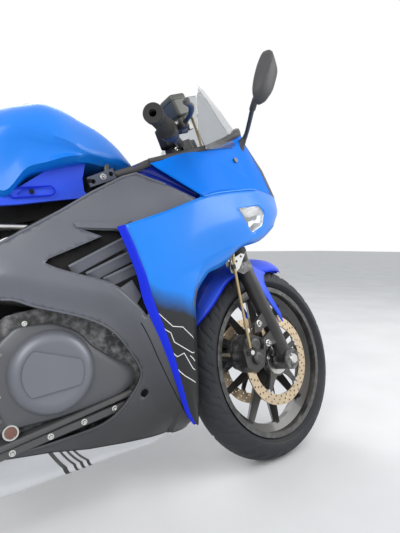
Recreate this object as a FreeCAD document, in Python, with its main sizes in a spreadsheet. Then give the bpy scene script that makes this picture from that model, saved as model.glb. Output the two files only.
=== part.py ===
import FreeCAD, Part
import math
import os
import re

import Sketcher
from FreeCAD import Placement, Rotation, Vector

# Sport motorcycle standing on its side stand, in millimetres.
# Pieces are drawn upright: x forward from the front axle, y to the left, z up from the ground.
# Pieces that steer are drawn in the fork's own frame: origin at the front axle, z up the fork.
# Every piece then gets the placement that leans the machine on its stand.

os.makedirs("parts", exist_ok=True)
doc = FreeCAD.newDocument("sport_bike")

DIMENSIONS = {
    # Stance
    "wheelbase": 1360.0, "rake_angle": 24.5, "clamp_offset": 35.0,
    "stand_lean": 9.0, "rest_steer": 13.0,
    # Wheels
    "front_radius": 293.0, "front_width": 112.0, "rear_radius": 314.0, "rear_width": 142.0,
    "bead_radius": 218.5, "flange_radius": 228.0, "rim_wall": 5.0, "well_depth": 22.0,
    "front_rim_width": 88.0, "rear_rim_width": 116.0, "tyre_flank": 30.0,
    "hub_radius": 34.0, "hub_flange": 48.0, "hub_width": 96.0,
    "spoke_pairs": 5, "spoke_root": 15.0, "spoke_tip": 10.0, "spoke_deep": 30.0, "spoke_thin": 16.0,
    "spoke_foot": 4.0, "spoke_spread": 56.0,
    "front_axle_radius": 9.0, "rear_axle_radius": 10.0,
    # Brakes
    "disc_radius": 135.0, "disc_ring": 31.0, "disc_thick": 4.5, "disc_spread": 116.0, "disc_arms": 5,
    "disc_hole": 3.6, "hole_groups": 12, "rear_disc_radius": 110.0, "rear_disc_ring": 30.0,
    "caliper_depth": 38.0,
    # Fork and bars
    "leg_spread": 190.0, "slider_radius": 23.0, "collar_radius": 28.0, "tube_radius": 18.5,
    "slider_length": 330.0, "fork_length": 676.0, "lower_clamp_at": 455.0, "upper_clamp_at": 632.0,
    "clamp_height": 28.0, "stem_radius": 14.0, "stem_bore": 9.0, "head_radius": 30.0,
    "head_bore": 19.0, "head_gap": 6.0, "bar_radius": 11.0, "bar_bore": 7.0, "bar_depth": 60.0,
    "grip_radius": 17.0, "grip_length": 122.0, "grip_reach": 335.0, "hose_radius": 4.0,
    # Chassis
    "pivot_back": 895.0, "pivot_height": 385.0, "pivot_radius": 10.0, "pivot_tube": 20.0,
    "arm_inner": 104.0, "arm_thick": 24.0, "plate_gap": 4.0, "plate_thick": 12.0,
    "frame_tube": 19.0, "rail_tube": 12.0, "spool_hole": 4.0,
    "skin": 3.0, "running_gap": 0.3, "seat_gap": 0.6,
    # Engine and drive
    "case_half": 145.0, "barrel_half": 82.0, "clutch_radius": 92.0, "clutch_out": 190.0,
    "generator_radius": 78.0, "generator_out": 182.0, "chain_line": 92.0, "chain_wide": 14.0,
    "rear_sprocket_radius": 98.0, "rear_teeth": 40, "front_sprocket_radius": 32.0, "tooth_tall": 7.0,
    "sprocket_thick": 6.0, "muffler_radius": 48.0, "muffler_length": 430.0,
    # Body
    "panel_inset": 8.0, "slat_thick": 4.0, "slat_count": 4,
}

sheet = doc.addObject("Spreadsheet::Sheet", "Sizes")
for row, (alias, value) in enumerate(DIMENSIONS.items(), start=1):
    sheet.set("A%d" % row, alias)
    sheet.set("B%d" % row, str(value))
    sheet.setAlias("B%d" % row, alias)
doc.recompute()

WORD = re.compile("[a-z][a-z_]+")


def formula(text):
    """The text with every size's name pointed at its cell."""
    return WORD.sub(lambda found: "Sizes." + found.group() if found.group() in DIMENSIONS else found.group(), text)


def size(value):
    """A plain number, or what a size or a sum of sizes comes to."""
    return float(sheet.evalExpression(formula(value))) if isinstance(value, str) else float(value)


def bind(obj, setting, value):
    """Sets a plain number, or ties the setting to the sheet."""
    if isinstance(value, str):
        obj.setExpression(setting, formula(value))
    else:
        setattr(obj, setting, value)


SKIN = size("skin")
GAP = size("running_gap")
RAKE = math.radians(size("rake_angle"))
OFFSET = size("clamp_offset")
LEG_Y = size("leg_spread / 2")
PIVOT = Vector(-size("pivot_back"), 0, size("pivot_height"))
REAR_AXLE = Vector(-size("wheelbase"), 0, size("rear_radius"))
FRONT_SPROCKET = Vector(PIVOT.x + 95, 0, PIVOT.z + 7)
PLATE_IN = size("arm_inner + arm_thick + plate_gap")
PLATE_OUT = size("arm_inner + arm_thick + plate_gap + plate_thick")

UP = Vector(0, 0, 1)
LEFT = Vector(0, 1, 0)
FORWARD = Vector(1, 0, 0)
NOWHERE = Placement()

fork_frame = Placement(Vector(0, 0, size("front_radius")), Rotation(LEFT, -size("rake_angle")))
steer_turn = Placement(Vector(0, 0, 0), Rotation(UP, size("rest_steer")), Vector(-OFFSET, 0, 0))


def lowest(centre, axle, radius, crown):
    """Height of the lowest point of a tyre with a round crown."""
    tilt = math.sqrt(max(0.0, 1 - axle.z ** 2))
    return centre.z - (radius - crown) * tilt - crown


def stance(pitch):
    """The lean on the stand, after a small turn nose up or down."""
    return Placement(Vector(), Rotation(FORWARD, -size("stand_lean"))).multiply(
        Placement(Vector(), Rotation(LEFT, pitch)))


def wheel_lows(place):
    """Lowest points of the front and rear tyre in a stance."""
    turned = place.multiply(fork_frame).multiply(steer_turn)
    front = lowest(turned.multVec(Vector()), turned.Rotation.multVec(LEFT),
                   size("front_radius"), size("front_width / 2"))
    rear = lowest(place.multVec(REAR_AXLE), place.Rotation.multVec(LEFT),
                  size("rear_radius"), size("rear_width / 2"))
    return front, rear


level = 0.0
for _ in range(4):
    low_front, low_rear = wheel_lows(stance(level))
    level += math.degrees((low_front - low_rear) / size("wheelbase"))
low_front, low_rear = wheel_lows(stance(level))

# The row's origin lies on the ground under the middle of the whole machine's box.
MIDDLE = Vector(-731.6, 98.4, low_rear)
bike = Placement(-MIDDLE, Rotation()).multiply(stance(level))
steered = bike.multiply(fork_frame).multiply(steer_turn)
rear_wheel_place = bike.multiply(Placement(REAR_AXLE, Rotation()))

nodes = []


def keep(obj, label, place):
    """Names a finished sub-part and puts it where it stands."""
    obj.Label = label
    obj.Placement = place
    nodes.append(obj)
    return obj


def keep_copy(form, label, place):
    """A sub-part whose own form is also a tool for others, so a group carries the placement."""
    group = doc.addObject("Part::Compound", label)
    group.Links = [form]
    return keep(group, label, place)


# Drawing: coordinates are numbers or formulas, and a third value is the radius of the arc that ends there

FACING = {"top": Rotation(), "side": Rotation(FORWARD, 90), "front": Rotation(Vector(1, 1, 1), 120)}
OUTWARD = {"top": UP, "side": LEFT, "front": FORWARD}


def arc_between(start, end, radius):
    """Arc to the right of the way from start to end, or to the left if the radius is negative."""
    chord = end - start
    middle = (start + end) * 0.5
    side = Vector(chord.y, -chord.x, 0).normalize() * (1 if radius > 0 else -1)
    rise = abs(radius) - math.sqrt(radius ** 2 - (chord.Length / 2) ** 2)
    return Part.Arc(start, middle + side * rise, end)


def trace(sketch, points):
    """Closed outline whose corners and arcs are held by named sizes."""
    corners = [Vector(size(point[0]), size(point[1]), 0) for point in points]
    count, first = len(points), []
    for number, start in enumerate(corners):
        end, ends_at = corners[(number + 1) % count], points[(number + 1) % count]
        shape = arc_between(start, end, size(ends_at[2])) if len(ends_at) > 2 else Part.LineSegment(start, end)
        sketch.addGeometry(shape, False)
        first.append(1 if sketch.Geometry[number].StartPoint.isEqual(start, 1e-6) else 2)
    for number in range(count):
        after = (number + 1) % count
        sketch.addConstraint(Sketcher.Constraint("Coincident", number, 3 - first[number], after, first[after]))
    for number, point in enumerate(points):
        for kind, value in zip(("DistanceX", "DistanceY"), point):
            held = sketch.addConstraint(Sketcher.Constraint(kind, -1, 1, number, first[number], size(value)))
            if isinstance(value, str):
                sketch.setExpression("Constraints[%d]" % held, formula(value))
        if len(point) > 2:
            bend = abs(size(point[2]))
            held = sketch.addConstraint(Sketcher.Constraint("Radius", (number - 1) % count, bend))
            if isinstance(point[2], str):
                sketch.setExpression("Constraints[%d]" % held, "abs(%s)" % formula(point[2]))


def trace_rounds(sketch, rounds):
    """Circles given by centre and radius."""
    for number, (across, along, radius) in enumerate(rounds):
        centre = Vector(size(across), size(along), 0)
        sketch.addGeometry(Part.Circle(centre, UP, size(radius)), False)
        for kind, value in (("DistanceX", across), ("DistanceY", along)):
            held = sketch.addConstraint(Sketcher.Constraint(kind, -1, 1, number, 3, size(value)))
            if isinstance(value, str):
                sketch.setExpression("Constraints[%d]" % held, formula(value))
        held = sketch.addConstraint(Sketcher.Constraint("Radius", number, size(radius)))
        if isinstance(radius, str):
            sketch.setExpression("Constraints[%d]" % held, formula(radius))


def placed(obj, at, turn=Rotation()):
    """Puts a form at a point whose coordinates may be formulas."""
    obj.Placement = Placement(Vector(*(size(value) for value in at)), turn)
    for axis, value in zip("xyz", at):
        if isinstance(value, str):
            obj.setExpression("Placement.Base." + axis, formula(value))
    return obj


def prism(name, points, low, high, facing="side"):
    """Straight solid with a drawn outline between two planes."""
    sketch = doc.addObject("Sketcher::SketchObject", name + "_outline")
    sketch.Placement = Placement(Vector(), FACING[facing])
    trace(sketch, points)
    solid = doc.addObject("Part::Extrusion", name)
    solid.Base, solid.DirMode, solid.Dir, solid.Solid = sketch, "Custom", OUTWARD[facing], True
    bind(solid, "LengthFwd", high)
    bind(solid, "LengthRev", "-(%s)" % low if isinstance(low, str) else -low)
    return solid


def turning(name, points, at=(0, 0, 0), way=LEFT):
    """Solid of revolution from (radius, distance along the way) points."""
    sketch = doc.addObject("Sketcher::SketchObject", name + "_profile")
    trace(sketch, points)
    solid = doc.addObject("Part::Revolution", name)
    solid.Source, solid.Axis, solid.Base, solid.Angle, solid.Solid = sketch, LEFT, Vector(), 360.0, True
    return placed(solid, at, Rotation(LEFT, way))


def bar(name, radius, length, at, way=LEFT):
    """Round bar from a point along a way."""
    solid = doc.addObject("Part::Cylinder", name)
    bind(solid, "Radius", radius)
    bind(solid, "Height", length)
    return placed(solid, at, Rotation(UP, way))


def bar_to(name, radius, start, end):
    """Round bar between two worked-out points."""
    return bar(name, radius, (end - start).Length, tuple(start), end - start)


def fused(name, *forms):
    """One solid from touching forms."""
    solid = doc.addObject("Part::MultiFuse", name)
    solid.Shapes, solid.Refine = list(forms), True
    return solid


def cut(name, base, *tools):
    """A form with others taken away."""
    solid = doc.addObject("Part::Cut", name)
    solid.Base = base
    solid.Tool = tools[0] if len(tools) == 1 else fused(name + "_tools", *tools)
    solid.Refine = True
    return solid


def shared_by(name, *forms):
    """What several forms have in common."""
    solid = doc.addObject("Part::MultiCommon", name)
    solid.Shapes = list(forms)
    return solid


def mirror(name, form):
    """The same form on the machine's other side."""
    copy = doc.addObject("Part::Mirroring", name)
    copy.Source, copy.Base, copy.Normal = form, Vector(), LEFT
    return copy


def group(name, *forms):
    """Solids of one sub-part that don't touch each other."""
    whole = doc.addObject("Part::Compound", name)
    whole.Links = list(forms)
    return whole


def both_sides(name, form):
    """A form and its mirror image."""
    return group(name, form, mirror(name + "_left", form))


def worked(name, shape):
    """A form whose shape is worked out by the functions below."""
    form = doc.addObject("Part::Feature", name)
    form.Shape = shape
    return form


# Shapes for bent tubes and drawn-out bodies

def ring_wire(points):
    """Closed wire of straight edges."""
    return Part.makePolygon(list(points) + [points[0]])


def plate(outline, y_from, y_to):
    """Solid between two y planes with an outline of (x, z) points."""
    face = Part.Face(ring_wire([Vector(x, y_from, z) for x, z in outline]))
    return face.extrude(Vector(0, y_to - y_from, 0))


def rod(start, end, radius):
    """Round bar between two points."""
    way = end - start
    return Part.makeCylinder(radius, way.Length, start, way)


def flipped(shape):
    """The same shape on the other side."""
    return shape.mirror(Vector(), LEFT)


def joined(*shapes):
    """One solid from touching shapes."""
    return shapes[0].fuse(list(shapes[1:])).removeSplitter()


def bends(points):
    """Corner, both directions, distance cut off and radius of each bend of a route."""
    runs = [(b - a).Length for a, b in zip(points, points[1:])]
    for before, corner, after, run_in, run_out in zip(points, points[1:], points[2:], runs, runs[1:]):
        back, ahead = (before - corner).normalize(), (after - corner).normalize()
        turn = math.pi - back.getAngle(ahead)
        off = 0.45 * min(run_in, run_out)
        yield corner, back, ahead, off, off / math.tan(turn / 2)


def tube(points, radius, bore=0.0):
    """Bent round tube through points, its corners rounded by tangent arcs."""
    edges, last = [], points[0]
    for corner, back, ahead, off, bend in bends(points):
        middle = (back + ahead).normalize()
        centre = corner + middle * math.hypot(bend, off)
        start, end = corner + back * off, corner + ahead * off
        edges.append(Part.LineSegment(last, start).toShape())
        edges.append(Part.Arc(start, centre - middle * bend, end).toShape())
        last = end
    edges.append(Part.LineSegment(last, points[-1]).toShape())
    path = Part.Wire(edges)

    def swept(section_radius):
        start = Part.Wire(Part.Circle(points[0], points[1] - points[0], section_radius).toShape())
        return path.makePipeShell([start], True, False)
    return swept(radius).cut(swept(bore)) if bore else swept(radius)


def half_section(x, points):
    """Section at one x from the (y, z) points of its left half, top to bottom."""
    left = [Vector(x, y, z) for y, z in points]
    right = [Vector(x, -y, z) for y, z in reversed(points) if y > 0]
    return ring_wire(left + right)


# Wheels: bodies turned about the wheel's own y axis

def plane_of(body, role):
    """One of a body's own origin planes or axes."""
    return next(f for f in body.Origin.OriginFeatures if f.Role == role)


def sketch_on(body, name, role="XY_Plane", away=0, turn=Rotation()):
    """Empty sketch on a body's origin plane, or a formula's distance from it."""
    sketch = body.newObject("Sketcher::SketchObject", name)
    sketch.AttachmentSupport = [(plane_of(body, role), "")]
    sketch.MapMode = "FlatFace"
    sketch.AttachmentOffset = Placement(Vector(0, 0, size(away)), turn)
    if isinstance(away, str):
        sketch.setExpression("AttachmentOffset.Base.z", formula(away))
    return sketch


def spin(body, name, points):
    """Adds a solid turned about the body's y axis."""
    sketch = sketch_on(body, name + "_profile")
    trace(sketch, points)
    turn = body.newObject("PartDesign::Revolution", name)
    turn.Profile, turn.ReferenceAxis, turn.Angle = sketch, (plane_of(body, "Y_Axis"), [""]), 360.0
    return turn


def raise_pad(body, name, sketch, thick):
    """Adds a plate of even thickness on both sides of a sketch."""
    pad = body.newObject("PartDesign::Pad", name)
    pad.Profile, pad.SideType = sketch, "Symmetric"
    bind(pad, "Length", thick)
    return pad


def sink_pocket(body, name, sketch):
    """Cuts a sketch right through on both sides."""
    pocket = body.newObject("PartDesign::Pocket", name)
    pocket.Profile, pocket.Type, pocket.SideType = sketch, "ThroughAll", "Symmetric"
    return pocket


def repeat(body, name, features, count):
    """Repeats features round the wheel's axis."""
    doc.recompute()
    pattern = body.newObject("PartDesign::PolarPattern", name)
    pattern.Originals, pattern.Axis, pattern.Angle = features, (plane_of(body, "Y_Axis"), [""]), 360.0
    bind(pattern, "Occurrences", count)
    body.Tip = pattern
    doc.recompute()
    return pattern


def tyre(label, side, place):
    """Tyre as a solid ring on the rim's bead seats, with a round crown."""
    seat, lip = "bead_radius + running_gap", "flange_radius + 1.5"
    bead, crown = side + "_rim_width / 2 - rim_wall - 1.5", side + "_width / 2"
    shoulder = side + "_radius - " + crown
    body = doc.addObject("PartDesign::Body", label)
    spin(body, label + "_ring", [
        (seat, "-(%s)" % bead), (lip, "-(%s)" % bead), (shoulder, "-(%s)" % crown, "tyre_flank"),
        (side + "_radius", 0, crown), (shoulder, crown, crown), (lip, bead, "tyre_flank"), (seat, bead)])
    return keep(body, label, place)


def rim(label, side, place):
    """Cast wheel: barrel with a dropped centre, hub, and pairs of spokes that spread to the barrel."""
    body = doc.addObject("PartDesign::Body", label)
    half, bore = side + "_rim_width / 2", side + "_axle_radius + running_gap"
    upper = [("flange_radius", half), ("flange_radius", half + " - rim_wall"),
             ("bead_radius", half + " - rim_wall - 1"), ("bead_radius", half + " - 20"),
             ("bead_radius - well_depth", half + " - 34")]
    inner = [("bead_radius - well_depth - rim_wall", half + " - 36"), ("bead_radius - rim_wall", half + " - 22"),
             ("bead_radius - rim_wall", half)]
    outside = upper + [(r, "-(%s)" % y) for r, y in reversed(upper)]
    spin(body, label + "_barrel", outside + [(r, "-(%s)" % y) for r, y in reversed(inner)] + inner)
    end = "hub_width / 2"
    hub_half = [(bore, end), ("hub_flange", end), ("hub_flange", end + " - 8"), ("hub_radius", end + " - 14")]
    spin(body, label + "_hub", hub_half + [(r, "-(%s)" % y) for r, y in reversed(hub_half)])
    arms = [spoke(body, label, hand) for hand in (-1, 1)]
    repeat(body, label + "_spokes", arms, "spoke_pairs")
    return keep(body, label, place)


def spoke(body, label, hand):
    """Tapered spoke of diamond section, square to its own leaning line."""
    foot, reach = "hub_radius - 6", "bead_radius - well_depth - rim_wall + 3.5"
    out = math.sqrt(size(reach) ** 2 - size("spoke_spread") ** 2)
    lean = math.degrees(math.atan2(size("spoke_spread - spoke_foot"), out - size(foot)))
    sections = []
    for name, across, height, wide, deep in (
            ("foot", "spoke_foot", size(foot), "spoke_root", "spoke_deep"),
            ("tip", "spoke_spread", out, "spoke_tip", "spoke_thin")):
        sketch = sketch_on(body, "%s_%s_%d" % (label, name, hand), "XY_Plane", height, Rotation(LEFT, hand * lean))
        sketch.setExpression("AttachmentOffset.Base.x", formula("%d * %s" % (hand, across)))
        trace(sketch, [(0, "-" + deep), (wide, 0), (0, deep), ("-" + wide, 0)])
        sections.append(sketch)
    arm = body.newObject("PartDesign::AdditiveLoft", "%s_spoke_%d" % (label, hand))
    arm.Profile, arm.Sections, arm.Ruled = sections[0], [sections[1]], True
    return arm


def brake_disc(name, radius, ring, centre):
    """Perforated ring on a spider whose seat lies on the hub's right flange."""
    body = doc.addObject("PartDesign::Body", name)
    inner = "%s - %s" % (radius, ring)
    band = sketch_on(body, name + "_band_outline", "XZ_Plane", centre)
    trace_rounds(band, [(0, 0, radius), (0, 0, inner)])
    raise_pad(body, name + "_band", band, "disc_thick")
    holes = sketch_on(body, name + "_hole_outlines", "XZ_Plane", centre)
    steps = []
    for step in (-1, 0, 1):
        at = 2 * math.pi * step / 3.0 / size("hole_groups")
        out = "(%s + %s * %.3f)" % (inner, ring, 0.5 + 0.27 * step)
        steps.append(("%s * %.6f" % (out, math.cos(at)), "%s * %.6f" % (out, math.sin(at)), "disc_hole"))
    trace_rounds(holes, steps)
    doc.recompute()
    punched = sink_pocket(body, name + "_holes", holes)
    repeat(body, name + "_hole_rows", [punched], "hole_groups")
    spin(body, name + "_seat", [
        ("hub_radius - 10", "-(hub_width / 2)"), ("hub_flange", "-(hub_width / 2)"),
        ("hub_flange + 2", "-(%s) + disc_thick / 2" % centre), ("hub_radius - 10", "-(%s) - disc_thick / 2" % centre)])
    arm = sketch_on(body, name + "_arm_outline", "XZ_Plane", centre)
    trace(arm, [("hub_radius", -15), (inner + " + 4", -9), (inner + " + 4", 9), ("hub_radius", 15)])
    repeat(body, name + "_spider", [raise_pad(body, name + "_arm", arm, "disc_thick")], "disc_arms")
    return body


tyre("front_tyre", "front", steered)
tyre("rear_tyre", "rear", rear_wheel_place)
rim("front_rim", "front", steered)
rim("rear_rim", "rear", rear_wheel_place)
keep(both_sides("front_disc_pair", brake_disc("front_disc", "disc_radius", "disc_ring", "disc_spread / 2")),
     "front_discs", steered)
keep(brake_disc("rear_disc_form", "rear_disc_radius", "rear_disc_ring", "disc_spread / 2"),
     "rear_disc", rear_wheel_place)


def rear_sprocket():
    """Toothed ring with lightening holes on the carrier that seats on the hub's left flange."""
    body = doc.addObject("PartDesign::Body", "rear_sprocket_form")
    plane, valley = "-chain_line", "rear_sprocket_radius - tooth_tall / 2"
    ring = sketch_on(body, "sprocket_ring", "XZ_Plane", plane)
    trace_rounds(ring, [(0, 0, valley), (0, 0, "rear_axle_radius + 6")])
    raise_pad(body, "sprocket_plate", ring, "sprocket_thick")
    tooth = sketch_on(body, "tooth_outline", "XZ_Plane", plane)
    trace(tooth, [(valley + " - 1", -6), (valley + " + tooth_tall", -2), (valley + " + tooth_tall", 2),
                  (valley + " - 1", 6)])
    repeat(body, "sprocket_teeth", [raise_pad(body, "tooth", tooth, "sprocket_thick")], "rear_teeth")
    hole = sketch_on(body, "lightening_outline", "XZ_Plane", plane)
    trace_rounds(hole, [("rear_sprocket_radius * 0.7", 0, 14)])
    doc.recompute()
    repeat(body, "lightening_holes", [sink_pocket(body, "lightening_hole", hole)], 6)
    spin(body, "sprocket_carrier", [
        ("rear_axle_radius + 6", "hub_width / 2"), ("hub_flange - 2", "hub_width / 2"),
        ("hub_flange + 8", "chain_line - sprocket_thick / 2"),
        ("rear_axle_radius + 6", "chain_line - sprocket_thick / 2")])
    return body


keep(rear_sprocket(), "rear_sprocket", rear_wheel_place)


# Fork, clamps and what steers, in the fork's frame

def fork_leg():
    """Right leg: foot round the axle, slider with caliper lugs, dust collar and tube."""
    y, face = "-leg_spread / 2", "disc_spread / 2 + caliper_depth"
    leg = turning("leg", [
        (0, -8), ("slider_radius - 1", -8), ("slider_radius - 1", 40), ("slider_radius", 44),
        ("slider_radius", "slider_length - 6"),
        ("collar_radius", "slider_length + 20"), ("collar_radius", "slider_length + 32"),
        ("tube_radius", "slider_length + 34"), ("tube_radius", "fork_length"), (0, "fork_length")],
        (0, y, 0), UP)
    foot = bar("leg_foot", "slider_radius + 8", "2 * slider_radius", (0, "-leg_spread / 2 - slider_radius", 0))
    lugs = [prism("caliper_lug", outline, "-(%s + 10)" % face, "-(%s)" % face) for outline in (
        [(-76, 78), (0, 62), (0, 112), (-60, 103)], [(-80, 132), (0, 122), (0, 172), (-68, 156)])]
    bore = bar("leg_axle_bore", "front_axle_radius + running_gap", 120, (0, "-leg_spread / 2 - 60", 0))
    return cut("fork_leg", fused("fork_leg_blank", leg, foot, *lugs), bore)


keep(both_sides("fork_leg_pair", fork_leg()), "fork_legs", steered)


def clamp(name, low, nose):
    """Triple clamp: bridge with a ring round each tube and a boss on the steering axis."""
    leg = "leg_spread / 2"
    half = [(nose, 40), (24, leg + " - 20"), (28, leg + " + 8"), (16, leg + " + 28"), (-10, leg + " + 30"),
            (-26, leg + " + 14"), (-26, leg + " - 6"), ("-clamp_offset - 34", 34)]
    outline = half + [(x, "-(%s)" % y if isinstance(y, str) else -y) for x, y in reversed(half)]
    bridge = prism(name, outline, low, low + " + clamp_height", "top")
    bores = [bar(name + "_tube_bore", "tube_radius + 0.05", "2 * clamp_height", (0, side + leg, low + " - 5"), UP)
             for side in ("-", "")]
    return cut(name + "_bored", bridge, *bores)


def clamps():
    """Both triple clamps, and the hollow stem between them with its bearing races."""
    low, high = "lower_clamp_at", "upper_clamp_at"
    base, race = low + " + clamp_height", "head_gap + 10"
    axis = "-clamp_offset"
    stem = bar("stem", "stem_radius", "%s - %s + 0.2" % (high, base), (axis, 0, base + " - 0.1"), UP)
    races = [bar("race", "head_bore - running_gap", race, (axis, 0, at), UP)
             for at in (base + " - 0.1", high + " - head_gap - 9.9")]
    nut = bar("stem_nut", 17, 10, (axis, 0, high + " + clamp_height - 0.1"), UP)
    whole = fused("clamp_pair", clamp("lower_clamp", low, 6), clamp("upper_clamp", high, -2), stem, nut, *races)
    return cut("clamps_with_stem", whole, bar("stem_hole", "stem_bore", 90, (axis, 0, low + " - 1"), UP))


keep(clamps(), "triple_clamps", steered)

# Handlebars: a clamp ring on each fork tube carries a bar that sweeps back and out
BAR_START = Vector(-45, -122, 690)
BAR_END = Vector(-292, -size("grip_reach"), 709)
BAR_WAY = (BAR_END - BAR_START).normalize()


def bar_point(back_from_end, up=0.0, ahead=0.0):
    """Point on the right bar, measured inwards from its end."""
    across = BAR_WAY.cross(UP).normalize()
    return BAR_END - BAR_WAY * back_from_end + UP * up - across * ahead


def handlebar():
    """Right clamp and its bar, bored at the end."""
    base, top = "upper_clamp_at + clamp_height", "fork_length + 20"
    ring = bar("bar_clamp", "tube_radius + 9", "%s - (%s)" % (top, base), (0, "-leg_spread / 2", base), UP)
    arm = prism("bar_arm", [(-58, -138), (-30, -142), (4, "-leg_spread / 2 - 24"), (10, "-leg_spread / 2"),
                            (-6, "-leg_spread / 2 + 22"), (-40, -104)], base + " + 4", top, "top")
    handle = bar("bar_tube", "bar_radius", (BAR_END - BAR_START).Length, tuple(BAR_START), BAR_WAY)
    hollow = bar("bar_hollow", "bar_bore", "bar_depth + 1", tuple(bar_point(size("bar_depth"))), BAR_WAY)
    room = bar("fork_tube_room", "tube_radius + 0.05", "fork_length - (%s) + 0.05" % base,
               (0, "-leg_spread / 2", base), UP)
    return cut("handlebar", fused("handlebar_blank", ring, arm, handle), hollow, room)


def grip():
    """Rubber sleeve on the bar's end, with its inner flange and end collar."""
    length = size("grip_length")
    sleeve = turning("grip_sleeve", [
        ("bar_radius + 0.05", 0), ("grip_radius + 5", 0), ("grip_radius + 5", 4), ("grip_radius - 1", 7),
        ("grip_radius - 1", "grip_length - 16"), ("grip_radius + 3", "grip_length - 12"),
        ("grip_radius + 3", "grip_length + 3"), ("bar_bore", "grip_length + 3"), ("bar_bore", "grip_length + 0.1"),
        ("bar_radius + 0.05", "grip_length + 0.1")], tuple(bar_point(length)), BAR_WAY)
    return sleeve


keep(both_sides("handlebar_pair", handlebar()), "handlebars", steered)
keep(both_sides("grip_pair", grip()), "grips", steered)


def perch_shape(reservoir):
    """Switch housing, lever perch and lever on the right bar, with the fluid reservoir if asked."""
    length = size("grip_length")
    housing = rod(bar_point(length + 40), bar_point(length + 2), 23.0)
    ring = rod(bar_point(length + 74), bar_point(length + 50), 18.0)
    bridge = rod(bar_point(length + 62), bar_point(length + 30, 0, 38), 10.0)
    pivot = rod(bar_point(length + 30, -12, 38), bar_point(length + 30, 12, 38), 11.0)
    lever = tube([bar_point(length + 30, 0, 40), bar_point(length - 10, 0, 62), bar_point(length - 60, -3, 70),
                  bar_point(6, -5, 66)], 6.0)
    pieces = [housing, ring, rod(bar_point(length + 55), bar_point(length + 36), 14.0), bridge, pivot, lever]
    if reservoir:
        at = bar_point(length + 88, 30, 34)
        pieces.append(rod(bar_point(length + 62, 0, 20), bar_point(length + 88, 2, 34), 10.0))
        pieces.append(rod(bar_point(length + 88, 0, 34), at + UP * 10, 9.0))
        pot = Part.makeBox(48, 48, 52, at - Vector(24, 24, 0))
        pieces.append(pot.makeFillet(6.0, pot.Edges))
    bar_hole = rod(bar_point(length + 120), bar_point(-20), size("bar_radius") + 0.05)
    return joined(*pieces).cut(bar_hole)


master = worked("master_and_lever", perch_shape(True))
keep_copy(master, "brake_master", steered)
keep(mirror("clutch_perch_form", worked("right_perch", perch_shape(False))), "clutch_perch", steered)

# Front mudguard
FENDER_TURN, FENDER_FROM = 86.0, 47.0


def fender():
    """Thin peaked band round the tyre, with a blade down each leg."""
    inner, wall = size("front_radius") + 18, SKIN
    half = size("leg_spread / 2 - slider_radius - running_gap") - wall
    outside = [(inner - 48, half + wall), (inner - 13, half + wall - 2), (inner + wall, half - 24), (inner + 9, 0)]
    inside = [(inner - 48, half), (inner - 14, half - 2), (inner, half - 26), (inner + 6, 0)]
    profile = outside + [(r, -y) for r, y in reversed(outside[:-1])]
    profile += [(r, -y) for r, y in inside] + [(r, y) for r, y in reversed(inside[:-1])]
    face = Part.Face(ring_wire([Vector(r, y, 0) for r, y in profile]))
    band = face.revolve(Vector(), LEFT, -FENDER_TURN)
    band.Placement = Placement(Vector(), Rotation(LEFT, -FENDER_FROM))
    blade = plate([(-66, 268), (6, 292), (30, 262), (20, 190), (24, 120), (4, 170), (-18, 235)], -half - wall, -half)
    return joined(band, blade, flipped(blade))


keep(worked("fender_form", fender()), "front_fender", steered)

BANJO = Vector(-124, 0, 96)


def caliper():
    """Right caliper: body that straddles the disc behind the leg, with piston caps and the hose fitting."""
    face = "disc_spread / 2 + caliper_depth"
    outline = [(-152, 66), (-140, 112), (-118, 132), (-96, 140), (-54, 104), (-62, 66), (-92, 34), (-128, 34)]
    body = prism("caliper_body", outline, "-(%s)" % face, "-disc_spread / 2 + 20")
    caps = [turning("piston_cap", [(0, 0), (17, 0), (16, 8), (12, 10), (0, 10)], (n, "-(%s)" % face, s), -LEFT)
            for n, s in ((-94, 106), (-106, 68))]
    banjo = bar("banjo", 8, 13, (BANJO.x, "-(%s)" % face, BANJO.z), -LEFT)
    room = turning("disc_room", [
        (70, "-disc_thick / 2 - 1.5"), ("disc_radius + 3", "-disc_thick / 2 - 1.5"),
        ("disc_radius + 3", "disc_thick / 2 + 1.5"), (70, "disc_thick / 2 + 1.5")], (0, "-disc_spread / 2", 0))
    window = prism("pad_window", [(-118, 88), (-100, 108), (-84, 92), (-102, 74)], -60, "-disc_spread / 2 + 21")
    return cut("caliper", fused("caliper_blank", body, banjo, *caps), room, window)


keep(both_sides("caliper_pair", caliper()), "front_calipers", steered)


def front_axle():
    """Spindle with spacers against the hub, its head and its nut."""
    out = "leg_spread / 2 + slider_radius"
    spacer = "leg_spread / 2 - slider_radius - hub_width / 2 - running_gap"
    return fused(
        "front_spindle_set",
        bar("front_spindle", "front_axle_radius", "2 * (%s) + 16" % out, (0, "-(%s) - 8" % out, 0)),
        turning("front_nut", [(0, 0), (14, 0), (14, 6), (12, 9), (0, 9)], (0, "-(%s)" % out, 0), -LEFT),
        bar("front_head", 14, 6, (0, out, 0)),
        bar("right_spacer", 15, spacer, (0, "-leg_spread / 2 + slider_radius", 0)),
        bar("left_spacer", 15, spacer, (0, "hub_width / 2 + running_gap", 0)))


keep(front_axle(), "front_axle", steered)

HOSE_ROUTE = [bar_point(size("grip_length") + 88, 2, 45)] + [Vector(*point) for point in (
    (-38, -172, 768), (14, -140, 784), (62, -104, 770), (76, -84, 712), (68, -74, 640), (52, -72, 566),
    (46, -86, 496), (44, -104, 440), (10, -132, 404), (-44, -134, 384), (-70, -126, 320), (-120, -104, 108))]


def brake_hose():
    """Hose from the master cylinder, past the clamps and straight down to the caliper's fitting."""
    return tube(HOSE_ROUTE, size("hose_radius"))


hose = worked("hose_run", brake_hose())
fitting = bar("banjo_room", "8 + running_gap", 30, (BANJO.x, "-(disc_spread / 2 + caliper_depth) + 5", BANJO.z), -LEFT)
keep(cut("hose_trimmed", hose, master, fitting), "brake_hose", steered)


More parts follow.
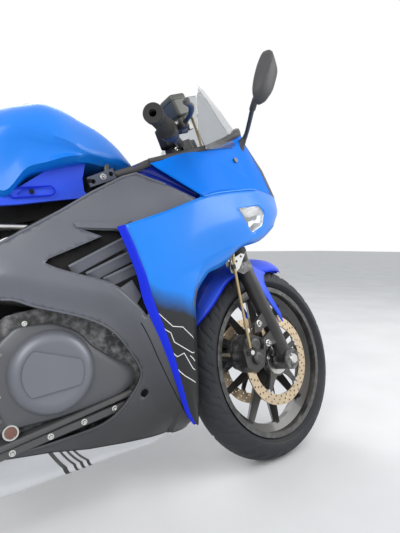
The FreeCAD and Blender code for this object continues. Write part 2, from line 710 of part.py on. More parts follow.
def hose_bracket():
    """Drilled plate behind the right leg that guides the hose."""
    out = "-leg_spread / 2 - slider_radius"
    leaf = prism("guide_leaf", [(-82, 366), (-50, 372), (-20, 326), (10, 322), (10, 296), (-36, 296), (-84, 340)],
                 out + " - 2.3", out + " + 0.2")
    holes = [bar("guide_hole", 5, 12, (n, out + " - 6", s)) for n, s in ((-66, 352), (-50, 338), (-36, 322))]
    clip = bar("guide_clip", "hose_radius + 3", 12, tuple(Vector(-66.2, -128, 338)), Vector(-50, 22, -212))
    leg = bar("leg_room", "slider_radius + 0.1", 400, (0, "-leg_spread / 2", 0), UP)
    return cut("hose_guide", fused("hose_guide_blank", cut("guide_plate", leaf, *holes), clip), leg,
               worked("hose_way", tube(HOSE_ROUTE, size("hose_radius + running_gap"))))


keep(hose_bracket(), "hose_bracket", steered)

# Bodywork: one outer form, cut into panels by outlines seen from the side

# height, tip_x, tip_y, cheek_x, cheek_y, hip_x, hip_y, tail_y
FAIRING_FORM = [
    (120, -120, 34, -200, 74, -380, 118, 96),
    (260, -80, 45, -180, 120, -370, 190, 165),
    (420, -60, 50, -170, 140, -360, 212, 185),
    (560, -30, 50, -140, 145, -330, 216, 195),
    (680, 18, 45, -90, 132, -280, 205, 190),
    (800, 75, 38, -60, 122, -260, 190, 178),
    (900, 36, 42, -90, 118, -270, 170, 160),
    (1010, -60, 40, -160, 106, -300, 148, 141),
    (1080, -106, 32, -190, 90, -300, 120, 120),
    (1160, -168, 20, -225, 58, -290, 76, 90),
]
FORM_TAIL_X = -945.0
WIDE = 400.0


def fairing_form(inset):
    """The body's outer form as a solid, drawn in by an inset."""
    sections = []
    for height, tip_x, tip_y, cheek_x, cheek_y, hip_x, hip_y, tail_y in FAIRING_FORM:
        half = [(FORM_TAIL_X, tail_y - inset), (hip_x, hip_y - inset),
                (cheek_x - 0.5 * inset, cheek_y - inset), (tip_x - inset, tip_y - 0.4 * inset)]
        outline = half + [(x, -y) for x, y in reversed(half)]
        sections.append(ring_wire([Vector(x, y, height) for x, y in outline]))
    return Part.makeLoft(sections, True, True)


def form_skin(outer, thick):
    """Thin shell of the form between two insets."""
    return fairing_form(outer).cut(fairing_form(outer + thick))


def rim_band(outline, width, y_from, y_to):
    """The band just inside a side outline, for a turned-in edge."""
    face = Part.Face(ring_wire([Vector(x, y_from, z) for x, z in outline]))
    return face.cut(face.makeOffset2D(-width)).extrude(Vector(0, y_to - y_from, 0))


NOSE_OUTLINE = [(-420, 815), (-413, 840), (-344, 868), (-252, 901), (-134, 940), (-72, 1002), (120, 1002),
                (120, 860), (-72, 812), (-216, 778), (-286, 757), (-358, 788)]
WING_OUTLINE = [(-516, 667), (-400, 707), (-290, 751.5), (-216, 777.4), (-72, 811.4), (120, 859.4), (120, 716),
                (14, 712), (-98, 657), (-152, 627), (-217, 582), (-278, 561), (-310, 519), (-324, 431),
                (-327, 356), (-326, 264), (-325, 194), (-340, 196), (-356, 214), (-394, 304), (-412, 367),
                (-438, 434), (-464, 500), (-480, 569), (-498, 613)]
PANEL_OUTLINE = [(-905, 540), (-840, 590), (-746, 635), (-688, 670), (-625, 708), (-557, 753), (-484, 795),
                 (-450, 808), (-380, 781), (-306, 750), (-306, 560), (-345, 431), (-348, 300), (-340, 200),
                 (-331, 188), (-374, 182), (-425, 173), (-510, 170), (-566, 166), (-625, 158), (-711, 150),
                 (-770, 151), (-795, 200), (-757, 223), (-702, 217), (-628, 227), (-571, 236), (-540, 251),
                 (-515, 273), (-489, 306), (-478, 343), (-485, 371), (-506, 417), (-536, 451), (-565, 461),
                 (-610, 480), (-687, 503), (-749, 521), (-880, 500)]
LOUVER_OUTLINE = [(-666, 593), (-607, 671), (-556, 660), (-528, 640), (-500, 572), (-498, 522), (-504, 513),
                  (-527, 537), (-579, 560), (-633, 577)]
COWL_OUTLINE = [(-436, 832), (-405, 848), (-335, 868), (-290, 850), (-260, 800), (-260, 742), (-380, 770),
                (-436, 795)]
LAMP_OUTLINE = [(-144, 738), (-66, 756), (-43, 736), (-53, 703), (-102, 678)]
LAMP_MIDDLE = 60.0


def lamp_opening(shrink):
    """Both lamp openings seen from the side, drawn in by a running edge."""
    face = Part.Face(ring_wire([Vector(x, -WIDE, z) for x, z in LAMP_OUTLINE]))
    if shrink:
        face = face.makeOffset2D(-shrink)
    one = face.extrude(Vector(0, WIDE - LAMP_MIDDLE, 0))
    return Part.makeCompound([one, flipped(one)])


LOUVER_SLOPE = Vector(0.896, 0, -0.444)
LOUVER_DEEP, LOUVER_FALL = 16.0, 12.0


def slats():
    """Sloping blades across the louver opening, drawn inwards and down."""
    across = Vector(0.444, 0, 0.896)
    count = int(size("slat_count"))
    pitch = 96.0 / (count + 1)
    blades = []
    for number in range(1, count + 1):
        low = Vector(-660, 0, 577 + 0.444 / 0.896 * 27) + across * (pitch * number)
        high = low + across * size("slat_thick")
        y_outer = -size("panel_inset") - 240
        corners = [low, low + LOUVER_SLOPE * 240, high + LOUVER_SLOPE * 240, high]
        face = Part.Face(ring_wire([Vector(p.x, y_outer, p.z + LOUVER_FALL) for p in corners]))
        blades.append(face.extrude(Vector(0, 80, -2.5 * LOUVER_FALL)))
    room = form_skin(size("panel_inset") + 1.5, LOUVER_DEEP - 3).common(plate(LOUVER_OUTLINE, -WIDE, -1))
    return [blade.common(room) for blade in blades]


def side_panel():
    """Right side panel with its turned-in louver frame and the slats across it."""
    inset = size("panel_inset")
    skin = form_skin(inset, SKIN).common(plate(PANEL_OUTLINE, -WIDE, -1.0)).cut(
        plate(LOUVER_OUTLINE, -WIDE, -1.0))
    frame_band = form_skin(inset, LOUVER_DEEP).common(rim_band(LOUVER_OUTLINE, 2.5, -WIDE, -1.0))
    return joined(skin, frame_band, *slats())


outer_skin = form_skin(0.0, SKIN)
nose = outer_skin.common(plate(NOSE_OUTLINE, -WIDE, WIDE))
keep(worked("nose_form", nose), "nose_fairing", bike)
keep(worked("lamp_pair", form_skin(1.0, 9.0).common(lamp_opening(0.5))), "headlights", bike)
turned_edge = form_skin(0.0, size("panel_inset") - GAP).common(rim_band(WING_OUTLINE, 4.0, -WIDE, -1.0))
wing = worked("wing_form", outer_skin.common(plate(WING_OUTLINE, -WIDE, -1.0)).fuse(turned_edge).cut(
    lamp_opening(0)).removeSplitter())
keep_copy(wing, "wing_panel_right", bike)
keep(mirror("wing_left_form", wing), "wing_panel_left", bike)
panel = worked("panel_form", side_panel())
keep_copy(panel, "side_fairing_right", bike)
keep(mirror("panel_left_form", panel), "side_fairing_left", bike)
behind = size("panel_inset") + SKIN + GAP
cowl = form_skin(behind, SKIN).common(plate(COWL_OUTLINE, -WIDE, -60))
keep(both_sides("cowl_pair", worked("cowl_form", cowl)), "inner_cowls", bike)

SCREEN_OUTLINE = [(40, 990), (-66, 990), (-134, 928), (-248, 892), (-264, 950), (-232, 1075), (-196, 1150),
                  (-100, 1152)]
keep(worked("screen_form", form_skin(SKIN + GAP, SKIN).common(plate(SCREEN_OUTLINE, -WIDE, WIDE))),
     "windscreen", bike)

# Belly pan: tray inside the lower edges of the side fairings
BELLY_FLOOR = [(-335, 176), (-425, 161), (-510, 157), (-625, 146), (-711, 139), (-776, 139)]
BELLY_TOP = [(-776, 184), (-625, 190), (-425, 206), (-340, 214)]


def belly_pan():
    """Open tray with a thin floor and sides."""
    hollow = [(x, z + SKIN) for x, z in BELLY_FLOOR] + [(x, z + 10) for x, z in BELLY_TOP]
    return fairing_form(behind).common(plate(BELLY_FLOOR + BELLY_TOP, -WIDE, WIDE)).cut(
        fairing_form(behind + SKIN).common(plate(hollow, -WIDE, WIDE)))


keep(worked("belly_form", belly_pan()), "belly_pan", bike)

# Tank: creased sections with a knee recess and an undercut lower lip, as (y, z) points of the left half
# x, crown, top, shoulder, side, recess top, recess, lip, undercut
TANK_SECTIONS = [
    (-905, (0, 858), (30, 856), (55, 846), (72, 832), (84, 820), (84, 808), (80, 798), (66, 790)),
    (-850, (0, 915), (38, 912), (70, 900), (96, 878), (110, 856), (108, 832), (104, 800), (84, 785)),
    (-736, (0, 978), (50, 974), (92, 960), (126, 930), (146, 892), (140, 836), (146, 756), (126, 745)),
    (-650, (0, 1005), (52, 1001), (96, 984), (130, 946), (150, 887), (138, 852), (152, 821), (132, 812)),
    (-605, (0, 1002), (50, 998), (90, 978), (124, 934), (146, 884), (136, 862), (146, 842), (128, 831)),
    (-562, (0, 984), (46, 980), (80, 962), (110, 920), (130, 872), (126, 862), (124, 855), (110, 843)),
    (-500, (0, 957), (38, 953), (64, 938), (86, 905), (100, 872), (98, 864), (94, 857), (80, 846)),
    (-425, (0, 897), (18, 895), (32, 889), (42, 880), (48, 872), (46, 866), (42, 860), (36, 852)),
]
tank = worked("tank_form", Part.makeLoft([half_section(row[0], row[1:]) for row in TANK_SECTIONS], True, True))
keep_copy(tank, "fuel_tank", bike)

# Seats and tail
# x, low_y, low_z, mid_y, mid_z, top_y, top_z, crown_z
RIDER_SEAT = [
    (-1265, 100, 800, 118, 822, 92, 838, 846), (-1120, 118, 772, 138, 792, 108, 806, 812),
    (-980, 100, 768, 116, 790, 84, 806, 812), (-909, 70, 772, 84, 795, 60, 812, 820)]
PASSENGER_SEAT = [
    (-1540, 52, 880, 62, 896, 44, 910, 916), (-1420, 78, 872, 92, 892, 70, 908, 916),
    (-1290, 92, 852, 108, 876, 84, 896, 906)]
TAIL = [
    (-1640, 30, 868, 44, 884, 22, 900, 904), (-1460, 62, 790, 92, 840, 66, 868, 871),
    (-1280, 84, 740, 126, 790, 96, 842, 850), (-1100, 92, 700, 134, 735, 110, 768, 771)]


def lofted(rows, grow=0.0, drop=0.0):
    """Bulged body through sections, each grown all round and its floor dropped."""
    return Part.makeLoft([half_section(x, [
        (0, crown_z + grow), (top_y + grow, top_z + grow), (mid_y + grow, mid_z), (low_y + grow, low_z - grow - drop)])
        for x, low_y, low_z, mid_y, mid_z, top_y, top_z, crown_z in rows], True, True)


keep(worked("rider_cushion", lofted(RIDER_SEAT)), "rider_seat", bike)
keep(worked("passenger_cushion", lofted(PASSENGER_SEAT)), "passenger_seat", bike)
seat_room = [lofted(rows, size("seat_gap")) for rows in (RIDER_SEAT, PASSENGER_SEAT)]
tail_core = lofted(TAIL, -SKIN, 2 * SKIN + 12)
tail = worked("tail_form", lofted(TAIL).cut(tail_core).cut(seat_room))
keep_copy(tail, "tail_fairing", bike)
keep(prism("lamp_block", [(-1666, 872), (-1640, 872), (-1640, 898), (-1660, 898)], -30, 30), "tail_light", bike)

# Engine and what bolts to it
barrel_way = Vector(52, 0, 232).normalize()


def crankcase():
    """Crankcase and gearbox with a room for the front sprocket and its stub shaft."""
    case = prism("case", [(-830, 250), (-826, 400), (-790, 450), (-740, 488), (-640, 508), (-560, 492), (-505, 458),
                          (-466, 420), (-462, 340), (-490, 240), (-560, 205), (-780, 205)], "-case_half", "case_half")
    sump = prism("sump", [(-760, 206), (-580, 206), (-600, 199), (-740, 199)], -80, 80)
    corners = [prism("case_corner", [(side * 104, 180), (side * 165, 180), (side * 165, 310)], -900, -400, "front")
               for side in (-1, 1)]
    room = prism("sprocket_room", [(-900, 320), (-900, 470), (-748, 470), (-748, 320)], "chain_line - 14", 160)
    shaft = bar("sprocket_shaft", "front_sprocket_radius - 5", 25,
                (FRONT_SPROCKET.x, "chain_line - 15", FRONT_SPROCKET.z))
    return fused("crankcase", cut("case_with_room", fused("case_and_sump", case, sump), room, *corners), shaft)


def barrel_strip(name, start, tall, rear, front, half):
    """Slice of the barrel or head, square to its forward-leaning line."""
    foot = Vector(-604, 0, 430) + barrel_way * start
    along = Vector(barrel_way.z, 0, -barrel_way.x)
    corners = [foot - along * rear, foot + along * front,
               foot + along * front + barrel_way * tall, foot - along * rear + barrel_way * tall]
    return prism(name, [(p.x, p.z) for p in corners], "-(%s)" % half, half)


def engine_top():
    """Leaning cylinder with cooling ribs, its head and the cam cover."""
    parts = [barrel_strip("barrel", 40, 92, 72, 72, "barrel_half - 8"),
             barrel_strip("head", 118, 66, 80, 80, "barrel_half"),
             barrel_strip("cam_cover", 184, 26, 62, 66, "barrel_half - 8")]
    for number in range(5):
        parts.append(barrel_strip("rib", 66 + 11 * number, 4, 78, 78, "barrel_half"))
    return cut("barrel_and_head", fused("engine_top_blank", *parts), case_form)


case_form = crankcase()
top_form = engine_top()
keep_copy(case_form, "engine", bike)
keep_copy(top_form, "engine_top", bike)


def clutch_cover():
    """Round cover with a raised disc and groove, on a flange with bolt bosses that follows the case."""
    tall = "clutch_out - case_half"
    drum = turning("clutch_drum", [
        (0, 0), ("clutch_radius", 0), ("clutch_radius", tall + " - 14"), ("clutch_radius - 3", tall + " - 8"),
        ("clutch_radius - 12", tall + " - 4"), ("clutch_radius * 0.72", tall + " - 4"),
        ("clutch_radius * 0.7", tall + " - 8"), ("clutch_radius * 0.66", tall + " - 8"),
        ("clutch_radius * 0.64", tall), (0, tall)], (-656, "-case_half", 366), -LEFT)
    flange = prism("clutch_flange", [
        (-744, 262), (-644, 272), (-560, 286), (-500, 312), (-474, 350), (-472, 410), (-508, 452), (-562, 484),
        (-640, 498), (-722, 478), (-760, 430), (-765, 320)], "-case_half - 20", "-case_half")
    bosses = [bar("cover_boss", 9, 26, (x, "-case_half", z), -LEFT) for x, z in (
        (-668, 272), (-590, 292), (-516, 318), (-482, 388), (-520, 440), (-590, 474), (-706, 474), (-752, 410),
        (-755, 320))]
    return fused("clutch_cover_form", drum, flange, *bosses)


keep(clutch_cover(), "clutch_cover", bike)
generator_tall = "generator_out - case_half"
keep_copy(turning("generator_form", [
    (0, 0), ("generator_radius", 0), ("generator_radius", generator_tall + " - 12"),
    ("generator_radius - 12", generator_tall), (30, generator_tall), (28, generator_tall + " - 4"),
    (0, generator_tall + " - 4")], (-640, "case_half", 350)), "generator_cover", bike)


# Frame

def in_bike(shape):
    """A shape drawn in the fork's frame, put in the upright machine's frame with the fork straight."""
    moved = shape.copy()
    moved.Placement = fork_frame
    return moved


def frame_tubes():
    """Head tube, two upper and two lower tubes, struts and the swingarm's pivot plates."""
    low, high = size("lower_clamp_at + clamp_height + head_gap"), size("upper_clamp_at - head_gap")
    head = in_bike(Part.makeCylinder(size("head_radius"), high - low, Vector(-OFFSET, 0, low), UP))
    head_low = fork_frame.multVec(Vector(-OFFSET, 0, low + 24))
    head_high = fork_frame.multVec(Vector(-OFFSET, 0, high - 28))
    r = size("frame_tube")
    inside = fairing_form(behind)
    parts = [head]
    for side in (-1, 1):
        across = LEFT * side
        parts.append(tube([head_high + across * 12, Vector(-470, side * 100, 742),
                           Vector(-640, side * 116, 700), Vector(-880, side * 118, 520)], r))
        parts.append(tube([head_low + across * 12, Vector(-420, side * 88, 668),
                           Vector(-510, side * 96, 606), Vector(-800, side * 116, 578)], r - 5))
        parts.append(rod(Vector(-510, side * 96, 606), Vector(-560, side * 110, 715), r - 6))
        parts.append(rod(Vector(-500, side * 94, 742), Vector(-500, side * 80, 862), 9))
        parts.append(rod(Vector(-540, side * 100, 603), Vector(-540, side * 60, 603), 10))
        parts.append(plate([(-850, 560), (-905, 560), (-940, 420), (-930, 330), (-880, 300), (-815, 330),
                            (-815, 430)], *sorted((side * PLATE_IN, side * PLATE_OUT))))
        parts.append(rod(Vector(-690, side * 107, 589), Vector(-700, side * 300, 590), 7).common(inside))
        parts.append(rod(Vector(-510, side * 96, 606), Vector(-450, side * 300, 640), 7).common(inside))
    cross = rod(Vector(-905, -PLATE_IN - 2, 540), Vector(-905, PLATE_IN + 2, 540), 14)
    return joined(*parts, cross)


doc.recompute()
head_hole = worked("head_hole", in_bike(Part.makeCylinder(
    size("head_bore"), 300, Vector(-OFFSET, 0, size("lower_clamp_at + clamp_height") - 20), UP)))
pin_hole = bar("pivot_hole", "pivot_radius + 0.05", 400, ("-pivot_back", -200, "pivot_height"))
frame = cut("frame_bored", worked("frame_tubes", frame_tubes()), head_hole, pin_hole, case_form, top_form, tank)
keep_copy(frame, "main_frame", bike)


def tank_cover():
    """Right plate below the tank's lip, narrower towards the front, with its rounded slot."""
    side = prism("cover_side", [(-905, 722), (-743, 724), (-703, 730), (-640, 743), (-573, 756), (-548, 761),
                                (-561, 775), (-564, 805), (-556, 842), (-603, 842), (-647, 840), (-700, 800),
                                (-742, 746), (-905, 746)], -135, -70)
    plan = prism("cover_plan", [(-905, -118), (-745, -130), (-681, -122), (-600, -109), (-548, -100),
                                (-548, -88), (-600, -97), (-681, -110), (-745, -118), (-905, -106)], 700, 860, "top")
    slot = prism("cover_slot", [(-712, 752), (-698, 765), (-650, 775), (-642, 768), (-653, 757), (-707, 745)],
                 -140, -118)
    return cut("tank_cover", shared_by("cover_blank", side, plan), slot,
               worked("tank_room", Part.makeLoft([half_section(row[0], [
                   (y + (GAP if y else 0), z + GAP if number < 4 else z - GAP) for number, (y, z) in enumerate(row[1:])])
                   for row in TANK_SECTIONS], True, True)), frame)


keep(both_sides("cover_pair", tank_cover()), "tank_side_covers", bike)
bracket = prism("bracket_leaf", [(-552, 811), (-487, 841), (-478, 815), (-544, 787)], -98, -88)
bracket_holes = [bar("bracket_hole", 6, 20, (x, -104, z)) for x, z in ((-537, 802), (-492, 825))]
keep(both_sides("bracket_pair", cut("bracket", bracket, frame, tank, *bracket_holes)), "tank_brackets", bike)


def radiator():
    """Core between side tanks, hung on two ears from the frame."""
    core = prism("radiator_core", [(-384, 334), (-358, 334), (-362, 596), (-388, 596)], -140, 140)
    tanks = [prism("radiator_tank", [(-390, 330), (-350, 330), (-354, 600), (-394, 600)], low, low + 16)
             for low in (-148, 132)]
    ears = [prism("radiator_ear", [(-388, 590), (-364, 590), (-402, 680), (-430, 680)], low, low + 12)
            for low in (-90, 78)]
    return cut("radiator_form", fused("radiator_blank", core, *tanks, *ears), frame)


keep(radiator(), "radiator", bike)


def seat_rails():
    """Rails and stays behind the main frame, with the tank's rear posts."""
    r = size("rail_tube")
    parts = []
    for side in (-1, 1):
        parts.append(tube([Vector(-800, side * 96, 640), Vector(-900, side * 92, 720),
                           Vector(-1180, side * 74, 762), Vector(-1560, side * 44, 858)], r))
        parts.append(rod(Vector(-905, side * 112, 540), Vector(-1230, side * 72, 762), r - 2))
        parts.append(rod(Vector(-872, side * 93, 705), Vector(-872, side * 62, 800), 7))
    parts.append(rod(Vector(-1180, -76, 762), Vector(-1180, 76, 762), r))
    parts.append(rod(Vector(-1460, -140, 832), Vector(-1460, 140, 832), 9).common(lofted(TAIL, -SKIN)))
    return joined(*parts)


rails = cut("rails_trimmed", worked("rail_tubes", seat_rails()), frame, tank)
keep_copy(rails, "subframe", bike)
plate_holder = fused(
    "plate_holder", prism("holder_arm", [(-1600, 866), (-1560, 840), (-1700, 610), (-1716, 612)], -24, 24),
    prism("holder_plate", [(-1690, 618), (-1702, 612), (-1752, 520), (-1742, 514)], -95, 95),
    prism("holder_foot", [(-1600, 842), (-1530, 842), (-1530, 852), (-1600, 852)], -50, 50))
keep(cut("holder_trimmed", plate_holder, tail, rails), "rear_fender", bike)


def swingarm():
    """Two tapered arms with axle lugs, joined at the pivot tube and a brace ahead of the tyre."""
    outline = [("-pivot_back + 28", "pivot_height + 26"), ("-pivot_back + 28", "pivot_height - 26"),
               ("-pivot_back - 120", "pivot_height - 56"), ("-wheelbase - 40", "rear_radius - 26"),
               ("-wheelbase - 62", "rear_radius - 14"), ("-wheelbase - 62", "rear_radius + 14"),
               ("-wheelbase - 40", "rear_radius + 26"), ("-pivot_back - 120", "pivot_height + 14")]
    outer = "arm_inner + arm_thick"
    arms = [prism("arm_right", outline, "-(%s)" % outer, "-arm_inner"), prism("arm_left", outline, "arm_inner", outer)]
    brace = prism("arm_brace", [
        ("-pivot_back - 84", "pivot_height - 26"), ("-pivot_back - 48", "pivot_height - 26"),
        ("-pivot_back - 48", "pivot_height + 10"), ("-pivot_back - 84", "pivot_height + 10")],
        "-arm_inner - 2", "arm_inner + 2")
    half = outer + " + plate_gap - 1"
    pivot = bar("pivot_tube", "pivot_tube", "2 * (%s)" % half, ("-pivot_back", "-(%s)" % half, "pivot_height"))
    axle_hole = bar("arm_axle_hole", "rear_axle_radius + 0.05", 400, ("-wheelbase", -200, "rear_radius"))
    spools = [bar("spool_hole", "spool_hole", 20, ("-wheelbase + 55", at, "rear_radius + 2"), way)
              for at, way in (("-(%s)" % outer, LEFT), (outer, -LEFT))]
    return cut("swingarm_bored", fused("swingarm_blank", *arms, brace, pivot), axle_hole, pin_hole, *spools)


swing = swingarm()
keep_copy(swing, "swingarm", bike)


def rear_axle():
    """Spindle with its nuts, and the spacers against the hub."""
    out, spacer = "arm_inner + arm_thick", "arm_inner - hub_width / 2 - running_gap"
    x, z = "-wheelbase", "rear_radius"
    return fused(
        "rear_spindle_set",
        bar("rear_spindle", "rear_axle_radius", "2 * (%s) + 24" % out, (x, "-(%s) - 12" % out, z)),
        bar("rear_nut", 16, 10, (x, out, z)), bar("rear_head", 16, 10, (x, "-(%s) - 10" % out, z)),
        bar("rear_right_spacer", 15, spacer, (x, "-arm_inner", z)),
        bar("rear_left_spacer", "rear_axle_radius + 5", spacer, (x, "hub_width / 2 + running_gap", z)))


def pivot_bolt():
    """Bolt through the pivot plates and the swingarm."""
    out = "arm_inner + arm_thick + plate_gap + plate_thick"
    x, z = "-pivot_back", "pivot_height"
    return fused(
        "pivot_bolt_form", bar("pivot_shank", "pivot_radius", "2 * (%s) + 16" % out, (x, "-(%s) - 8" % out, z)),
        bar("pivot_head", 15, 8, (x, "-(%s) - 8" % out, z)), bar("pivot_nut", 15, 8, (x, out, z)))


keep(rear_axle(), "rear_axle", bike)
keep(pivot_bolt(), "pivot_bolt", bike)
shock_low, shock_high = Vector(PIVOT.x - 66, 0, PIVOT.z + 4), Vector(PIVOT.x - 12, 0, 532)
shock = turning("shock_body", [(0, 0), (12, 0), (12, 26), (23, 28), (23, 34), (20, 36), (20, 104), (23, 106),
                               (23, 112), (16, 114), (16, 154), (0, 154)], tuple(shock_low), shock_high - shock_low)
keep(cut("shock_trimmed", shock, swing, frame), "rear_shock", bike)


def rear_caliper():
    """Small caliper on the right arm's inner face, open over the disc."""
    body = prism("rear_caliper_body", [(-1322, 352), (-1300, 396), (-1262, 404), (-1236, 380), (-1240, 336),
                                       (-1290, 318)], "-arm_inner", "-disc_spread / 2 + 20")
    room = turning("rear_disc_room", [
        (60, "-disc_thick / 2 - 1.5"), ("rear_disc_radius + 4", "-disc_thick / 2 - 1.5"),
        ("rear_disc_radius + 4", "disc_thick / 2 + 1.5"), (60, "disc_thick / 2 + 1.5")],
        ("-wheelbase", "-disc_spread / 2", "rear_radius"))
    hub_room = bar("hub_room", 66, 90, ("-wheelbase", "-arm_inner + 1", "rear_radius"))
    return cut("rear_caliper_form", body, room, hub_room)


keep(rear_caliper(), "rear_caliper", bike)


def chain_loop():
    """Flat loop round both sprockets on the left, grooved where it runs on the rear teeth."""
    front_r, rear_r, line, wide = (size(name) for name in (
        "front_sprocket_radius", "rear_sprocket_radius", "chain_line", "chain_wide"))
    gap = FRONT_SPROCKET - REAR_AXLE
    tilt = math.asin((rear_r - front_r) / gap.Length)
    base = math.atan2(gap.z, gap.x)
    top, low = base + math.pi / 2 - tilt, base - math.pi / 2 + tilt

    def at(centre, radius, angle):
        return Vector(centre.x + math.cos(angle) * radius, line - wide / 2, centre.z + math.sin(angle) * radius)
    loops = []
    for grow in (9.0, -5.0):
        a, b = rear_r + grow, front_r + grow
        edges = [Part.Arc(at(REAR_AXLE, a, top), at(REAR_AXLE, a, base + math.pi), at(REAR_AXLE, a, low)).toShape(),
                 Part.LineSegment(at(REAR_AXLE, a, low), at(FRONT_SPROCKET, b, low)).toShape(),
                 Part.Arc(at(FRONT_SPROCKET, b, low), at(FRONT_SPROCKET, b, base),
                          at(FRONT_SPROCKET, b, top)).toShape(),
                 Part.LineSegment(at(FRONT_SPROCKET, b, top), at(REAR_AXLE, a, top)).toShape()]
        loops.append(Part.Face(Part.Wire(edges)).extrude(Vector(0, wide, 0)))
    tooth_room = Part.makeCylinder(rear_r + size("tooth_tall") / 2 + 1.5, size("sprocket_thick") + 1.6,
                                   REAR_AXLE + LEFT * (line - size("sprocket_thick") / 2 - 0.8), LEFT)
    return loops[0].cut(loops[1]).cut(tooth_room)


keep(worked("chain_form", chain_loop()), "drive_chain", bike)

# Exhaust
MUFFLER_START, MUFFLER_END = Vector(-1030, -178, 300), Vector(-1430, -196, 452)
muffler_way = (MUFFLER_END - MUFFLER_START).normalize()
PIPE_ROUTE = [Vector(-510, 0, 590), Vector(-428, 0, 566), Vector(-424, -8, 420), Vector(-436, -24, 260),
              Vector(-505, -40, 178), Vector(-780, -80, 177), Vector(-900, -150, 215),
              MUFFLER_START - muffler_way * 60, MUFFLER_START]
pipe = worked("pipe_run", tube(PIPE_ROUTE, 19.0))
keep(cut("pipe_trimmed", pipe, case_form, top_form), "exhaust_pipe", bike)
keep_copy(turning("muffler_form", [
    (0, 0), (22, 0), ("muffler_radius", 46), ("muffler_radius", "muffler_length - 34"),
    ("muffler_radius - 10", "muffler_length - 8"), (26, "muffler_length"), (22, "muffler_length"),
    (22, "muffler_length - 60"), (0, "muffler_length - 60")], tuple(MUFFLER_START), muffler_way), "muffler", bike)


def rearset():
    """Right hanger with its footrest, and the boss for the foot lever."""
    out = "-(arm_inner + arm_thick + plate_gap + plate_thick)"
    hanger = prism("hanger", [(-880, 470), (-930, 480), (-1010, 420), (-1004, 376), (-940, 396), (-890, 420)],
                   out + " - 10", out)
    window = prism("hanger_window", [(-905, 452), (-930, 458), (-975, 424), (-940, 412)], out + " - 12", out + " + 1")
    peg = bar("peg", 11, 92, (-985, out + " - 9", 402), -LEFT)
    return fused("rearset", cut("hanger_cut", hanger, window), peg)


def foot_lever():
    """Right foot lever: pivot on the hanger, arm forward and a toe peg."""
    out = -PLATE_OUT - 10 - GAP
    arm = tube([Vector(-968, out - 7, 386), Vector(-925, out - 7, 368), Vector(-850, out - 9, 362)], 5.5)
    return joined(rod(Vector(-968, out, 386), Vector(-968, out - 16, 386), 9), arm,
                  rod(Vector(-852, out - 4, 362), Vector(-852, out - 40, 362), 7))


keep(both_sides("rearset_pair", rearset()), "footrests", bike)
keep(both_sides("lever_pair", worked("foot_lever_form", foot_lever())), "foot_levers", bike)

# Cockpit: a stay from the head tube carries the instrument and reaches the nose's walls
instrument = worked("instrument_form", Part.makeLoft([
    ring_wire([Vector(x, -y, z), Vector(x, y, z), Vector(x, y * 0.9, z + 56), Vector(x, -y * 0.9, z + 56)])
    for x, y, z in ((-150, 66, 908), (-106, 78, 900))], True, False))
keep_copy(instrument, "instrument_panel", bike)
stay = joined(
    tube([Vector(-235, 0, 778), Vector(-165, 0, 800), Vector(-124, 0, 860), Vector(-124, 0, 903)], 9),
    rod(Vector(-130, -160, 890), Vector(-130, 160, 890), 7).common(fairing_form(2 * SKIN + 2 * GAP)))
keep(cut("stay_trimmed", worked("stay_form", stay), frame, instrument), "fairing_stay", bike)


def mirror_shape():
    """Right mirror: stalk from the nose's shoulder and a tapered housing at its end."""
    stalk = tube([Vector(-150, -112, 935), Vector(-130, -160, 965), Vector(-132, -230, 985), Vector(-140, -265, 1010)],
                 8)
    shell = Part.makeLoft([ring_wire([
        Vector(x, -262 - w, 985), Vector(x, -262 + w, 975), Vector(x, -254 + w, 1056 + w),
        Vector(x, -272 - w, 1086 + w)]) for x, w in ((-172, 34), (-140, 30), (-112, 18))], True, False)
    return joined(stalk, shell).cut(fairing_form(0.0))


mirror_form = worked("mirror_form", mirror_shape())
keep_copy(mirror_form, "mirror_right", bike)
keep(mirror("mirror_left_form", mirror_form), "mirror_left", bike)

# Side stand: a bracket on the left pivot plate, and a leg that folds back on its tilted pin
STAND_PIVOT = Vector(-862, 177, 262)
STAND_AXIS = Vector(0, 1, 0.36).normalize()
STAND_PIN = 6.0
LEG_KNEE = Vector(12, 34, -84)


def ground_height(x, y):
    """Upright height of the ground's plane under a point of the leaning machine."""
    inverse = bike.inverse()
    origin = inverse.multVec(Vector())
    normal = inverse.Rotation.multVec(UP)
    return origin.z - (normal.x * (x - origin.x) + normal.y * (y - origin.y)) / normal.z


FOOT = Vector(-800, 286, ground_height(-800, 286))


def side_stand():
    """Leg from its pivot eye to a foot that lies flat on the ground."""
    ground_normal = bike.inverse().Rotation.multVec(UP)
    eye = Part.makeCylinder(15, 14, STAND_PIVOT - STAND_AXIS * 7, STAND_AXIS)
    down = LEG_KNEE.cross(STAND_AXIS).cross(STAND_AXIS).normalize() * -1
    across = STAND_AXIS.cross(down)
    tongue = Part.Face(ring_wire([STAND_PIVOT + across * w + down * d - STAND_AXIS * 7 for w, d in (
        (-13, 0), (-12, 40), (12, 40), (13, 0))])).extrude(STAND_AXIS * 14)
    leg = tube([STAND_PIVOT + down * 30, STAND_PIVOT + LEG_KNEE, FOOT + ground_normal * 10], 11)
    foot = Part.makeCylinder(26, 7, FOOT, ground_normal)
    bore = Part.makeCylinder(STAND_PIN + GAP, 80, STAND_PIVOT - STAND_AXIS * 40, STAND_AXIS)
    return joined(eye, tongue, leg, foot).cut(bore)


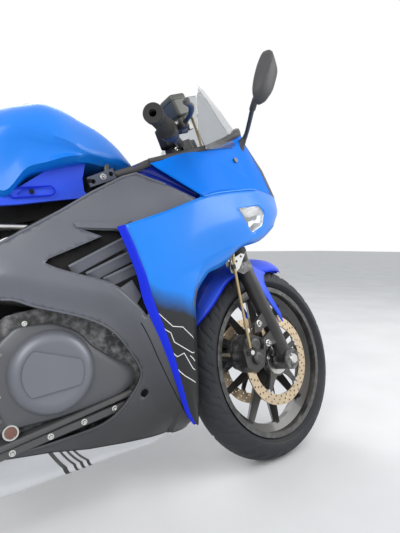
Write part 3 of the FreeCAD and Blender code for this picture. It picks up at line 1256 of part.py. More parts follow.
keep(worked("stand_leg", side_stand()), "side_stand", bike)
stand_plate = prism("stand_plate", [(-905, 360), (-860, 360), (-845, 262), (-850, 250), (-874, 250), (-900, 300)],
                    "arm_inner + arm_thick + plate_gap + plate_thick",
                    "arm_inner + arm_thick + plate_gap + plate_thick + 10")
keep(fused("stand_bracket_form", stand_plate,
           bar("stand_ear", 17, 22, tuple(STAND_PIVOT - STAND_AXIS * (29 + GAP)), STAND_AXIS),
           bar("stand_pin", STAND_PIN, 30, tuple(STAND_PIVOT - STAND_AXIS * 22), STAND_AXIS),
           bar("stand_pin_head", 9, 5, tuple(STAND_PIVOT + STAND_AXIS * (7 + GAP)), STAND_AXIS)),
     "stand_bracket", bike)

doc.recompute()
bad = [o.Name for o in doc.Objects if "Invalid" in o.State or "Error" in o.State]
bad += [o.Label for o in nodes if o.Shape.isNull() or not o.Shape.isValid() or not o.Shape.Solids]
if bad:
    raise SystemExit("not built: " + ", ".join(bad))
for node in nodes:
    node.Shape.exportStep("parts/" + node.Label + ".step")
box = Part.makeCompound([node.Shape for node in nodes]).BoundBox
print("pieces", len(nodes), "box", [round(v, 1) for v in (
    box.XMin, box.XMax, box.YMin, box.YMax, box.ZMin, box.ZMax)], "level", round(level, 4))
for name, route, radius in (("brake hose", HOSE_ROUTE, size("hose_radius")), ("exhaust pipe", PIPE_ROUTE, 19.0)):
    print(name, "radii", [round(bend[4]) for bend in bends(route)],
          "runs", [round((b - a).Length) for a, b in zip(route, route[1:])])
run = Part.makeCompound([Part.makePolygon(HOSE_ROUTE)]).Length
print("hose volume", round(hose.Shape.Volume), "section times polygon", round(
    math.pi * size("hose_radius") ** 2 * run), "polygon", round(run))
for name, place, centre, axis in (
        ("steering", steered, Vector(-OFFSET, 0, size("upper_clamp_at")), UP),
        ("front_wheel", steered, Vector(), LEFT), ("rear_wheel", bike, REAR_AXLE, LEFT),
        ("side_stand", bike, STAND_PIVOT, STAND_AXIS),
        ("bar_end_right", steered, BAR_END, BAR_WAY),
        ("bar_end_left", steered, Vector(BAR_END.x, -BAR_END.y, BAR_END.z),
         Vector(BAR_WAY.x, -BAR_WAY.y, BAR_WAY.z)),
        ("spool_right", bike, Vector(REAR_AXLE.x + 55, -size("arm_inner + arm_thick"), REAR_AXLE.z + 2), -LEFT),
        ("spool_left", bike, Vector(REAR_AXLE.x + 55, size("arm_inner + arm_thick"), REAR_AXLE.z + 2), LEFT)):
    at, way = place.multVec(centre), place.Rotation.multVec(axis)
    print(name, *("%.4f" % v for v in (at.x, at.y, at.z, way.x, way.y, way.z)))
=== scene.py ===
"""Looks for a fully faired sport motorcycle that leans on its side stand.

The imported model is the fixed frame. Each class builds one sub-assembly on it, in millimetres of the
upright machine (x forward from the front axle, y to the left, z up from the ground) or of its fork
(origin at the front axle, z up the fork), and hands its pieces to a body of the frame.
"""
from __future__ import annotations

import logging
import math
from collections.abc import Callable, Iterable, Sequence
from dataclasses import dataclass, field
from enum import Enum

import bmesh
import bpy
import numpy as np
from mathutils import Matrix, Vector
from mathutils.geometry import delaunay_2d_cdt


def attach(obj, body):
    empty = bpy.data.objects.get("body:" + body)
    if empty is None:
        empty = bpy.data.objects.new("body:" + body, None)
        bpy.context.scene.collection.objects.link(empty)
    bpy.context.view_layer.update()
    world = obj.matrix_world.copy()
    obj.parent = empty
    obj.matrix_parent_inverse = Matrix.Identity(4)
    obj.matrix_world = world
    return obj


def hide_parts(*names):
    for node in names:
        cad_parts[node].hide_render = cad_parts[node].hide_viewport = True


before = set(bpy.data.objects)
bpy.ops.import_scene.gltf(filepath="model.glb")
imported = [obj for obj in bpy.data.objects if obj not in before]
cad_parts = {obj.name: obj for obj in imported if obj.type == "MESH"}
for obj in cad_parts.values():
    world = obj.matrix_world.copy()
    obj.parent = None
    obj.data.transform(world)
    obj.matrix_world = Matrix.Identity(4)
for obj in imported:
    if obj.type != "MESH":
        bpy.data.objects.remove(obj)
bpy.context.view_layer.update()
log = logging.getLogger("motorcycle")

MM = 0.001
Point = tuple[float, float, float]
Flat = tuple[float, float]


# Stance


@dataclass(frozen=True)
class Stance:
    """How the machine stands: the lean on its stand and the turned fork."""

    lean: float = 9.0
    pitch: float = 0.1212
    rake: float = 24.5
    steer: float = 13.0
    front_radius: float = 293.0
    rear_radius: float = 314.0
    rear_crown: float = 71.0
    wheelbase: float = 1360.0
    offset: float = 35.0
    middle_x: float = -731.6
    middle_y: float = 98.4

    def bike(self) -> Matrix:
        """Upright machine to row frame, in millimetres.

        Returns:
            The placement, with the rear wheel's lowest point on the floor.
        """
        leaned = Matrix.Rotation(math.radians(-self.lean), 4, "X") @ Matrix.Rotation(
            math.radians(self.pitch), 4, "Y")
        axle = leaned @ self.rear_axle()
        across = leaned.to_3x3() @ Vector((0, 1, 0))
        reach = (self.rear_radius - self.rear_crown) * math.sqrt(1 - across.z ** 2)
        low = axle.z - reach - self.rear_crown
        return Matrix.Translation((-self.middle_x, -self.middle_y, -low)) @ leaned

    def rear_axle(self) -> Vector:
        """Rear axle in the upright machine."""
        return Vector((-self.wheelbase, 0, self.rear_radius))

    def fork(self) -> Matrix:
        """Straight fork to upright machine, in millimetres."""
        return Matrix.Translation((0, 0, self.front_radius)) @ Matrix.Rotation(
            math.radians(-self.rake), 4, "Y")

    def steered(self) -> Matrix:
        """Turned fork to row frame, in millimetres.

        Returns:
            The placement of the turned fork.
        """
        pin = Matrix.Translation((-self.offset, 0, 0))
        turned = pin @ Matrix.Rotation(math.radians(self.steer), 4, "Z") @ pin.inverted()
        return self.bike() @ self.fork() @ turned


STANCE = Stance()
BIKE = STANCE.bike()
STEERED = STANCE.steered()
REAR_WHEEL = BIKE @ Matrix.Translation(STANCE.rear_axle())


def metres(place: Matrix) -> Matrix:
    """The same placement for meshes in metres.

    Args:
        place: placement in millimetres.

    Returns:
        The placement with its shift in metres.
    """
    moved = place.copy()
    moved.translation = place.translation * MM
    return moved


class Seat(Enum):
    """Body that a piece rides, and the placement its points are written in."""

    CHASSIS = ("chassis", "bike")
    STEERING = ("steering", "steered")
    FRONT_WHEEL = ("front_wheel", "steered")
    REAR_WHEEL = ("rear_wheel", "rear")
    STAND = ("side_stand", "bike")

    @property
    def body(self) -> str:
        """Name of the body in the frame."""
        return self.value[0]

    @property
    def place(self) -> Matrix:
        """Placement in metres."""
        return metres({"bike": BIKE, "steered": STEERED, "rear": REAR_WHEEL}[self.value[1]])


# Shapes


class Shape:
    """Points in millimetres and the faces between them, before they become a mesh."""

    def __init__(self, points: Iterable[Sequence[float]] = (), faces: Iterable[Sequence[int]] = ()) -> None:
        """Keeps points and faces.

        Args:
            points: corner points in millimetres.
            faces: corner numbers of each face.
        """
        self.points = [Vector(p) for p in points]
        self.faces = [tuple(f) for f in faces]

    def add(self, *others: "Shape") -> "Shape":
        """This shape with others beside it.

        Args:
            *others: shapes to append.

        Returns:
            This shape.
        """
        for other in others:
            start = len(self.points)
            self.points += [p.copy() for p in other.points]
            self.faces += [tuple(i + start for i in f) for f in other.faces]
        return self

    def moved(self, place: Matrix) -> "Shape":
        """A copy in another place."""
        return Shape([place @ p for p in self.points], self.faces)

    def mirrored(self) -> "Shape":
        """A copy for the machine's other side."""
        return Shape([(p.x, -p.y, p.z) for p in self.points], [f[::-1] for f in self.faces])

    def both(self) -> "Shape":
        """This shape and its mirror image."""
        return Shape(self.points, self.faces).add(self.mirrored())


def ring_loft(rings: Sequence[Sequence[Sequence[float]]], closed: bool = True, capped: bool = True) -> Shape:
    """Skin through rings with the same number of points.

    Args:
        rings: rows of points.
        closed: whether each row joins its own ends.
        capped: whether the first and last rings are filled.

    Returns:
        The skin.
    """
    count = len(rings[0])
    shape = Shape([p for ring in rings for p in ring])
    last = count if closed else count - 1
    for row in range(len(rings) - 1):
        for i in range(last):
            j = (i + 1) % count
            a, b = row * count, (row + 1) * count
            shape.faces.append((a + i, a + j, b + j, b + i))
    if capped and closed:
        shape.faces.append(tuple(reversed(range(count))))
        shape.faces.append(tuple(range((len(rings) - 1) * count, len(rings) * count)))
    return shape


def loop_loft(rings: Sequence[Sequence[Sequence[float]]]) -> Shape:
    """Skin through rings whose last one joins the first.

    Args:
        rings: rows of points.

    Returns:
        The skin.
    """
    shape = ring_loft([*rings, rings[0]], capped=False)
    keep = len(rings) * len(rings[0])
    shape.faces = [tuple(i % keep for i in f) for f in shape.faces]
    shape.points = shape.points[:keep]
    return shape


def turned(profile: Sequence[Flat], steps: int = 72, arc: float = 360.0, start: float = 0.0) -> Shape:
    """Closed profile of (radius, y) points turned about the y axis.

    Args:
        profile: the closed outline.
        steps: number of steps round the axis.
        arc: degrees turned.
        start: degrees from +x towards +z where it begins.

    Returns:
        The turned solid.
    """
    whole = arc >= 360.0
    count = steps if whole else steps + 1
    rings = []
    for k in range(count):
        at = math.radians(start + arc * k / steps)
        rings.append([(r * math.cos(at), y, r * math.sin(at)) for r, y in profile])
    return loop_loft(rings) if whole else ring_loft(rings)


def frame_of(way: Vector, up: Vector = Vector((0, 0, 1))) -> tuple[Vector, Vector]:
    """Two directions across a way."""
    side = way.cross(up if abs(way.normalized().dot(up)) < 0.95 else Vector((1, 0, 0))).normalized()
    return side, side.cross(way).normalized()


def pipe(path: Sequence[Sequence[float]], radius: float | Sequence[float], sides: int = 16,
         flat: float = 1.0) -> Shape:
    """Round bar along a path.

    Args:
        path: points along its middle.
        radius: one radius, or one for each point.
        sides: number of sides.
        flat: height of the section as a share of its width.

    Returns:
        The bar with filled ends.
    """
    points = [Vector(p) for p in path]
    radii = [radius] * len(points) if isinstance(radius, (int, float)) else list(radius)
    rings, side = [], None
    for k, at in enumerate(points):
        way = (points[min(k + 1, len(points) - 1)] - points[max(k - 1, 0)]).normalized()
        if side is None:
            side, up = frame_of(way)
        else:
            side = (side - way * side.dot(way)).normalized()
            up = side.cross(way).normalized()
        rings.append([at + (side * math.cos(t) + up * math.sin(t) * flat) * radii[k]
                      for t in (2 * math.pi * i / sides for i in range(sides))])
    return ring_loft(rings)


def disc(at: Sequence[float], way: Sequence[float], steps: Sequence[Flat], sides: int = 24) -> Shape:
    """Turned boss standing on a point.

    Args:
        at: the middle of its base.
        way: the direction it stands in.
        steps: (distance along the way, radius) pairs.
        sides: number of sides.

    Returns:
        The boss.
    """
    base, along = Vector(at), Vector(way).normalized()
    side, up = frame_of(along)
    return ring_loft([[base + along * d + (side * math.cos(t) + up * math.sin(t)) * r
                       for t in (2 * math.pi * i / sides for i in range(sides))] for d, r in steps])


def bolt(at: Sequence[float], way: Sequence[float], radius: float = 4.5, height: float = 4.0) -> Shape:
    """Button-head screw with a hexagon socket.

    Args:
        at: centre of the head's foot.
        way: direction that the head faces.
        radius: radius of the head.
        height: height of the head.

    Returns:
        The closed shape.
    """
    base, along = Vector(at), Vector(way).normalized()
    side, up = frame_of(along)

    def ring(d: float, r: float, sides: int = 24, sharp: int = 0) -> list[Vector]:
        """One ring of the head.

        Args:
            d: height above the foot.
            r: radius.
            sides: points round it.
            sharp: 0 for a round ring, else a hexagon.

        Returns:
            The ring's points.
        """
        found = []
        for i in range(sides):
            t = 2 * math.pi * i / sides
            reach = r if not sharp else r / math.cos((t % (math.pi / 3)) - math.pi / 6)
            found.append(base + along * d + (side * math.cos(t) + up * math.sin(t)) * reach)
        return found
    return ring_loft([ring(-1.5, radius * 1.5), ring(0.6, radius * 1.5), ring(0.6, radius),
                      ring(height * 0.6, radius), ring(height, radius * 0.72), ring(height, radius * 0.5,
                                                                                    sharp=6),
                      ring(height * 0.3, radius * 0.5, sharp=6)])


def plate(outline: Sequence[Flat], y_from: float, y_to: float) -> Shape:
    """Flat plate between two y planes with an outline of (x, z) points."""
    return ring_loft([[(x, y, z) for x, z in outline] for y in (y_from, y_to)])


def block(low: Point, high: Point) -> Shape:
    """Box between opposite corners."""
    return plate([(low[0], low[2]), (high[0], low[2]), (high[0], high[2]), (low[0], high[2])], low[1],
                 high[1])


def round_path(points: Sequence[Sequence[float]], per: int = 8) -> list[Vector]:
    """Smooth path through points.

    Args:
        points: points to pass through.
        per: steps between two points.

    Returns:
        Points of the path.
    """
    knots = [Vector(p) for p in points]
    found = []
    for i in range(len(knots) - 1):
        a, b = knots[max(i - 1, 0)], knots[i]
        c, d = knots[i + 1], knots[min(i + 2, len(knots) - 1)]
        for k in range(per):
            t = k / per
            found.append(0.5 * (2 * b + (c - a) * t + (2 * a - 5 * b + 4 * c - d) * t ** 2
                                + (3 * b - a - 3 * c + d) * t ** 3))
    return found + [knots[-1]]


def close_path(points: Sequence[Flat], per: int = 6) -> list[Flat]:
    """Smooth closed outline through flat points.

    Args:
        points: points to pass through.
        per: steps between two points.

    Returns:
        Points of the outline.
    """
    count, found = len(points), []
    for i in range(count):
        a, b, c, d = (Vector(points[(i + k) % count]) for k in (-1, 0, 1, 2))
        for k in range(per):
            t = k / per
            p = 0.5 * (2 * b + (c - a) * t + (2 * a - 5 * b + 4 * c - d) * t ** 2
                       + (3 * b - a - 3 * c + d) * t ** 3)
            found.append((p.x, p.y))
    return found


def centre_of(ring: Sequence[Flat]) -> Vector:
    """Mean of a ring's flat points."""
    return Vector((sum(p[0] for p in ring) / len(ring), sum(p[1] for p in ring) / len(ring)))


def rounded(points: Sequence[Flat], radius: float, steps: int = 5) -> list[Flat]:
    """Closed outline with its corners rounded off.

    Args:
        points: corners of the outline.
        radius: radius of the rounding.
        steps: steps round one corner.

    Returns:
        Points of the outline.
    """
    found, count = [], len(points)
    for i in range(count):
        a, b, c = (Vector(points[(i + k) % count]) for k in (-1, 0, 1))
        cut = min(radius, 0.45 * (a - b).length, 0.45 * (c - b).length)
        start, end = b + (a - b).normalized() * cut, b + (c - b).normalized() * cut
        for k in range(steps + 1):
            t = k / steps
            p = start * (1 - t) ** 2 + b * 2 * t * (1 - t) + end * t ** 2
            found.append((p.x, p.y))
    return found


def weights(count: int, creases: dict[int, float]) -> list[float]:
    """Crease weight of each row of a net."""
    return [creases.get(i, 0.0) for i in range(count)]


def hermite(knots: np.ndarray, gaps: np.ndarray, crease: Sequence[float], at: float) -> np.ndarray:
    """Smooth curve through knots at one place, with corners where crease is 1.

    Args:
        knots: the points.
        gaps: the length given to each stretch between two points.
        crease: corner weight at each point.
        at: place along the points, counted in points.

    Returns:
        The curve's point.
    """
    last = len(knots) - 1
    i = min(max(int(at), 0), last - 1)
    t = at - i
    step = knots[i + 1] - knots[i]

    def slope(k: int, one_sided: np.ndarray) -> np.ndarray:
        """Slope at a knot, which a crease turns towards the one-sided slope.

        Args:
            k: index of the knot.
            one_sided: slope of the span alone.

        Returns:
            The slope.
        """
        if k == 0 or k == last:
            return one_sided
        before, after = knots[k] - knots[k - 1], knots[k + 1] - knots[k]
        smooth = (before / gaps[k - 1] * gaps[k] + after / gaps[k] * gaps[k - 1]) / (gaps[k - 1] + gaps[k])
        return (1 - crease[k]) * smooth * gaps[i] + crease[k] * one_sided
    m0, m1 = slope(i, step), slope(i + 1, step)
    t2, t3 = t * t, t * t * t
    return ((2 * t3 - 3 * t2 + 1) * knots[i] + (t3 - 2 * t2 + t) * m0
            + (3 * t2 - 2 * t3) * knots[i + 1] + (t3 - t2) * m1)


class Net:
    """Smooth surface through rows of points, with creases along chosen rows and columns."""

    def __init__(self, rows: Sequence[Sequence[Point]], row_creases: dict[int, float] | None = None,
                 column_creases: dict[int, float] | None = None) -> None:
        """Keeps the points.

        Args:
            rows: rows of points, all as long.
            row_creases: corner weights by row number.
            column_creases: corner weights by column number.
        """
        self.grid = np.array(rows, float)
        self.rows, self.columns = self.grid.shape[:2]
        self.row_crease = weights(self.rows, row_creases or {})
        self.column_crease = weights(self.columns, column_creases or {})
        self.row_gaps = np.linalg.norm(np.diff(self.grid, axis=0), axis=2).mean(1) + 1e-6
        self.column_gaps = np.linalg.norm(np.diff(self.grid, axis=1), axis=2).mean(0) + 1e-6

    def at(self, u: float, v: float) -> Vector:
        """Point at column place u and row place v."""
        line = np.array([hermite(row, self.column_gaps, self.column_crease, u) for row in self.grid])
        return Vector(hermite(line, self.row_gaps, self.row_crease, v))

    def normal(self, u: float, v: float) -> Vector:
        """Unit normal, away from the machine's middle plane.

        Args:
            u: place in columns.
            v: place in rows.

        Returns:
            The normal.
        """
        e = 0.02
        u0, u1 = max(u - e, 0), min(u + e, self.columns - 1)
        v0, v1 = max(v - e, 0), min(v + e, self.rows - 1)
        found = (self.at(u1, v) - self.at(u0, v)).cross(self.at(u, v1) - self.at(u, v0)).normalized()
        return found if found.y <= 0 else -found

    def steps(self, spacing: float) -> tuple[list[float], list[float]]:
        """Column and row places about one spacing apart.

        Args:
            spacing: wanted distance in millimetres.

        Returns:
            The column places and the row places.
        """
        def places(gaps: np.ndarray) -> list[float]:
            """Places along one way of the net.

            Args:
                gaps: length of each span.

            Returns:
                Places counted in spans.
            """
            found = []
            for i, gap in enumerate(gaps):
                count = max(2, int(round(gap / spacing)))
                found += [i + k / count for k in range(count)]
            return found + [float(len(gaps))]
        return places(self.column_gaps), places(self.row_gaps)

    def sheet(self, spacing: float = 9.0, holes: Sequence[Sequence[Flat]] = ()) -> Shape:
        """The surface as faces.

        Args:
            spacing: about the size of a face.
            holes: outlines in (u, v) that stay open.

        Returns:
            The open sheet.
        """
        us, vs = self.steps(spacing)
        if not holes:
            return ring_loft([[self.at(u, v) for u in us] for v in vs], closed=False)
        flat, faces = region([(u, 0.0) for u in us] + [(us[-1], v) for v in vs[1:]]
                             + [(u, vs[-1]) for u in us[::-1][1:]] + [(us[0], v) for v in vs[::-1][1:-1]],
                             [(u, v) for u in us[1:-1] for v in vs[1:-1]], holes)
        return Shape([self.at(u, v) for u, v in flat], faces)

    def find(self, x: float, z: float) -> Flat:
        """The (u, v) whose point lies at x and z in the side view.

        Args:
            x: place along the machine.
            z: height.

        Returns:
            The place in columns and rows.
        """
        if not hasattr(self, "samples"):
            us = np.linspace(0, self.columns - 1, 90)
            vs = np.linspace(0, self.rows - 1, 90)
            self.samples = [(u, v, self.at(u, v)) for u in us for v in vs]
        u, v, _ = min(self.samples, key=lambda s: (s[2].x - x) ** 2 + (s[2].z - z) ** 2)
        for _ in range(6):
            p, e = self.at(u, v), 1e-3
            du, dv = (self.at(u + e, v) - p) / e, (self.at(u, v + e) - p) / e
            det = du.x * dv.z - dv.x * du.z
            if abs(det) < 1e-9:
                break
            ex, ez = x - p.x, z - p.z
            u = min(max(u + (ex * dv.z - ez * dv.x) / det, 0), self.columns - 1)
            v = min(max(v + (du.x * ez - du.z * ex) / det, 0), self.rows - 1)
        return u, v


def inside(point: Flat, outline: Sequence[Flat]) -> bool:
    """Whether a flat point lies inside a closed outline.

    Args:
        point: the point.
        outline: points of the outline.

    Returns:
        True where the point lies inside.
    """
    x, y = point
    found = False
    for (x0, y0), (x1, y1) in zip(outline, list(outline[1:]) + [outline[0]]):
        if (y0 > y) != (y1 > y) and x < (x1 - x0) * (y - y0) / (y1 - y0) + x0:
            found = not found
    return found


def region(outline: Sequence[Flat], grid: Sequence[Flat], holes: Sequence[Sequence[Flat]] = (),
           lines: Sequence[Sequence[Flat]] = ()) -> tuple[list[Flat], list[tuple[int, ...]]]:
    """Triangles that fill an outline, less its holes.

    Args:
        outline: closed outline.
        grid: points to use where they fall inside.
        holes: closed outlines that stay open.
        lines: open lines that edges have to follow.

    Returns:
        The flat points and the faces.
    """
    points, edges = [], []
    for loop in [outline, *holes]:
        start = len(points)
        points += [Vector(p) for p in loop]
        edges += [(start + i, start + (i + 1) % len(loop)) for i in range(len(loop))]
    for line in lines:
        start = len(points)
        points += [Vector(p) for p in line]
        edges += [(start + i, start + i + 1) for i in range(len(line) - 1)]
    fixed = np.array([p[:] for p in points])
    spans = np.linalg.norm(np.diff(np.array(outline + [outline[0]] if isinstance(outline, list) else
                                            list(outline) + [outline[0]]), axis=0), axis=1)
    near = 0.4 * float(np.median(spans))
    for p in grid:
        if inside(p, outline) and not any(inside(p, hole) for hole in holes):
            if np.abs(fixed - np.array(p)).sum(1).min() > near:
                points.append(Vector(p))
    found = delaunay_2d_cdt(points, edges, [], 0, 1e-7)
    flat, faces = [(p.x, p.y) for p in found[0]], []
    for face in found[2]:
        middle = (sum(flat[i][0] for i in face) / len(face), sum(flat[i][1] for i in face) / len(face))
        if inside(middle, outline) and not any(inside(middle, hole) for hole in holes):
            faces.append(tuple(face))
    return flat, faces


def divide(line: Sequence[Flat], spacing: float, closed: bool = False) -> list[Flat]:
    """Points about one spacing apart along a flat line.

    Args:
        line: points of the line.
        spacing: wanted distance.
        closed: whether the last point joins the first.

    Returns:
        The points.
    """
    ends = list(zip(line, list(line[1:]) + ([line[0]] if closed else [])))
    found = []
    for a, b in ends:
        count = max(1, int(round(math.dist(a, b) / spacing)))
        found += [(a[0] + (b[0] - a[0]) * k / count, a[1] + (b[1] - a[1]) * k / count) for k in range(count)]
    return found if closed else found + [tuple(line[-1])]


def line_distance(point: Flat, line: Sequence[Flat]) -> tuple[float, float]:
    """Distance from a flat point to a line, and on which side it lies.

    Args:
        point: the point.
        line: points of the line.

    Returns:
        The distance, and 1 or -1 for the side.
    """
    best, side = 1e9, 1.0
    p = Vector(point)
    for a, b in zip(line, line[1:]):
        start, way = Vector(a), Vector(b) - Vector(a)
        t = min(max((p - start).dot(way) / way.length_squared, 0), 1)
        away = p - (start + way * t)
        if away.length < best:
            best, side = away.length, 1.0 if way.x * away.y - way.y * away.x >= 0 else -1.0
    return best, side


class Field:
    """Side panel surface: its half width over the side view, smooth through scattered points."""

    def __init__(self, knots: Sequence[Point]) -> None:
        """Fits the surface.

        Args:
            knots: (x, z, half width) points.
        """
        self.knots = np.array([k[:2] for k in knots], float) / 100.0
        count = len(knots)
        grid = self._bend(np.linalg.norm(self.knots[:, None] - self.knots[None], axis=2))
        grid += np.eye(count) * 0.02
        side = np.hstack([np.ones((count, 1)), self.knots])
        full = np.block([[grid, side], [side.T, np.zeros((3, 3))]])
        self.weights = np.linalg.solve(full, np.append([k[2] for k in knots], [0, 0, 0]))

    @staticmethod
    def _bend(r: np.ndarray) -> np.ndarray:
        """Bending weight at a distance."""
        return np.where(r > 0, r ** 2 * np.log(np.maximum(r, 1e-12)), 0.0)

    def width(self, x: float, z: float) -> float:
        """Half width at one place of the side view.

        Args:
            x: place along the machine.
            z: height.

        Returns:
            Half the width.
        """
        at = np.array([x, z]) / 100.0
        bend = self._bend(np.linalg.norm(self.knots - at, axis=1))
        return float(bend @ self.weights[:-3] + self.weights[-3] + self.weights[-2:] @ at)


# Finishes


class Effects:
    """Node groups that several finishes share, each made once."""

    made: dict[str, bpy.types.NodeTree] = {}

    @classmethod
    def group(cls, name: str, inputs: dict[str, float], outputs: Sequence[str],
              build: Callable[[bpy.types.NodeTree, bpy.types.Node, bpy.types.Node],
                              None]) -> bpy.types.NodeTree:
        """The group of that name, built on first use.

        Args:
            name: the group's name.
            inputs: input names and their values.
            outputs: output names.
            build: fills the group between its input and output nodes.

        Returns:
            The node tree.
        """
        if name not in cls.made:
            tree = bpy.data.node_groups.new(name, "ShaderNodeTree")
            for label, value in inputs.items():
                tree.interface.new_socket(label, in_out="INPUT",
                                          socket_type="NodeSocketFloat").default_value = value
            for label in outputs:
                tree.interface.new_socket(label, in_out="OUTPUT", socket_type="NodeSocketFloat")
            build(tree, tree.nodes.new("NodeGroupInput"), tree.nodes.new("NodeGroupOutput"))
            cls.made[name] = tree
        return cls.made[name]

    @staticmethod
    def wire(tree: bpy.types.NodeTree, kind: str, **sockets: object) -> bpy.types.Node:
        """A node with its inputs linked or set, by socket number.

        Args:
            tree: the tree it goes into.
            kind: the node's type.
            sockets: plain settings, or i0, i1 and so on for inputs.

        Returns:
            The node.
        """
        node = tree.nodes.new(kind)
        for key, value in sockets.items():
            if key[0] == "i" and key[1:].isdigit():
                socket = node.inputs[int(key[1:])]
                if isinstance(value, bpy.types.NodeSocket):
                    tree.links.new(value, socket)
                else:
                    socket.default_value = value
            else:
                setattr(node, key, value)
        return node

    @classmethod
    def math(cls, tree: bpy.types.NodeTree, operation: str, a: object,
             b: object = 0.0) -> bpy.types.NodeSocket:
        """Result of one sum on two values."""
        return cls.wire(tree, "ShaderNodeMath", operation=operation, i0=a, i1=b).outputs[0]

    @classmethod
    def noise(cls, tree: bpy.types.NodeTree, scale: object, detail: float = 4.0) -> bpy.types.NodeSocket:
        """Noise over the piece's own space.

        Args:
            tree: tree that gets the nodes.
            scale: value or socket.
            detail: octaves of the noise.

        Returns:
            The noise's value.
        """
        place = tree.nodes.new("ShaderNodeTexCoord").outputs["Object"]
        node = cls.wire(tree, "ShaderNodeTexNoise", i0=place, i2=scale, i3=detail)
        return node.outputs[0]

    @classmethod
    def grain(cls) -> bpy.types.NodeTree:
        """Moulded or leather grain: small cells with softer noise between.

        Returns:
            The node group.
        """
        def build(tree: bpy.types.NodeTree, given: bpy.types.Node, out: bpy.types.Node) -> None:
            """Wires the nodes between the group's inputs and outputs.

            Args:
                tree: the group's node tree.
                given: its input node.
                out: its output node.
            """
            place = tree.nodes.new("ShaderNodeTexCoord").outputs["Object"]
            cells = cls.wire(tree, "ShaderNodeTexVoronoi", feature="SMOOTH_F1", i0=place, i2=given.outputs[0])
            fine = cls.noise(tree, cls.math(tree, "MULTIPLY", given.outputs[0], 0.35), 6.0)
            mixed = cls.math(tree, "ADD", cells.outputs[0], cls.math(tree, "MULTIPLY", fine,
                                                                     given.outputs[1]))
            tree.links.new(mixed, out.inputs[0])
        return cls.group("grain", {"Scale": 900.0, "Softness": 0.6}, ["Height"], build)

    @classmethod
    def wear(cls) -> bpy.types.NodeTree:
        """Rubbed edges: raised corners broken up by noise.

        Returns:
            The node group.
        """
        def build(tree: bpy.types.NodeTree, given: bpy.types.Node, out: bpy.types.Node) -> None:
            """Wires the nodes between the group's inputs and outputs.

            Args:
                tree: the group's node tree.
                given: its input node.
                out: its output node.
            """
            edge = tree.nodes.new("ShaderNodeNewGeometry").outputs["Pointiness"]
            raised = cls.wire(tree, "ShaderNodeMapRange", i0=edge, i1=0.52, i2=0.6)
            broken = cls.wire(tree, "ShaderNodeMapRange", i0=cls.noise(tree, given.outputs[1]), i1=0.42,
                              i2=0.68)
            both = cls.math(tree, "MULTIPLY", raised.outputs[0], broken.outputs[0])
            tree.links.new(cls.math(tree, "MULTIPLY", both, given.outputs[0]), out.inputs[0])
        return cls.group("edge_wear", {"Amount": 0.5, "Scale": 60.0}, ["Mask"], build)

    @classmethod
    def dust_and_sheen(cls) -> bpy.types.NodeTree:
        """Film on upward faces and in patches: dust where its colour is a dust colour, painted sheen where
        its colour is a lighter blue of the paint.

        Returns:
            The node group.
        """
        def build(tree: bpy.types.NodeTree, given: bpy.types.Node, out: bpy.types.Node) -> None:
            """Wires the nodes between the group's inputs and outputs.

            Args:
                tree: the group's node tree.
                given: its input node.
                out: its output node.
            """
            normal = tree.nodes.new("ShaderNodeNewGeometry").outputs["Normal"]
            up = cls.wire(tree, "ShaderNodeSeparateXYZ", i0=normal).outputs[2]
            lies = cls.wire(tree, "ShaderNodeMapRange", i0=up, i1=-0.4, i2=1.0, i3=0.25, i4=1.0)
            patch = cls.wire(tree, "ShaderNodeMapRange", i0=cls.noise(tree, given.outputs[1], 8.0), i1=0.35,
                             i2=0.75)
            both = cls.math(tree, "MULTIPLY", lies.outputs[0], patch.outputs[0])
            tree.links.new(cls.math(tree, "MULTIPLY", both, given.outputs[0]), out.inputs[0])
        return cls.group("dust_and_sheen_film", {"Amount": 0.15, "Scale": 9.0}, ["Mask"], build)

    @classmethod
    def mottle(cls) -> bpy.types.NodeTree:
        """Slow change of shade over a surface, about 1.

        Returns:
            The node group.
        """
        def build(tree: bpy.types.NodeTree, given: bpy.types.Node, out: bpy.types.Node) -> None:
            """Wires the nodes between the group's inputs and outputs.

            Args:
                tree: the group's node tree.
                given: its input node.
                out: its output node.
            """
            slow = cls.noise(tree, given.outputs[1], 3.0)
            spread = cls.math(tree, "MULTIPLY", cls.math(tree, "SUBTRACT", slow, 0.5), given.outputs[0])
            tree.links.new(cls.math(tree, "ADD", spread, 1.0), out.inputs[0])
        return cls.group("mottle", {"Spread": 0.2, "Scale": 6.0}, ["Shade"], build)


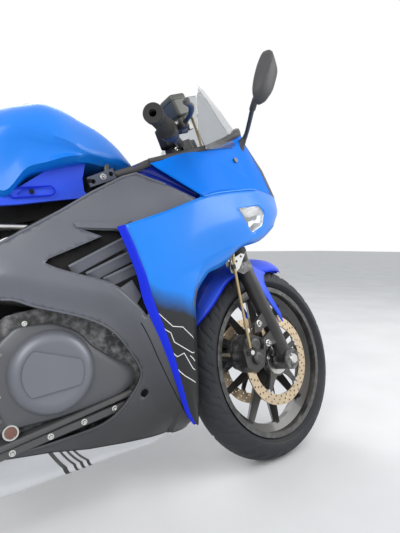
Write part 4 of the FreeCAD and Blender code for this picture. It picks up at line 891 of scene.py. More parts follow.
@dataclass(frozen=True)
class Finish:
    """A procedural finish. Colours are linear; grain and dust are what the real surface shows, but a film
    colour of lighter blue is a painted sheen on upward faces.
    """

    name: str
    colour: Point
    rough: float = 0.5
    metal: float = 0.0
    coat: float = 0.0
    coat_rough: float = 0.08
    grain: float = 0.0
    grain_scale: float = 900.0
    spread: float = 0.25
    spread_scale: float = 7.0
    wear: float = 0.0
    worn: Point = (0.35, 0.35, 0.36)
    dust_and_sheen: float = 0.2
    dust_and_sheen_colour: Point = (0.3, 0.27, 0.23)
    glass: float = 0.0
    sheen: float = 0.0
    aniso: float = 0.0
    specular: float = 0.5

    def base(self, tree: bpy.types.NodeTree) -> object:
        """Colour before shade, the dust and sheen film, and wear: a plain value here."""
        return (*self.colour, 1.0)

    def height(self, tree: bpy.types.NodeTree) -> bpy.types.NodeSocket | None:
        """Relief of the surface, or None where it is smooth.

        Args:
            tree: the material's tree.

        Returns:
            The height's socket.
        """
        if not self.grain:
            return None
        return Effects.wire(tree, "ShaderNodeGroup", node_tree=Effects.grain(),
                            i0=self.grain_scale).outputs[0]

    def material(self) -> bpy.types.Material:
        """The material, made on first use.

        Returns:
            The material.
        """
        name = self.name + "_look"
        if name in bpy.data.materials:
            return bpy.data.materials[name]
        made = bpy.data.materials.new(name)
        made.use_nodes = True
        tree = made.node_tree
        shader = tree.nodes["Principled BSDF"]
        shader.inputs["Metallic"].default_value = self.metal
        shader.inputs["Coat Weight"].default_value = self.coat
        shader.inputs["Coat Roughness"].default_value = self.coat_rough
        shader.inputs["Anisotropic"].default_value = self.aniso
        shader.inputs["Specular IOR Level"].default_value = self.specular
        if self.glass:
            shader.inputs["Transmission Weight"].default_value = self.glass
            shader.inputs["IOR"].default_value = 1.49
        if self.sheen:
            shader.inputs["Sheen Weight"].default_value = self.sheen
        self._colour(tree, shader)
        relief = self.height(tree)
        if relief is not None:
            bump = Effects.wire(tree, "ShaderNodeBump")
            bump.inputs["Strength"].default_value = 0.6
            bump.inputs["Distance"].default_value = self.grain * MM
            tree.links.new(relief, bump.inputs["Height"])
            tree.links.new(bump.outputs[0], shader.inputs["Normal"])
        return made

    def _colour(self, tree: bpy.types.NodeTree, shader: bpy.types.Node) -> None:
        """Links colour and roughness with their shade, the dust and sheen film, and wear.

        Args:
            tree: the material's tree.
            shader: its Principled node.
        """
        def mix(factor: object, a: object, b: object, blend: str = "MIX") -> bpy.types.NodeSocket:
            """Mixes two colours.

            Args:
                factor: share of the second.
                a: first colour.
                b: second colour.
                blend: way of mixing.

            Returns:
                The mixed colour.
            """
            node = Effects.wire(tree, "ShaderNodeMix", data_type="RGBA", blend_type=blend)
            for index, value in ((0, factor), (6, a), (7, b)):
                if isinstance(value, bpy.types.NodeSocket):
                    tree.links.new(value, node.inputs[index])
                else:
                    node.inputs[index].default_value = value
            return node.outputs[2]
        shade = Effects.wire(tree, "ShaderNodeGroup", node_tree=Effects.mottle(), i0=self.spread,
                             i1=self.spread_scale).outputs[0]
        grey = Effects.wire(tree, "ShaderNodeCombineXYZ", i0=shade, i1=shade, i2=shade).outputs[0]
        colour = mix(1.0, self.base(tree), grey, "MULTIPLY")
        rough = Effects.math(tree, "MULTIPLY", shade, self.rough)
        # Film on upward faces in its own colour: real dust on most finishes, a painted sheen on the blue
        # paints, whose film colour is lighter blue.
        if self.dust_and_sheen:
            dust_and_sheen_mask = Effects.wire(tree, "ShaderNodeGroup", node_tree=Effects.dust_and_sheen(), i0=self.dust_and_sheen).outputs[0]
            colour = mix(dust_and_sheen_mask, colour, (*self.dust_and_sheen_colour, 1.0))
            rough = Effects.math(tree, "ADD", rough, Effects.math(tree, "MULTIPLY", dust_and_sheen_mask, 0.35))
        if self.wear:
            rubbed = Effects.wire(tree, "ShaderNodeGroup", node_tree=Effects.wear(), i0=self.wear).outputs[0]
            colour = mix(rubbed, colour, (*self.worn, 1.0))
        tree.links.new(colour, shader.inputs["Base Color"])
        tree.links.new(rough, shader.inputs["Roughness"])


class Ink(Enum):
    """The finishes of the machine."""

    # Blue paint; its film on upward faces is a lighter blue, a painted sheen.
    BLUE = Finish("blue_paint", (0.001, 0.2, 0.78), rough=0.36, coat=0.3, coat_rough=0.14, spread=0.14,
                  dust_and_sheen=0.02, dust_and_sheen_colour=(0.2, 0.45, 0.8), specular=0.3)
    DEEP = Finish("deep_blue", (0.012, 0.03, 0.66), rough=0.45, coat=0.05, coat_rough=0.08, spread=0.15,
                  dust_and_sheen=0.0, specular=0.06)
    SIDE = Finish("side_blue", (0.035, 0.1, 0.8), rough=0.35, coat=0.2, spread=0.25, dust_and_sheen=0.0, specular=0.15)
    PLASTIC = Finish("black_plastic", (0.045, 0.045, 0.049), rough=0.55, grain=0.05, grain_scale=1400,
                     dust_and_sheen=0.12)
    FRAME = Finish("frame_black", (0.018, 0.018, 0.02), rough=0.35, coat=0.3, wear=0.6, dust_and_sheen=0.2)
    FORK = Finish("fork_black", (0.014, 0.014, 0.015), rough=0.42, coat=0.15, wear=0.5, dust_and_sheen=0.16)
    ENGINE = Finish("engine_grey", (0.055, 0.055, 0.058), rough=0.6, metal=0.3, grain=0.25, grain_scale=380,
                    wear=0.7, dust_and_sheen=0.35)
    COVER = Finish("cover_grey", (0.1, 0.105, 0.115), rough=0.36, metal=0.35, grain=0.05, grain_scale=1100,
                   dust_and_sheen=0.12, spread=0.2)
    BRACKET = Finish("bracket_grey", (0.1, 0.115, 0.16), rough=0.42, metal=0.2, dust_and_sheen=0.1, spread=0.2)
    WHEEL = Finish("wheel_black", (0.012, 0.012, 0.013), rough=0.28, coat=0.5, wear=0.2, dust_and_sheen=0.3)
    ZINC = Finish("zinc", (0.62, 0.62, 0.6), rough=0.28, metal=1.0, dust_and_sheen=0.12, spread=0.2, spread_scale=40)
    STEEL = Finish("chain_steel", (0.3, 0.29, 0.27), rough=0.38, metal=1.0, dust_and_sheen=0.3, spread=0.4,
                   spread_scale=30)
    PIPE = Finish("steel_pipe", (0.4, 0.34, 0.28), rough=0.3, metal=1.0, dust_and_sheen=0.2, spread=0.6, spread_scale=9)
    MUFFLER = Finish("muffler_black", (0.03, 0.03, 0.031), rough=0.5, wear=0.4, dust_and_sheen=0.25)
    RADIATOR = Finish("radiator_core", (0.03, 0.03, 0.03), rough=0.5, metal=0.4, dust_and_sheen=0.4)
    SPRING = Finish("spring_steel", (0.04, 0.04, 0.04), rough=0.4, coat=0.2, dust_and_sheen=0.2)
    RUBBER = Finish("grip_rubber", (0.016, 0.016, 0.016), rough=0.7, grain=0.08, grain_scale=900, dust_and_sheen=0.2)
    TYRE = Finish("tyre_rubber", (0.014, 0.016, 0.022), rough=0.68, grain=0.12, grain_scale=520, dust_and_sheen=0.2,
                  dust_and_sheen_colour=(0.16, 0.145, 0.125), spread=0.3, spread_scale=11)
    SEAT = Finish("seat_vinyl", (0.02, 0.02, 0.021), rough=0.52, grain=0.22, grain_scale=520, sheen=0.15,
                  dust_and_sheen=0.2)
    GOLD = Finish("disc_gold", (0.62, 0.5, 0.35), rough=0.34, metal=1.0, dust_and_sheen=0.16, spread=0.25,
                  spread_scale=60)
    RED = Finish("red_lens", (0.5, 0.01, 0.008), rough=0.12, coat=0.8, dust_and_sheen=0.04)
    CLEAR = Finish("clear_lens", (0.92, 0.95, 0.97), rough=0.08, glass=0.85, dust_and_sheen=0.03, spread=0.03)
    SMOKE = Finish("smoked_screen", (0.62, 0.64, 0.66), rough=0.06, glass=0.92, dust_and_sheen=0.03, spread=0.03)


# Pieces


def piece(name: str, shape: Shape, seat: Seat, ink: Ink, replaces: Sequence[str] = (),
          bevel: float = 0.0, solid: float = 0.0, angle: float = 32.0, levels: int = 0,
          closed: bool = True) -> bpy.types.Object:
    """Turns a shape into a finished piece on its body.

    Args:
        name: the piece's name.
        shape: its points and faces, in millimetres.
        seat: the body and placement.
        ink: its finish.
        replaces: frame nodes that it stands for.
        bevel: width of rounded edges.
        solid: wall added behind an open sheet.
        angle: edges sharper than this stay sharp.
        levels: subdivision levels.
        closed: whether the outside is found from the closed form.

    Returns:
        The object.
    """
    mesh = bpy.data.meshes.new(name)
    mesh.from_pydata([(p.x * MM, p.y * MM, p.z * MM) for p in shape.points], [], shape.faces)
    leaning = seat in (Seat.CHASSIS, Seat.STAND)
    if not leaning:
        mesh.transform(seat.place)
    work = bmesh.new()
    work.from_mesh(mesh)
    bmesh.ops.remove_doubles(work, verts=work.verts, dist=0.02 * MM)
    if closed:
        bmesh.ops.recalc_face_normals(work, faces=work.faces)
    work.to_mesh(mesh)
    work.free()
    mesh.validate()
    mesh.shade_smooth()
    mesh.set_sharp_from_angle(angle=math.radians(angle))
    made = bpy.data.objects.new(name, mesh)
    bpy.context.scene.collection.objects.link(made)
    if leaning:
        made.matrix_world = seat.place
    mesh.materials.append(ink.value.material())
    if levels:
        made.modifiers.new("smooth", "SUBSURF").levels = levels
        made.modifiers["smooth"].render_levels = levels
    if solid:
        wall = made.modifiers.new("wall", "SOLIDIFY")
        wall.thickness, wall.offset = solid * MM, -1.0
        wall.use_even_offset = True
        wall.thickness_clamp = 1.0
    if bevel:
        edge = made.modifiers.new("edges", "BEVEL")
        edge.width, edge.segments, edge.limit_method = bevel * MM, 2, "ANGLE"
        edge.angle_limit = math.radians(40)
        edge.harden_normals = True
    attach(made, seat.body)
    if replaces:
        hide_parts(*replaces)
    return made


def dress(node: str, ink: Ink) -> None:
    """Gives a frame node that stays as it is a finish.

    Args:
        node: name of the frame's node.
        ink: the finish.
    """
    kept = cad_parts[node]
    kept.data.materials.clear()
    kept.data.materials.append(ink.value.material())
    kept.data.shade_smooth()
    kept.data.set_sharp_from_angle(angle=math.radians(30))


@dataclass
class Stage:
    """Pale floor, plain studio light and the photograph's camera."""

    lens: float = 27.02
    eye: Point = (-0.0297, -1.0718, 0.648)
    heading: float = 27.5
    pitch: float = 2.93

    def build(self) -> None:
        """Makes floor, lights and camera."""
        self.camera()
        self.floor()
        self.lights()

    def camera(self) -> None:
        """Camera where the photograph was taken."""
        lens = bpy.data.cameras.new("camera")
        lens.lens, lens.sensor_width, lens.sensor_fit = self.lens, 36.0, "AUTO"
        lens.clip_start = 0.05
        made = bpy.data.objects.new("camera", lens)
        bpy.context.scene.collection.objects.link(made)
        made.location = self.eye
        made.rotation_euler = (math.radians(90 - self.pitch), 0, math.radians(-self.heading))
        bpy.context.scene.camera = made

    def floor(self) -> None:
        """Wide pale floor."""
        mesh = bpy.data.meshes.new("floor")
        mesh.from_pydata([(-40, -40, 0), (40, -40, 0), (40, 40, 0), (-40, 40, 0)], [], [(0, 1, 2, 3)])
        made = bpy.data.objects.new("floor", mesh)
        bpy.context.scene.collection.objects.link(made)
        paint = bpy.data.materials.new("floor_pale")
        paint.use_nodes = True
        shader = paint.node_tree.nodes["Principled BSDF"]
        shader.inputs["Roughness"].default_value = 0.9
        slow = Effects.wire(paint.node_tree, "ShaderNodeMapRange", i0=Effects.noise(paint.node_tree, 2.5,
                                                                                    9.0),
                            i1=0.3, i2=0.7, i3=0.70, i4=0.78)
        grey = Effects.wire(paint.node_tree, "ShaderNodeCombineXYZ", i0=slow.outputs[0], i1=slow.outputs[0],
                            i2=slow.outputs[0])
        paint.node_tree.links.new(grey.outputs[0], shader.inputs["Base Color"])
        mesh.materials.append(paint)

    def lights(self) -> None:
        """Overcast sky from the world, and three large soft lamps."""
        scene = bpy.context.scene
        scene.view_settings.view_transform = "Standard"
        self.world()
        for name, power, size, at, to in (
                ("key", 95.0, 2.6, (-2.2, -2.8, 3.2), (0.2, 0.0, 0.5)),
                ("front", 60.0, 2.2, (3.2, -1.6, 2.4), (0.5, 0.0, 0.5)),
                ("back", 50.0, 2.6, (0.4, 3.4, 3.0), (0.0, 0.0, 0.5))):
            lamp = bpy.data.lights.new(name, "AREA")
            lamp.energy, lamp.size = power, size
            made = bpy.data.objects.new(name, lamp)
            scene.collection.objects.link(made)
            made.location = at
            made.rotation_euler = (Vector(to) - Vector(at)).to_track_quat("-Z", "Y").to_euler()

    def world(self) -> None:
        """Even grey sky for light, seen as plain white."""
        made = bpy.data.worlds.new("studio")
        bpy.context.scene.world = made
        made.use_nodes = True
        tree = made.node_tree
        sky = tree.nodes["Background"]
        sky.inputs[0].default_value, sky.inputs[1].default_value = (0.86, 0.89, 0.93, 1), 0.72
        white = Effects.wire(tree, "ShaderNodeBackground", i0=(1, 1, 1, 1), i1=1.0)
        rays = Effects.wire(tree, "ShaderNodeLightPath").outputs
        seen = Effects.math(tree, "MAXIMUM", rays["Is Camera Ray"], rays["Is Glossy Ray"])
        seen = Effects.math(tree, "MAXIMUM", seen, rays["Is Transmission Ray"])
        both = Effects.wire(tree, "ShaderNodeMixShader", i0=seen, i1=sky.outputs[0], i2=white.outputs[0])
        tree.links.new(both.outputs[0], tree.nodes["World Output"].inputs[0])


@dataclass
class PlainNodes:
    """Frame nodes that keep their own shape and get a finish."""

    inks: dict[str, Ink] = field(default_factory=lambda: {
        "main_frame": Ink.FRAME, "subframe": Ink.FRAME, "engine": Ink.ENGINE, "generator_cover": Ink.COVER,
        "radiator": Ink.RADIATOR, "swingarm": Ink.FRAME, "rear_shock": Ink.SPRING, "rear_axle": Ink.ZINC,
        "pivot_bolt": Ink.ZINC, "tank_side_covers": Ink.SIDE, "tail_fairing": Ink.BLUE,
        "rear_fender": Ink.PLASTIC, "windscreen": Ink.SMOKE, "instrument_panel": Ink.PLASTIC,
        "fairing_stay": Ink.FRAME, "exhaust_pipe": Ink.PIPE, "muffler": Ink.MUFFLER, "footrests": Ink.ZINC,
        "drive_chain": Ink.STEEL, "stand_bracket": Ink.FRAME, "side_stand": Ink.FRAME,
        "fork_legs": Ink.FORK, "triple_clamps": Ink.FORK, "handlebars": Ink.FORK,
        "front_calipers": Ink.FORK, "front_axle": Ink.ZINC, "hose_bracket": Ink.FORK,
        "engine_top": Ink.ENGINE, "tank_brackets": Ink.BRACKET, "rear_caliper": Ink.FORK,
        "foot_levers": Ink.ZINC, "front_rim": Ink.WHEEL, "rear_rim": Ink.WHEEL, "rear_sprocket": Ink.STEEL})

    def build(self) -> None:
        """Dresses each node."""
        for node, ink in self.inks.items():
            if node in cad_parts:
                dress(node, ink)


SUBASSEMBLIES = [PlainNodes()]


# Bodywork


def outward(shape: Shape, way: Point = (0.0, -1.0, 0.15)) -> Shape:
    """Turns a sheet so that its faces look along a way.

    Args:
        shape: the sheet.
        way: way that its faces are to look.

    Returns:
        The same shape.
    """
    total = Vector()
    for face in shape.faces:
        a = shape.points[face[0]]
        for i, j in zip(face[1:], face[2:]):
            total += (shape.points[i] - a).cross(shape.points[j] - a)
    if total.dot(Vector(way)) < 0:
        shape.faces = [f[::-1] for f in shape.faces]
    return shape


def strip(*lines: Sequence[Sequence[float]]) -> Shape:
    """Sheet between lines with the same number of points."""
    return ring_loft([list(line) for line in lines], closed=False)


def ribbon(surface: Callable[[float, float], tuple[Vector, Vector]], line: Sequence[Flat], wide: float,
           lift: float = 0.45, spacing: float = 8.0) -> Shape:
    """Narrow band that lies on a surface along a line of the side view.

    Args:
        surface: gives point and normal at (x, z).
        line: corners of the band's middle.
        wide: its width.
        lift: height above the surface.
        spacing: distance between its cross lines.

    Returns:
        The band.
    """
    path = [Vector(p) for p in divide(line, spacing)]
    left, right = [], []
    for i, at in enumerate(path):
        back, ahead = path[max(i - 1, 0)], path[min(i + 1, len(path) - 1)]
        ways = [w.normalized() for w in (at - back, ahead - at) if w.length > 1e-6]
        middle = sum(ways, Vector((0, 0))).normalized()
        across = Vector((-middle.y, middle.x)) * (0.5 * wide / max(0.5, middle.dot(ways[0])))
        for side, place in ((left, at + across), (right, at - across)):
            point, normal = surface(place.x, place.y)
            side.append(point + normal * lift)
    return strip(left, right)


@dataclass(frozen=True)
class FadePaint(Finish):
    """Paint that turns from one colour to another below a height of the upright machine: two-tone paint on
    the wing, painted shade on the side panel.
    """

    low_colour: Point = (0.012, 0.012, 0.013)
    low: float = 0.475
    high: float = 0.522
    slant: float = 0.35
    shift: float = -0.115

    def base(self, tree: bpy.types.NodeTree) -> object:
        """Colour over the height, with an uneven edge: sprayed on the wing, a painted shade gradient on the
        side panel.

        Args:
            tree: the material's tree.

        Returns:
            The colour's socket.
        """
        place = Effects.wire(tree, "ShaderNodeTexCoord").outputs[3]
        parts = Effects.wire(tree, "ShaderNodeSeparateXYZ", i0=place)
        uneven = Effects.math(tree, "MULTIPLY", Effects.noise(tree, 9.0, 3.0), 0.05)
        forward = Effects.math(tree, "MULTIPLY", parts.outputs[0], self.slant)
        at = Effects.math(tree, "ADD", Effects.math(tree, "ADD", parts.outputs[2], uneven), forward)
        mask = Effects.wire(tree, "ShaderNodeMapRange", i0=at, i1=self.low + self.shift,
                            i2=self.high + self.shift, i3=0.0, i4=1.0).outputs[0]
        node = Effects.wire(tree, "ShaderNodeMix", data_type="RGBA")
        tree.links.new(mask, node.inputs[0])
        node.inputs[6].default_value = (*self.low_colour, 1.0)
        node.inputs[7].default_value = (*self.colour, 1.0)
        return node.outputs[2]


class Paint(Enum):
    """Finishes of the bodywork that the frame doesn't name."""

    # Wing paint; its film on upward faces is a lighter blue, a painted sheen.
    WING = FadePaint("wing_fade", (0.001, 0.21, 0.79), rough=0.36, coat=0.3, coat_rough=0.14, spread=0.14,
                     dust_and_sheen=0.02, dust_and_sheen_colour=(0.2, 0.45, 0.8), specular=0.3)
    # Side panel grey: lit bluish grey at the top, darkening to near black towards the foot, a painted light
    # and shade gradient.
    SHADED_PANEL = FadePaint("panel_painted_shade", (0.115, 0.122, 0.147), rough=0.4, grain=0.03, grain_scale=1600,
                      dust_and_sheen=0.1, spread=0.3, specular=0.6, low_colour=(0.012, 0.012, 0.013), low=0.42,
                      high=0.86, slant=-0.5, shift=0.025)
    # Darker copy of the body blue: painted shade that offsets the extra light on the nose's upward faces.
    NOSE_SHADED = Finish("nose_shaded_blue", (0.0005, 0.185, 0.8), rough=0.5, coat=0.04, coat_rough=0.14, spread=0.14,
                  dust_and_sheen=0.0, specular=0.08)
    # Dark navy for the recess behind the nose: painted shade.
    RECESS_SHADE = Finish("recess_shade_blue", (0.002, 0.014, 0.22), rough=0.3, coat=0.4, spread=0.4, dust_and_sheen=0.03, specular=0.3)
    WHITE = Finish("line_white", (0.78, 0.78, 0.76), rough=0.45, dust_and_sheen=0.05)
    BAND = Finish("band_silver", (0.62, 0.63, 0.65), rough=0.35, metal=0.25, coat=0.3, dust_and_sheen=0.12)
    # Brighter blue for the lip along the nose's lower edge: a painted highlight.
    LIP_HIGHLIGHT = Finish("lip_highlight_blue", (0.06, 0.36, 0.95), rough=0.3, coat=0.4, spread=0.1, dust_and_sheen=0.02)
    SHADE = Finish("matt_black", (0.009, 0.009, 0.01), rough=0.75, grain=0.03, dust_and_sheen=0.06, specular=0.2)
    BLACK = Finish("gloss_black", (0.008, 0.008, 0.009), rough=0.2, coat=0.7, dust_and_sheen=0.06)
    TRIM = Finish("trim_grey", (0.035, 0.036, 0.04), rough=0.5, grain=0.03, grain_scale=1500, dust_and_sheen=0.1)
    MIRROR = Finish("mirror_glass", (0.75, 0.8, 0.82), rough=0.04, metal=1.0, dust_and_sheen=0.03, spread=0.02)
    LAMP = Finish("lamp_bowl", (0.75, 0.76, 0.78), rough=0.22, metal=0.9, dust_and_sheen=0.02)


@dataclass
class Tank:
    """Fuel tank: creased sheet with a knee recess, a sharp lip and an undercut."""

    spacing: float = 11.0
    cap_at: Point = (-655.0, 0.0, 1004.0)
    sections: tuple[tuple, ...] = (
        (-905, (0, 858), (30, 856), (55, 846), (72, 832), (84, 820), (86, 808), (80, 798), (66, 792)),
        (-850, (0, 915), (38, 912), (70, 900), (96, 878), (110, 856), (110, 832), (104, 800), (84, 785)),
        (-790, (0, 951), (45, 947), (84, 933), (114, 906), (132, 876), (132, 838), (130, 792), (112, 777)),
        (-736, (0, 978), (50, 974), (92, 960), (126, 930), (146, 892), (140, 836), (146, 752), (132, 742)),
        (-690, (0, 993), (52, 989), (96, 974), (130, 942), (150, 896), (138, 856), (152, 805), (138, 794)),
        (-650, (0, 1005), (52, 1001), (96, 984), (130, 946), (150, 887), (138, 852), (152, 821), (138, 812)),
        (-605, (0, 1002), (50, 998), (90, 978), (124, 934), (146, 880), (136, 858), (148, 840), (134, 829)),
        (-562, (0, 984), (46, 980), (80, 962), (110, 920), (130, 866), (128, 860), (126, 855), (116, 842)),
        (-500, (0, 957), (38, 953), (64, 938), (86, 905), (100, 868), (98, 862), (96, 857), (84, 846)),
        (-455, (0, 926), (30, 922), (50, 910), (66, 890), (76, 872), (74, 866), (70, 858), (60, 848)),
        (-425, (0, 897), (18, 895), (32, 889), (42, 880), (48, 870), (46, 864), (42, 858), (36, 852)))

    def build(self) -> None:
        """Makes the tank with its cap."""
        net = Net([[(x, -y, z) for y, z in row] + [(x, 0, row[-1][1] - 5)] for x, *row in self.sections],
                  {}, {4: 0.85, 6: 1.0, 7: 1.0})
        half = net.sheet(self.spacing)
        wide, tall = (len(steps) for steps in net.steps(self.spacing))
        half.faces.append(tuple(range(wide)))
        half.faces.append(tuple(range((tall - 1) * wide, tall * wide))[::-1])
        piece("tank_shell", half.both(), Seat.CHASSIS, Ink.BLUE, ["fuel_tank"], angle=40)
        cap = disc(self.cap_at, (0, 0, 1), [(-6, 46), (1.5, 46), (3, 44), (3, 30), (4.5, 28), (4.5, 0.5)], 48)
        for i in range(6):
            t = math.pi * i / 3
            at = (self.cap_at[0] + 37 * math.cos(t), 37 * math.sin(t), self.cap_at[2] + 3)
            cap.add(disc(at, (0, 0, 1), [(-1, 3.5), (2, 3.5), (2.6, 2.6), (2.6, 0.2)], 16))
        piece("tank_cap", cap, Seat.CHASSIS, Ink.FORK, angle=30)


@dataclass
class Nose:
    """Blue nose with a crease, a painted highlight along its lower lip, its dark middle strip and the strips
    under the screen.
    """

    spacing: float = 10.0
    top: tuple[Point, ...] = ((-43, 0, 1025), (-55, 35, 1015), (-91, 90, 982), (-212, 140, 911),
                              (-259, 150, 893), (-413, 168, 840))
    crease: tuple[Point, ...] = ((40, 0, 905), (28, 35, 900), (-62, 105, 835), (-140, 122, 866),
                                 (-262, 152, 885), (-413, 168, 836))
    seam: tuple[Point, ...] = ((76, 0, 818), (64, 40, 813), (-62, 112, 809), (-145, 144, 793),
                               (-216, 169, 776), (-285, 198, 753))
    strip_to: float = 1.22

    def build(self) -> None:
        """Makes the shell, the strip down its front edge and the trim under the screen."""
        rows = [[(x, -y, z) for x, y, z in row] for row in (self.top, self.crease, self.seam)]
        net = Net(rows, {1: 1.0}, {1: 0.7})
        shell = outward(net.sheet(self.spacing))
        # The shell takes the darker copy of the body blue, a painted shade.
        piece("nose_shell", shell.both(), Seat.CHASSIS, Paint.NOSE_SHADED, ["nose_fairing"], solid=3.0,
              closed=False, angle=24)
        steps = [k / 14 for k in range(29)]
        lines = [[net.at(u, v) + net.normal(u, v) * 0.6 for v in steps] for u in (0.0, 0.35, 0.7, 1.0,
                                                                                  self.strip_to)]
        strip_form = outward(strip(*lines), (1, 0, 0.2))
        piece("nose_strip", strip_form.both(), Seat.CHASSIS, Paint.TRIM, closed=False)
        edge = [net.at(k / 8, 0.0) for k in range(0, 41)]
        tall = [22 - 14 * k / 40 for k in range(41)]
        rows = [[p + Vector((1, -1, -3)) for p in edge],
                [p + Vector((-1.5, -1.5, 0.5 * up)) for p, up in zip(edge, tall)],
                [p + Vector((-4, 1, up)) for p, up in zip(edge, tall)]]
        piece("screen_trim", outward(strip(*rows)).both(), Seat.CHASSIS, Ink.PLASTIC, solid=2.5, closed=False)
        # Brighter blue pipe along the nose's lower edge: a painted highlight on the lip.
        fold = [net.at(2 + k / 8, 2.0) for k in range(25)]
        lip = pipe([p + Vector((0, -0.6, -0.2)) for p in fold], [1.6] * 20 + [1.4, 1.2, 1.0, 0.8, 0.6], 8)
        piece("nose_lip_highlight", lip.both(), Seat.CHASSIS, Paint.LIP_HIGHLIGHT)


@dataclass
class Wing:
    """Side wing: upper panel with the lamp opening, chin below its crease, and the leg under it."""

    spacing: float = 10.0
    seam: tuple[Point, ...] = ((76, 0, 818), (64, 40, 813), (-62, 111.6, 810), (-145, 143.6, 794),
                               (-216, 168.6, 777), (-290, 197, 752), (-400, 208, 707), (-499, 215, 671))
    middle: tuple[Point, ...] = ((84, 0, 775), (70, 42, 770), (-30, 112, 760), (-130, 150, 735),
                                 (-205, 178, 715), (-290, 200, 690), (-400, 214, 655), (-484, 218, 634))
    crease: tuple[Point, ...] = ((72, 0, 735), (52, 48, 732), (-40, 108, 680), (-120, 140, 650),
                                 (-205, 168, 620), (-300, 195, 583), (-395, 212, 560), (-458, 219, 560))
    arch: tuple[Point, ...] = ((66, 0, 722), (40, 52, 712), (-60, 104, 656), (-152, 130, 627),
                               (-217, 152, 582), (-278, 178, 561))
    leg: tuple[tuple[Point, Point, Point, Point], ...] = (
        ((-278, 178, 561), (-300, 195, 583), (-395, 212, 560), (-458, 219, 560)),
        ((-315, 183, 515), (-337, 203, 512), (-400, 211, 505), (-442, 215, 500)),
        ((-325, 186, 431), (-345, 205, 431), (-388, 209, 432), (-418, 211, 434)),
        ((-327, 184, 356), (-344, 202, 358), (-375, 205, 362), (-396, 206, 367)),
        ((-326, 178, 290), (-342, 194, 291), (-362, 198, 295), (-378, 198, 300)),
        ((-326, 170, 235), (-336, 182, 235), (-347, 186, 234), (-357, 185, 232)),
        ((-325, 160, 194), (-329, 165, 194), (-332, 168, 195), (-336, 168, 198)))
    rear: tuple[Point, ...] = ((-516, 209, 667), (-503, 211, 633), (-478, 212, 560), (-464, 208, 500),
                               (-438, 205, 434), (-412, 200, 367), (-390, 192, 300), (-366, 180, 232),
                               (-341, 164, 197))
    lamp: tuple[Flat, ...] = ((-162, 737), (-68, 757), (-42, 739), (-50, 703), (-104, 674))
    lines: tuple[tuple[Flat, ...], ...] = (
        ((-432, 470), (-398, 438), (-372, 434), (-340, 402), (-342, 352), (-356, 366)),
        ((-430, 440), (-404, 424), (-396, 402), (-350, 372), (-332, 372)),
        ((-418, 392), (-390, 368), (-372, 374), (-350, 336), (-330, 322)),
        ((-404, 352), (-372, 322), (-340, 300), (-338, 268), (-328, 250)))

    def build(self) -> None:
        """Makes both wings, their lamps and their lines."""
        upper = Net([[(x, -y, z) for x, y, z in row] for row in (self.seam, self.middle, self.crease)], {},
                    {1: 0.6})
        us, _ = upper.steps(self.spacing)
        hole = [upper.find(x, z) for x, z in divide(rounded(self.lamp, 9, 3), 6, closed=True)]
        shell = upper.sheet(self.spacing, [hole])
        front, side = [u for u in us if u <= 5], [u for u in us if u >= 5]
        edge = Net([[(x, -y, z) for x, y, z in self.arch]] * 2, {}, {1: 0.6})
        fold = [upper.at(u, 2) for u in front]
        rim = [edge.at(u, 0) for u in front]
        shell.add(strip(fold, [(a + b) / 2 for a, b in zip(fold, rim)], rim))
        leg = Net([[(x, -y, z) for x, y, z in row[1:]] for row in self.leg])
        fronts = Net([[(x, -y, z) for x, y, z in row[:1]] * 2 for row in self.leg])
        rows = [k / 8 for k in range(0, 8 * (len(self.leg) - 1) + 1)]
        lower = [[upper.at(u, 2) for u in side]] + [[leg.at(u - 5, v) for u in side] for v in rows[1:]]
        shell.add(strip(*lower))
        walls = []
        for number, v in enumerate(rows):
            inner = fronts.at(0, v)
            outer = lower[number][0]
            walls.append([inner, (inner + outer) / 2, outer])
        shell.add(strip(*walls))
        shell = outward(shell)
        for name, form in (("wing_right", shell), ("wing_left", shell.mirrored())):
            node = name.replace("wing_", "wing_panel_")
            piece(name, form, Seat.CHASSIS, Paint.WING, [node], solid=3.0, closed=False,
                  angle=26)
        self.edges(upper, lower)
        self.lamps(upper, hole)
        self.pattern(leg)

    def edges(self, upper: Net, lower: list[list[Vector]]) -> None:
        """Deep blue turned-in edge behind the wing.

        Args:
            upper: net of the wing's upper panel.
            lower: rows of the leg's points.
        """
        outer = [upper.at(7, v / 6) for v in range(12)] + [row[-1] for row in lower]
        back = round_path([(x, -y, z) for x, y, z in self.rear], 12)
        spans = [0.0]
        for a, b in zip(back, back[1:]):
            spans.append(spans[-1] + (b - a).length)
        lengths = [0.0]
        for a, b in zip(outer, outer[1:]):
            lengths.append(lengths[-1] + (b - a).length)
        rear = [self.along(back, spans, spans[-1] * way / lengths[-1]) for way in lengths]
        middle = [(a + b) / 2 + Vector((-0.5, -1.2, 0)) for a, b in zip(outer, rear)]
        tucked = [p + Vector((6, 8, 0)) for p in rear]
        form = outward(strip(outer, middle, rear, tucked), (-1, -1, 0))
        piece("wing_edges", form.both(), Seat.CHASSIS, Ink.DEEP, solid=1.2, closed=False,
              angle=50)

    @staticmethod
    def along(path: Sequence[Vector], spans: Sequence[float], at: float) -> Vector:
        """Point at a length along a path, given the length at each of its points.

        Args:
            path: points of the path.
            spans: length at each point.
            at: length to find.

        Returns:
            The point.
        """
        for i in range(len(path) - 1):
            if at <= spans[i + 1]:
                return path[i].lerp(path[i + 1], (at - spans[i]) / (spans[i + 1] - spans[i]))
        return path[-1].copy()

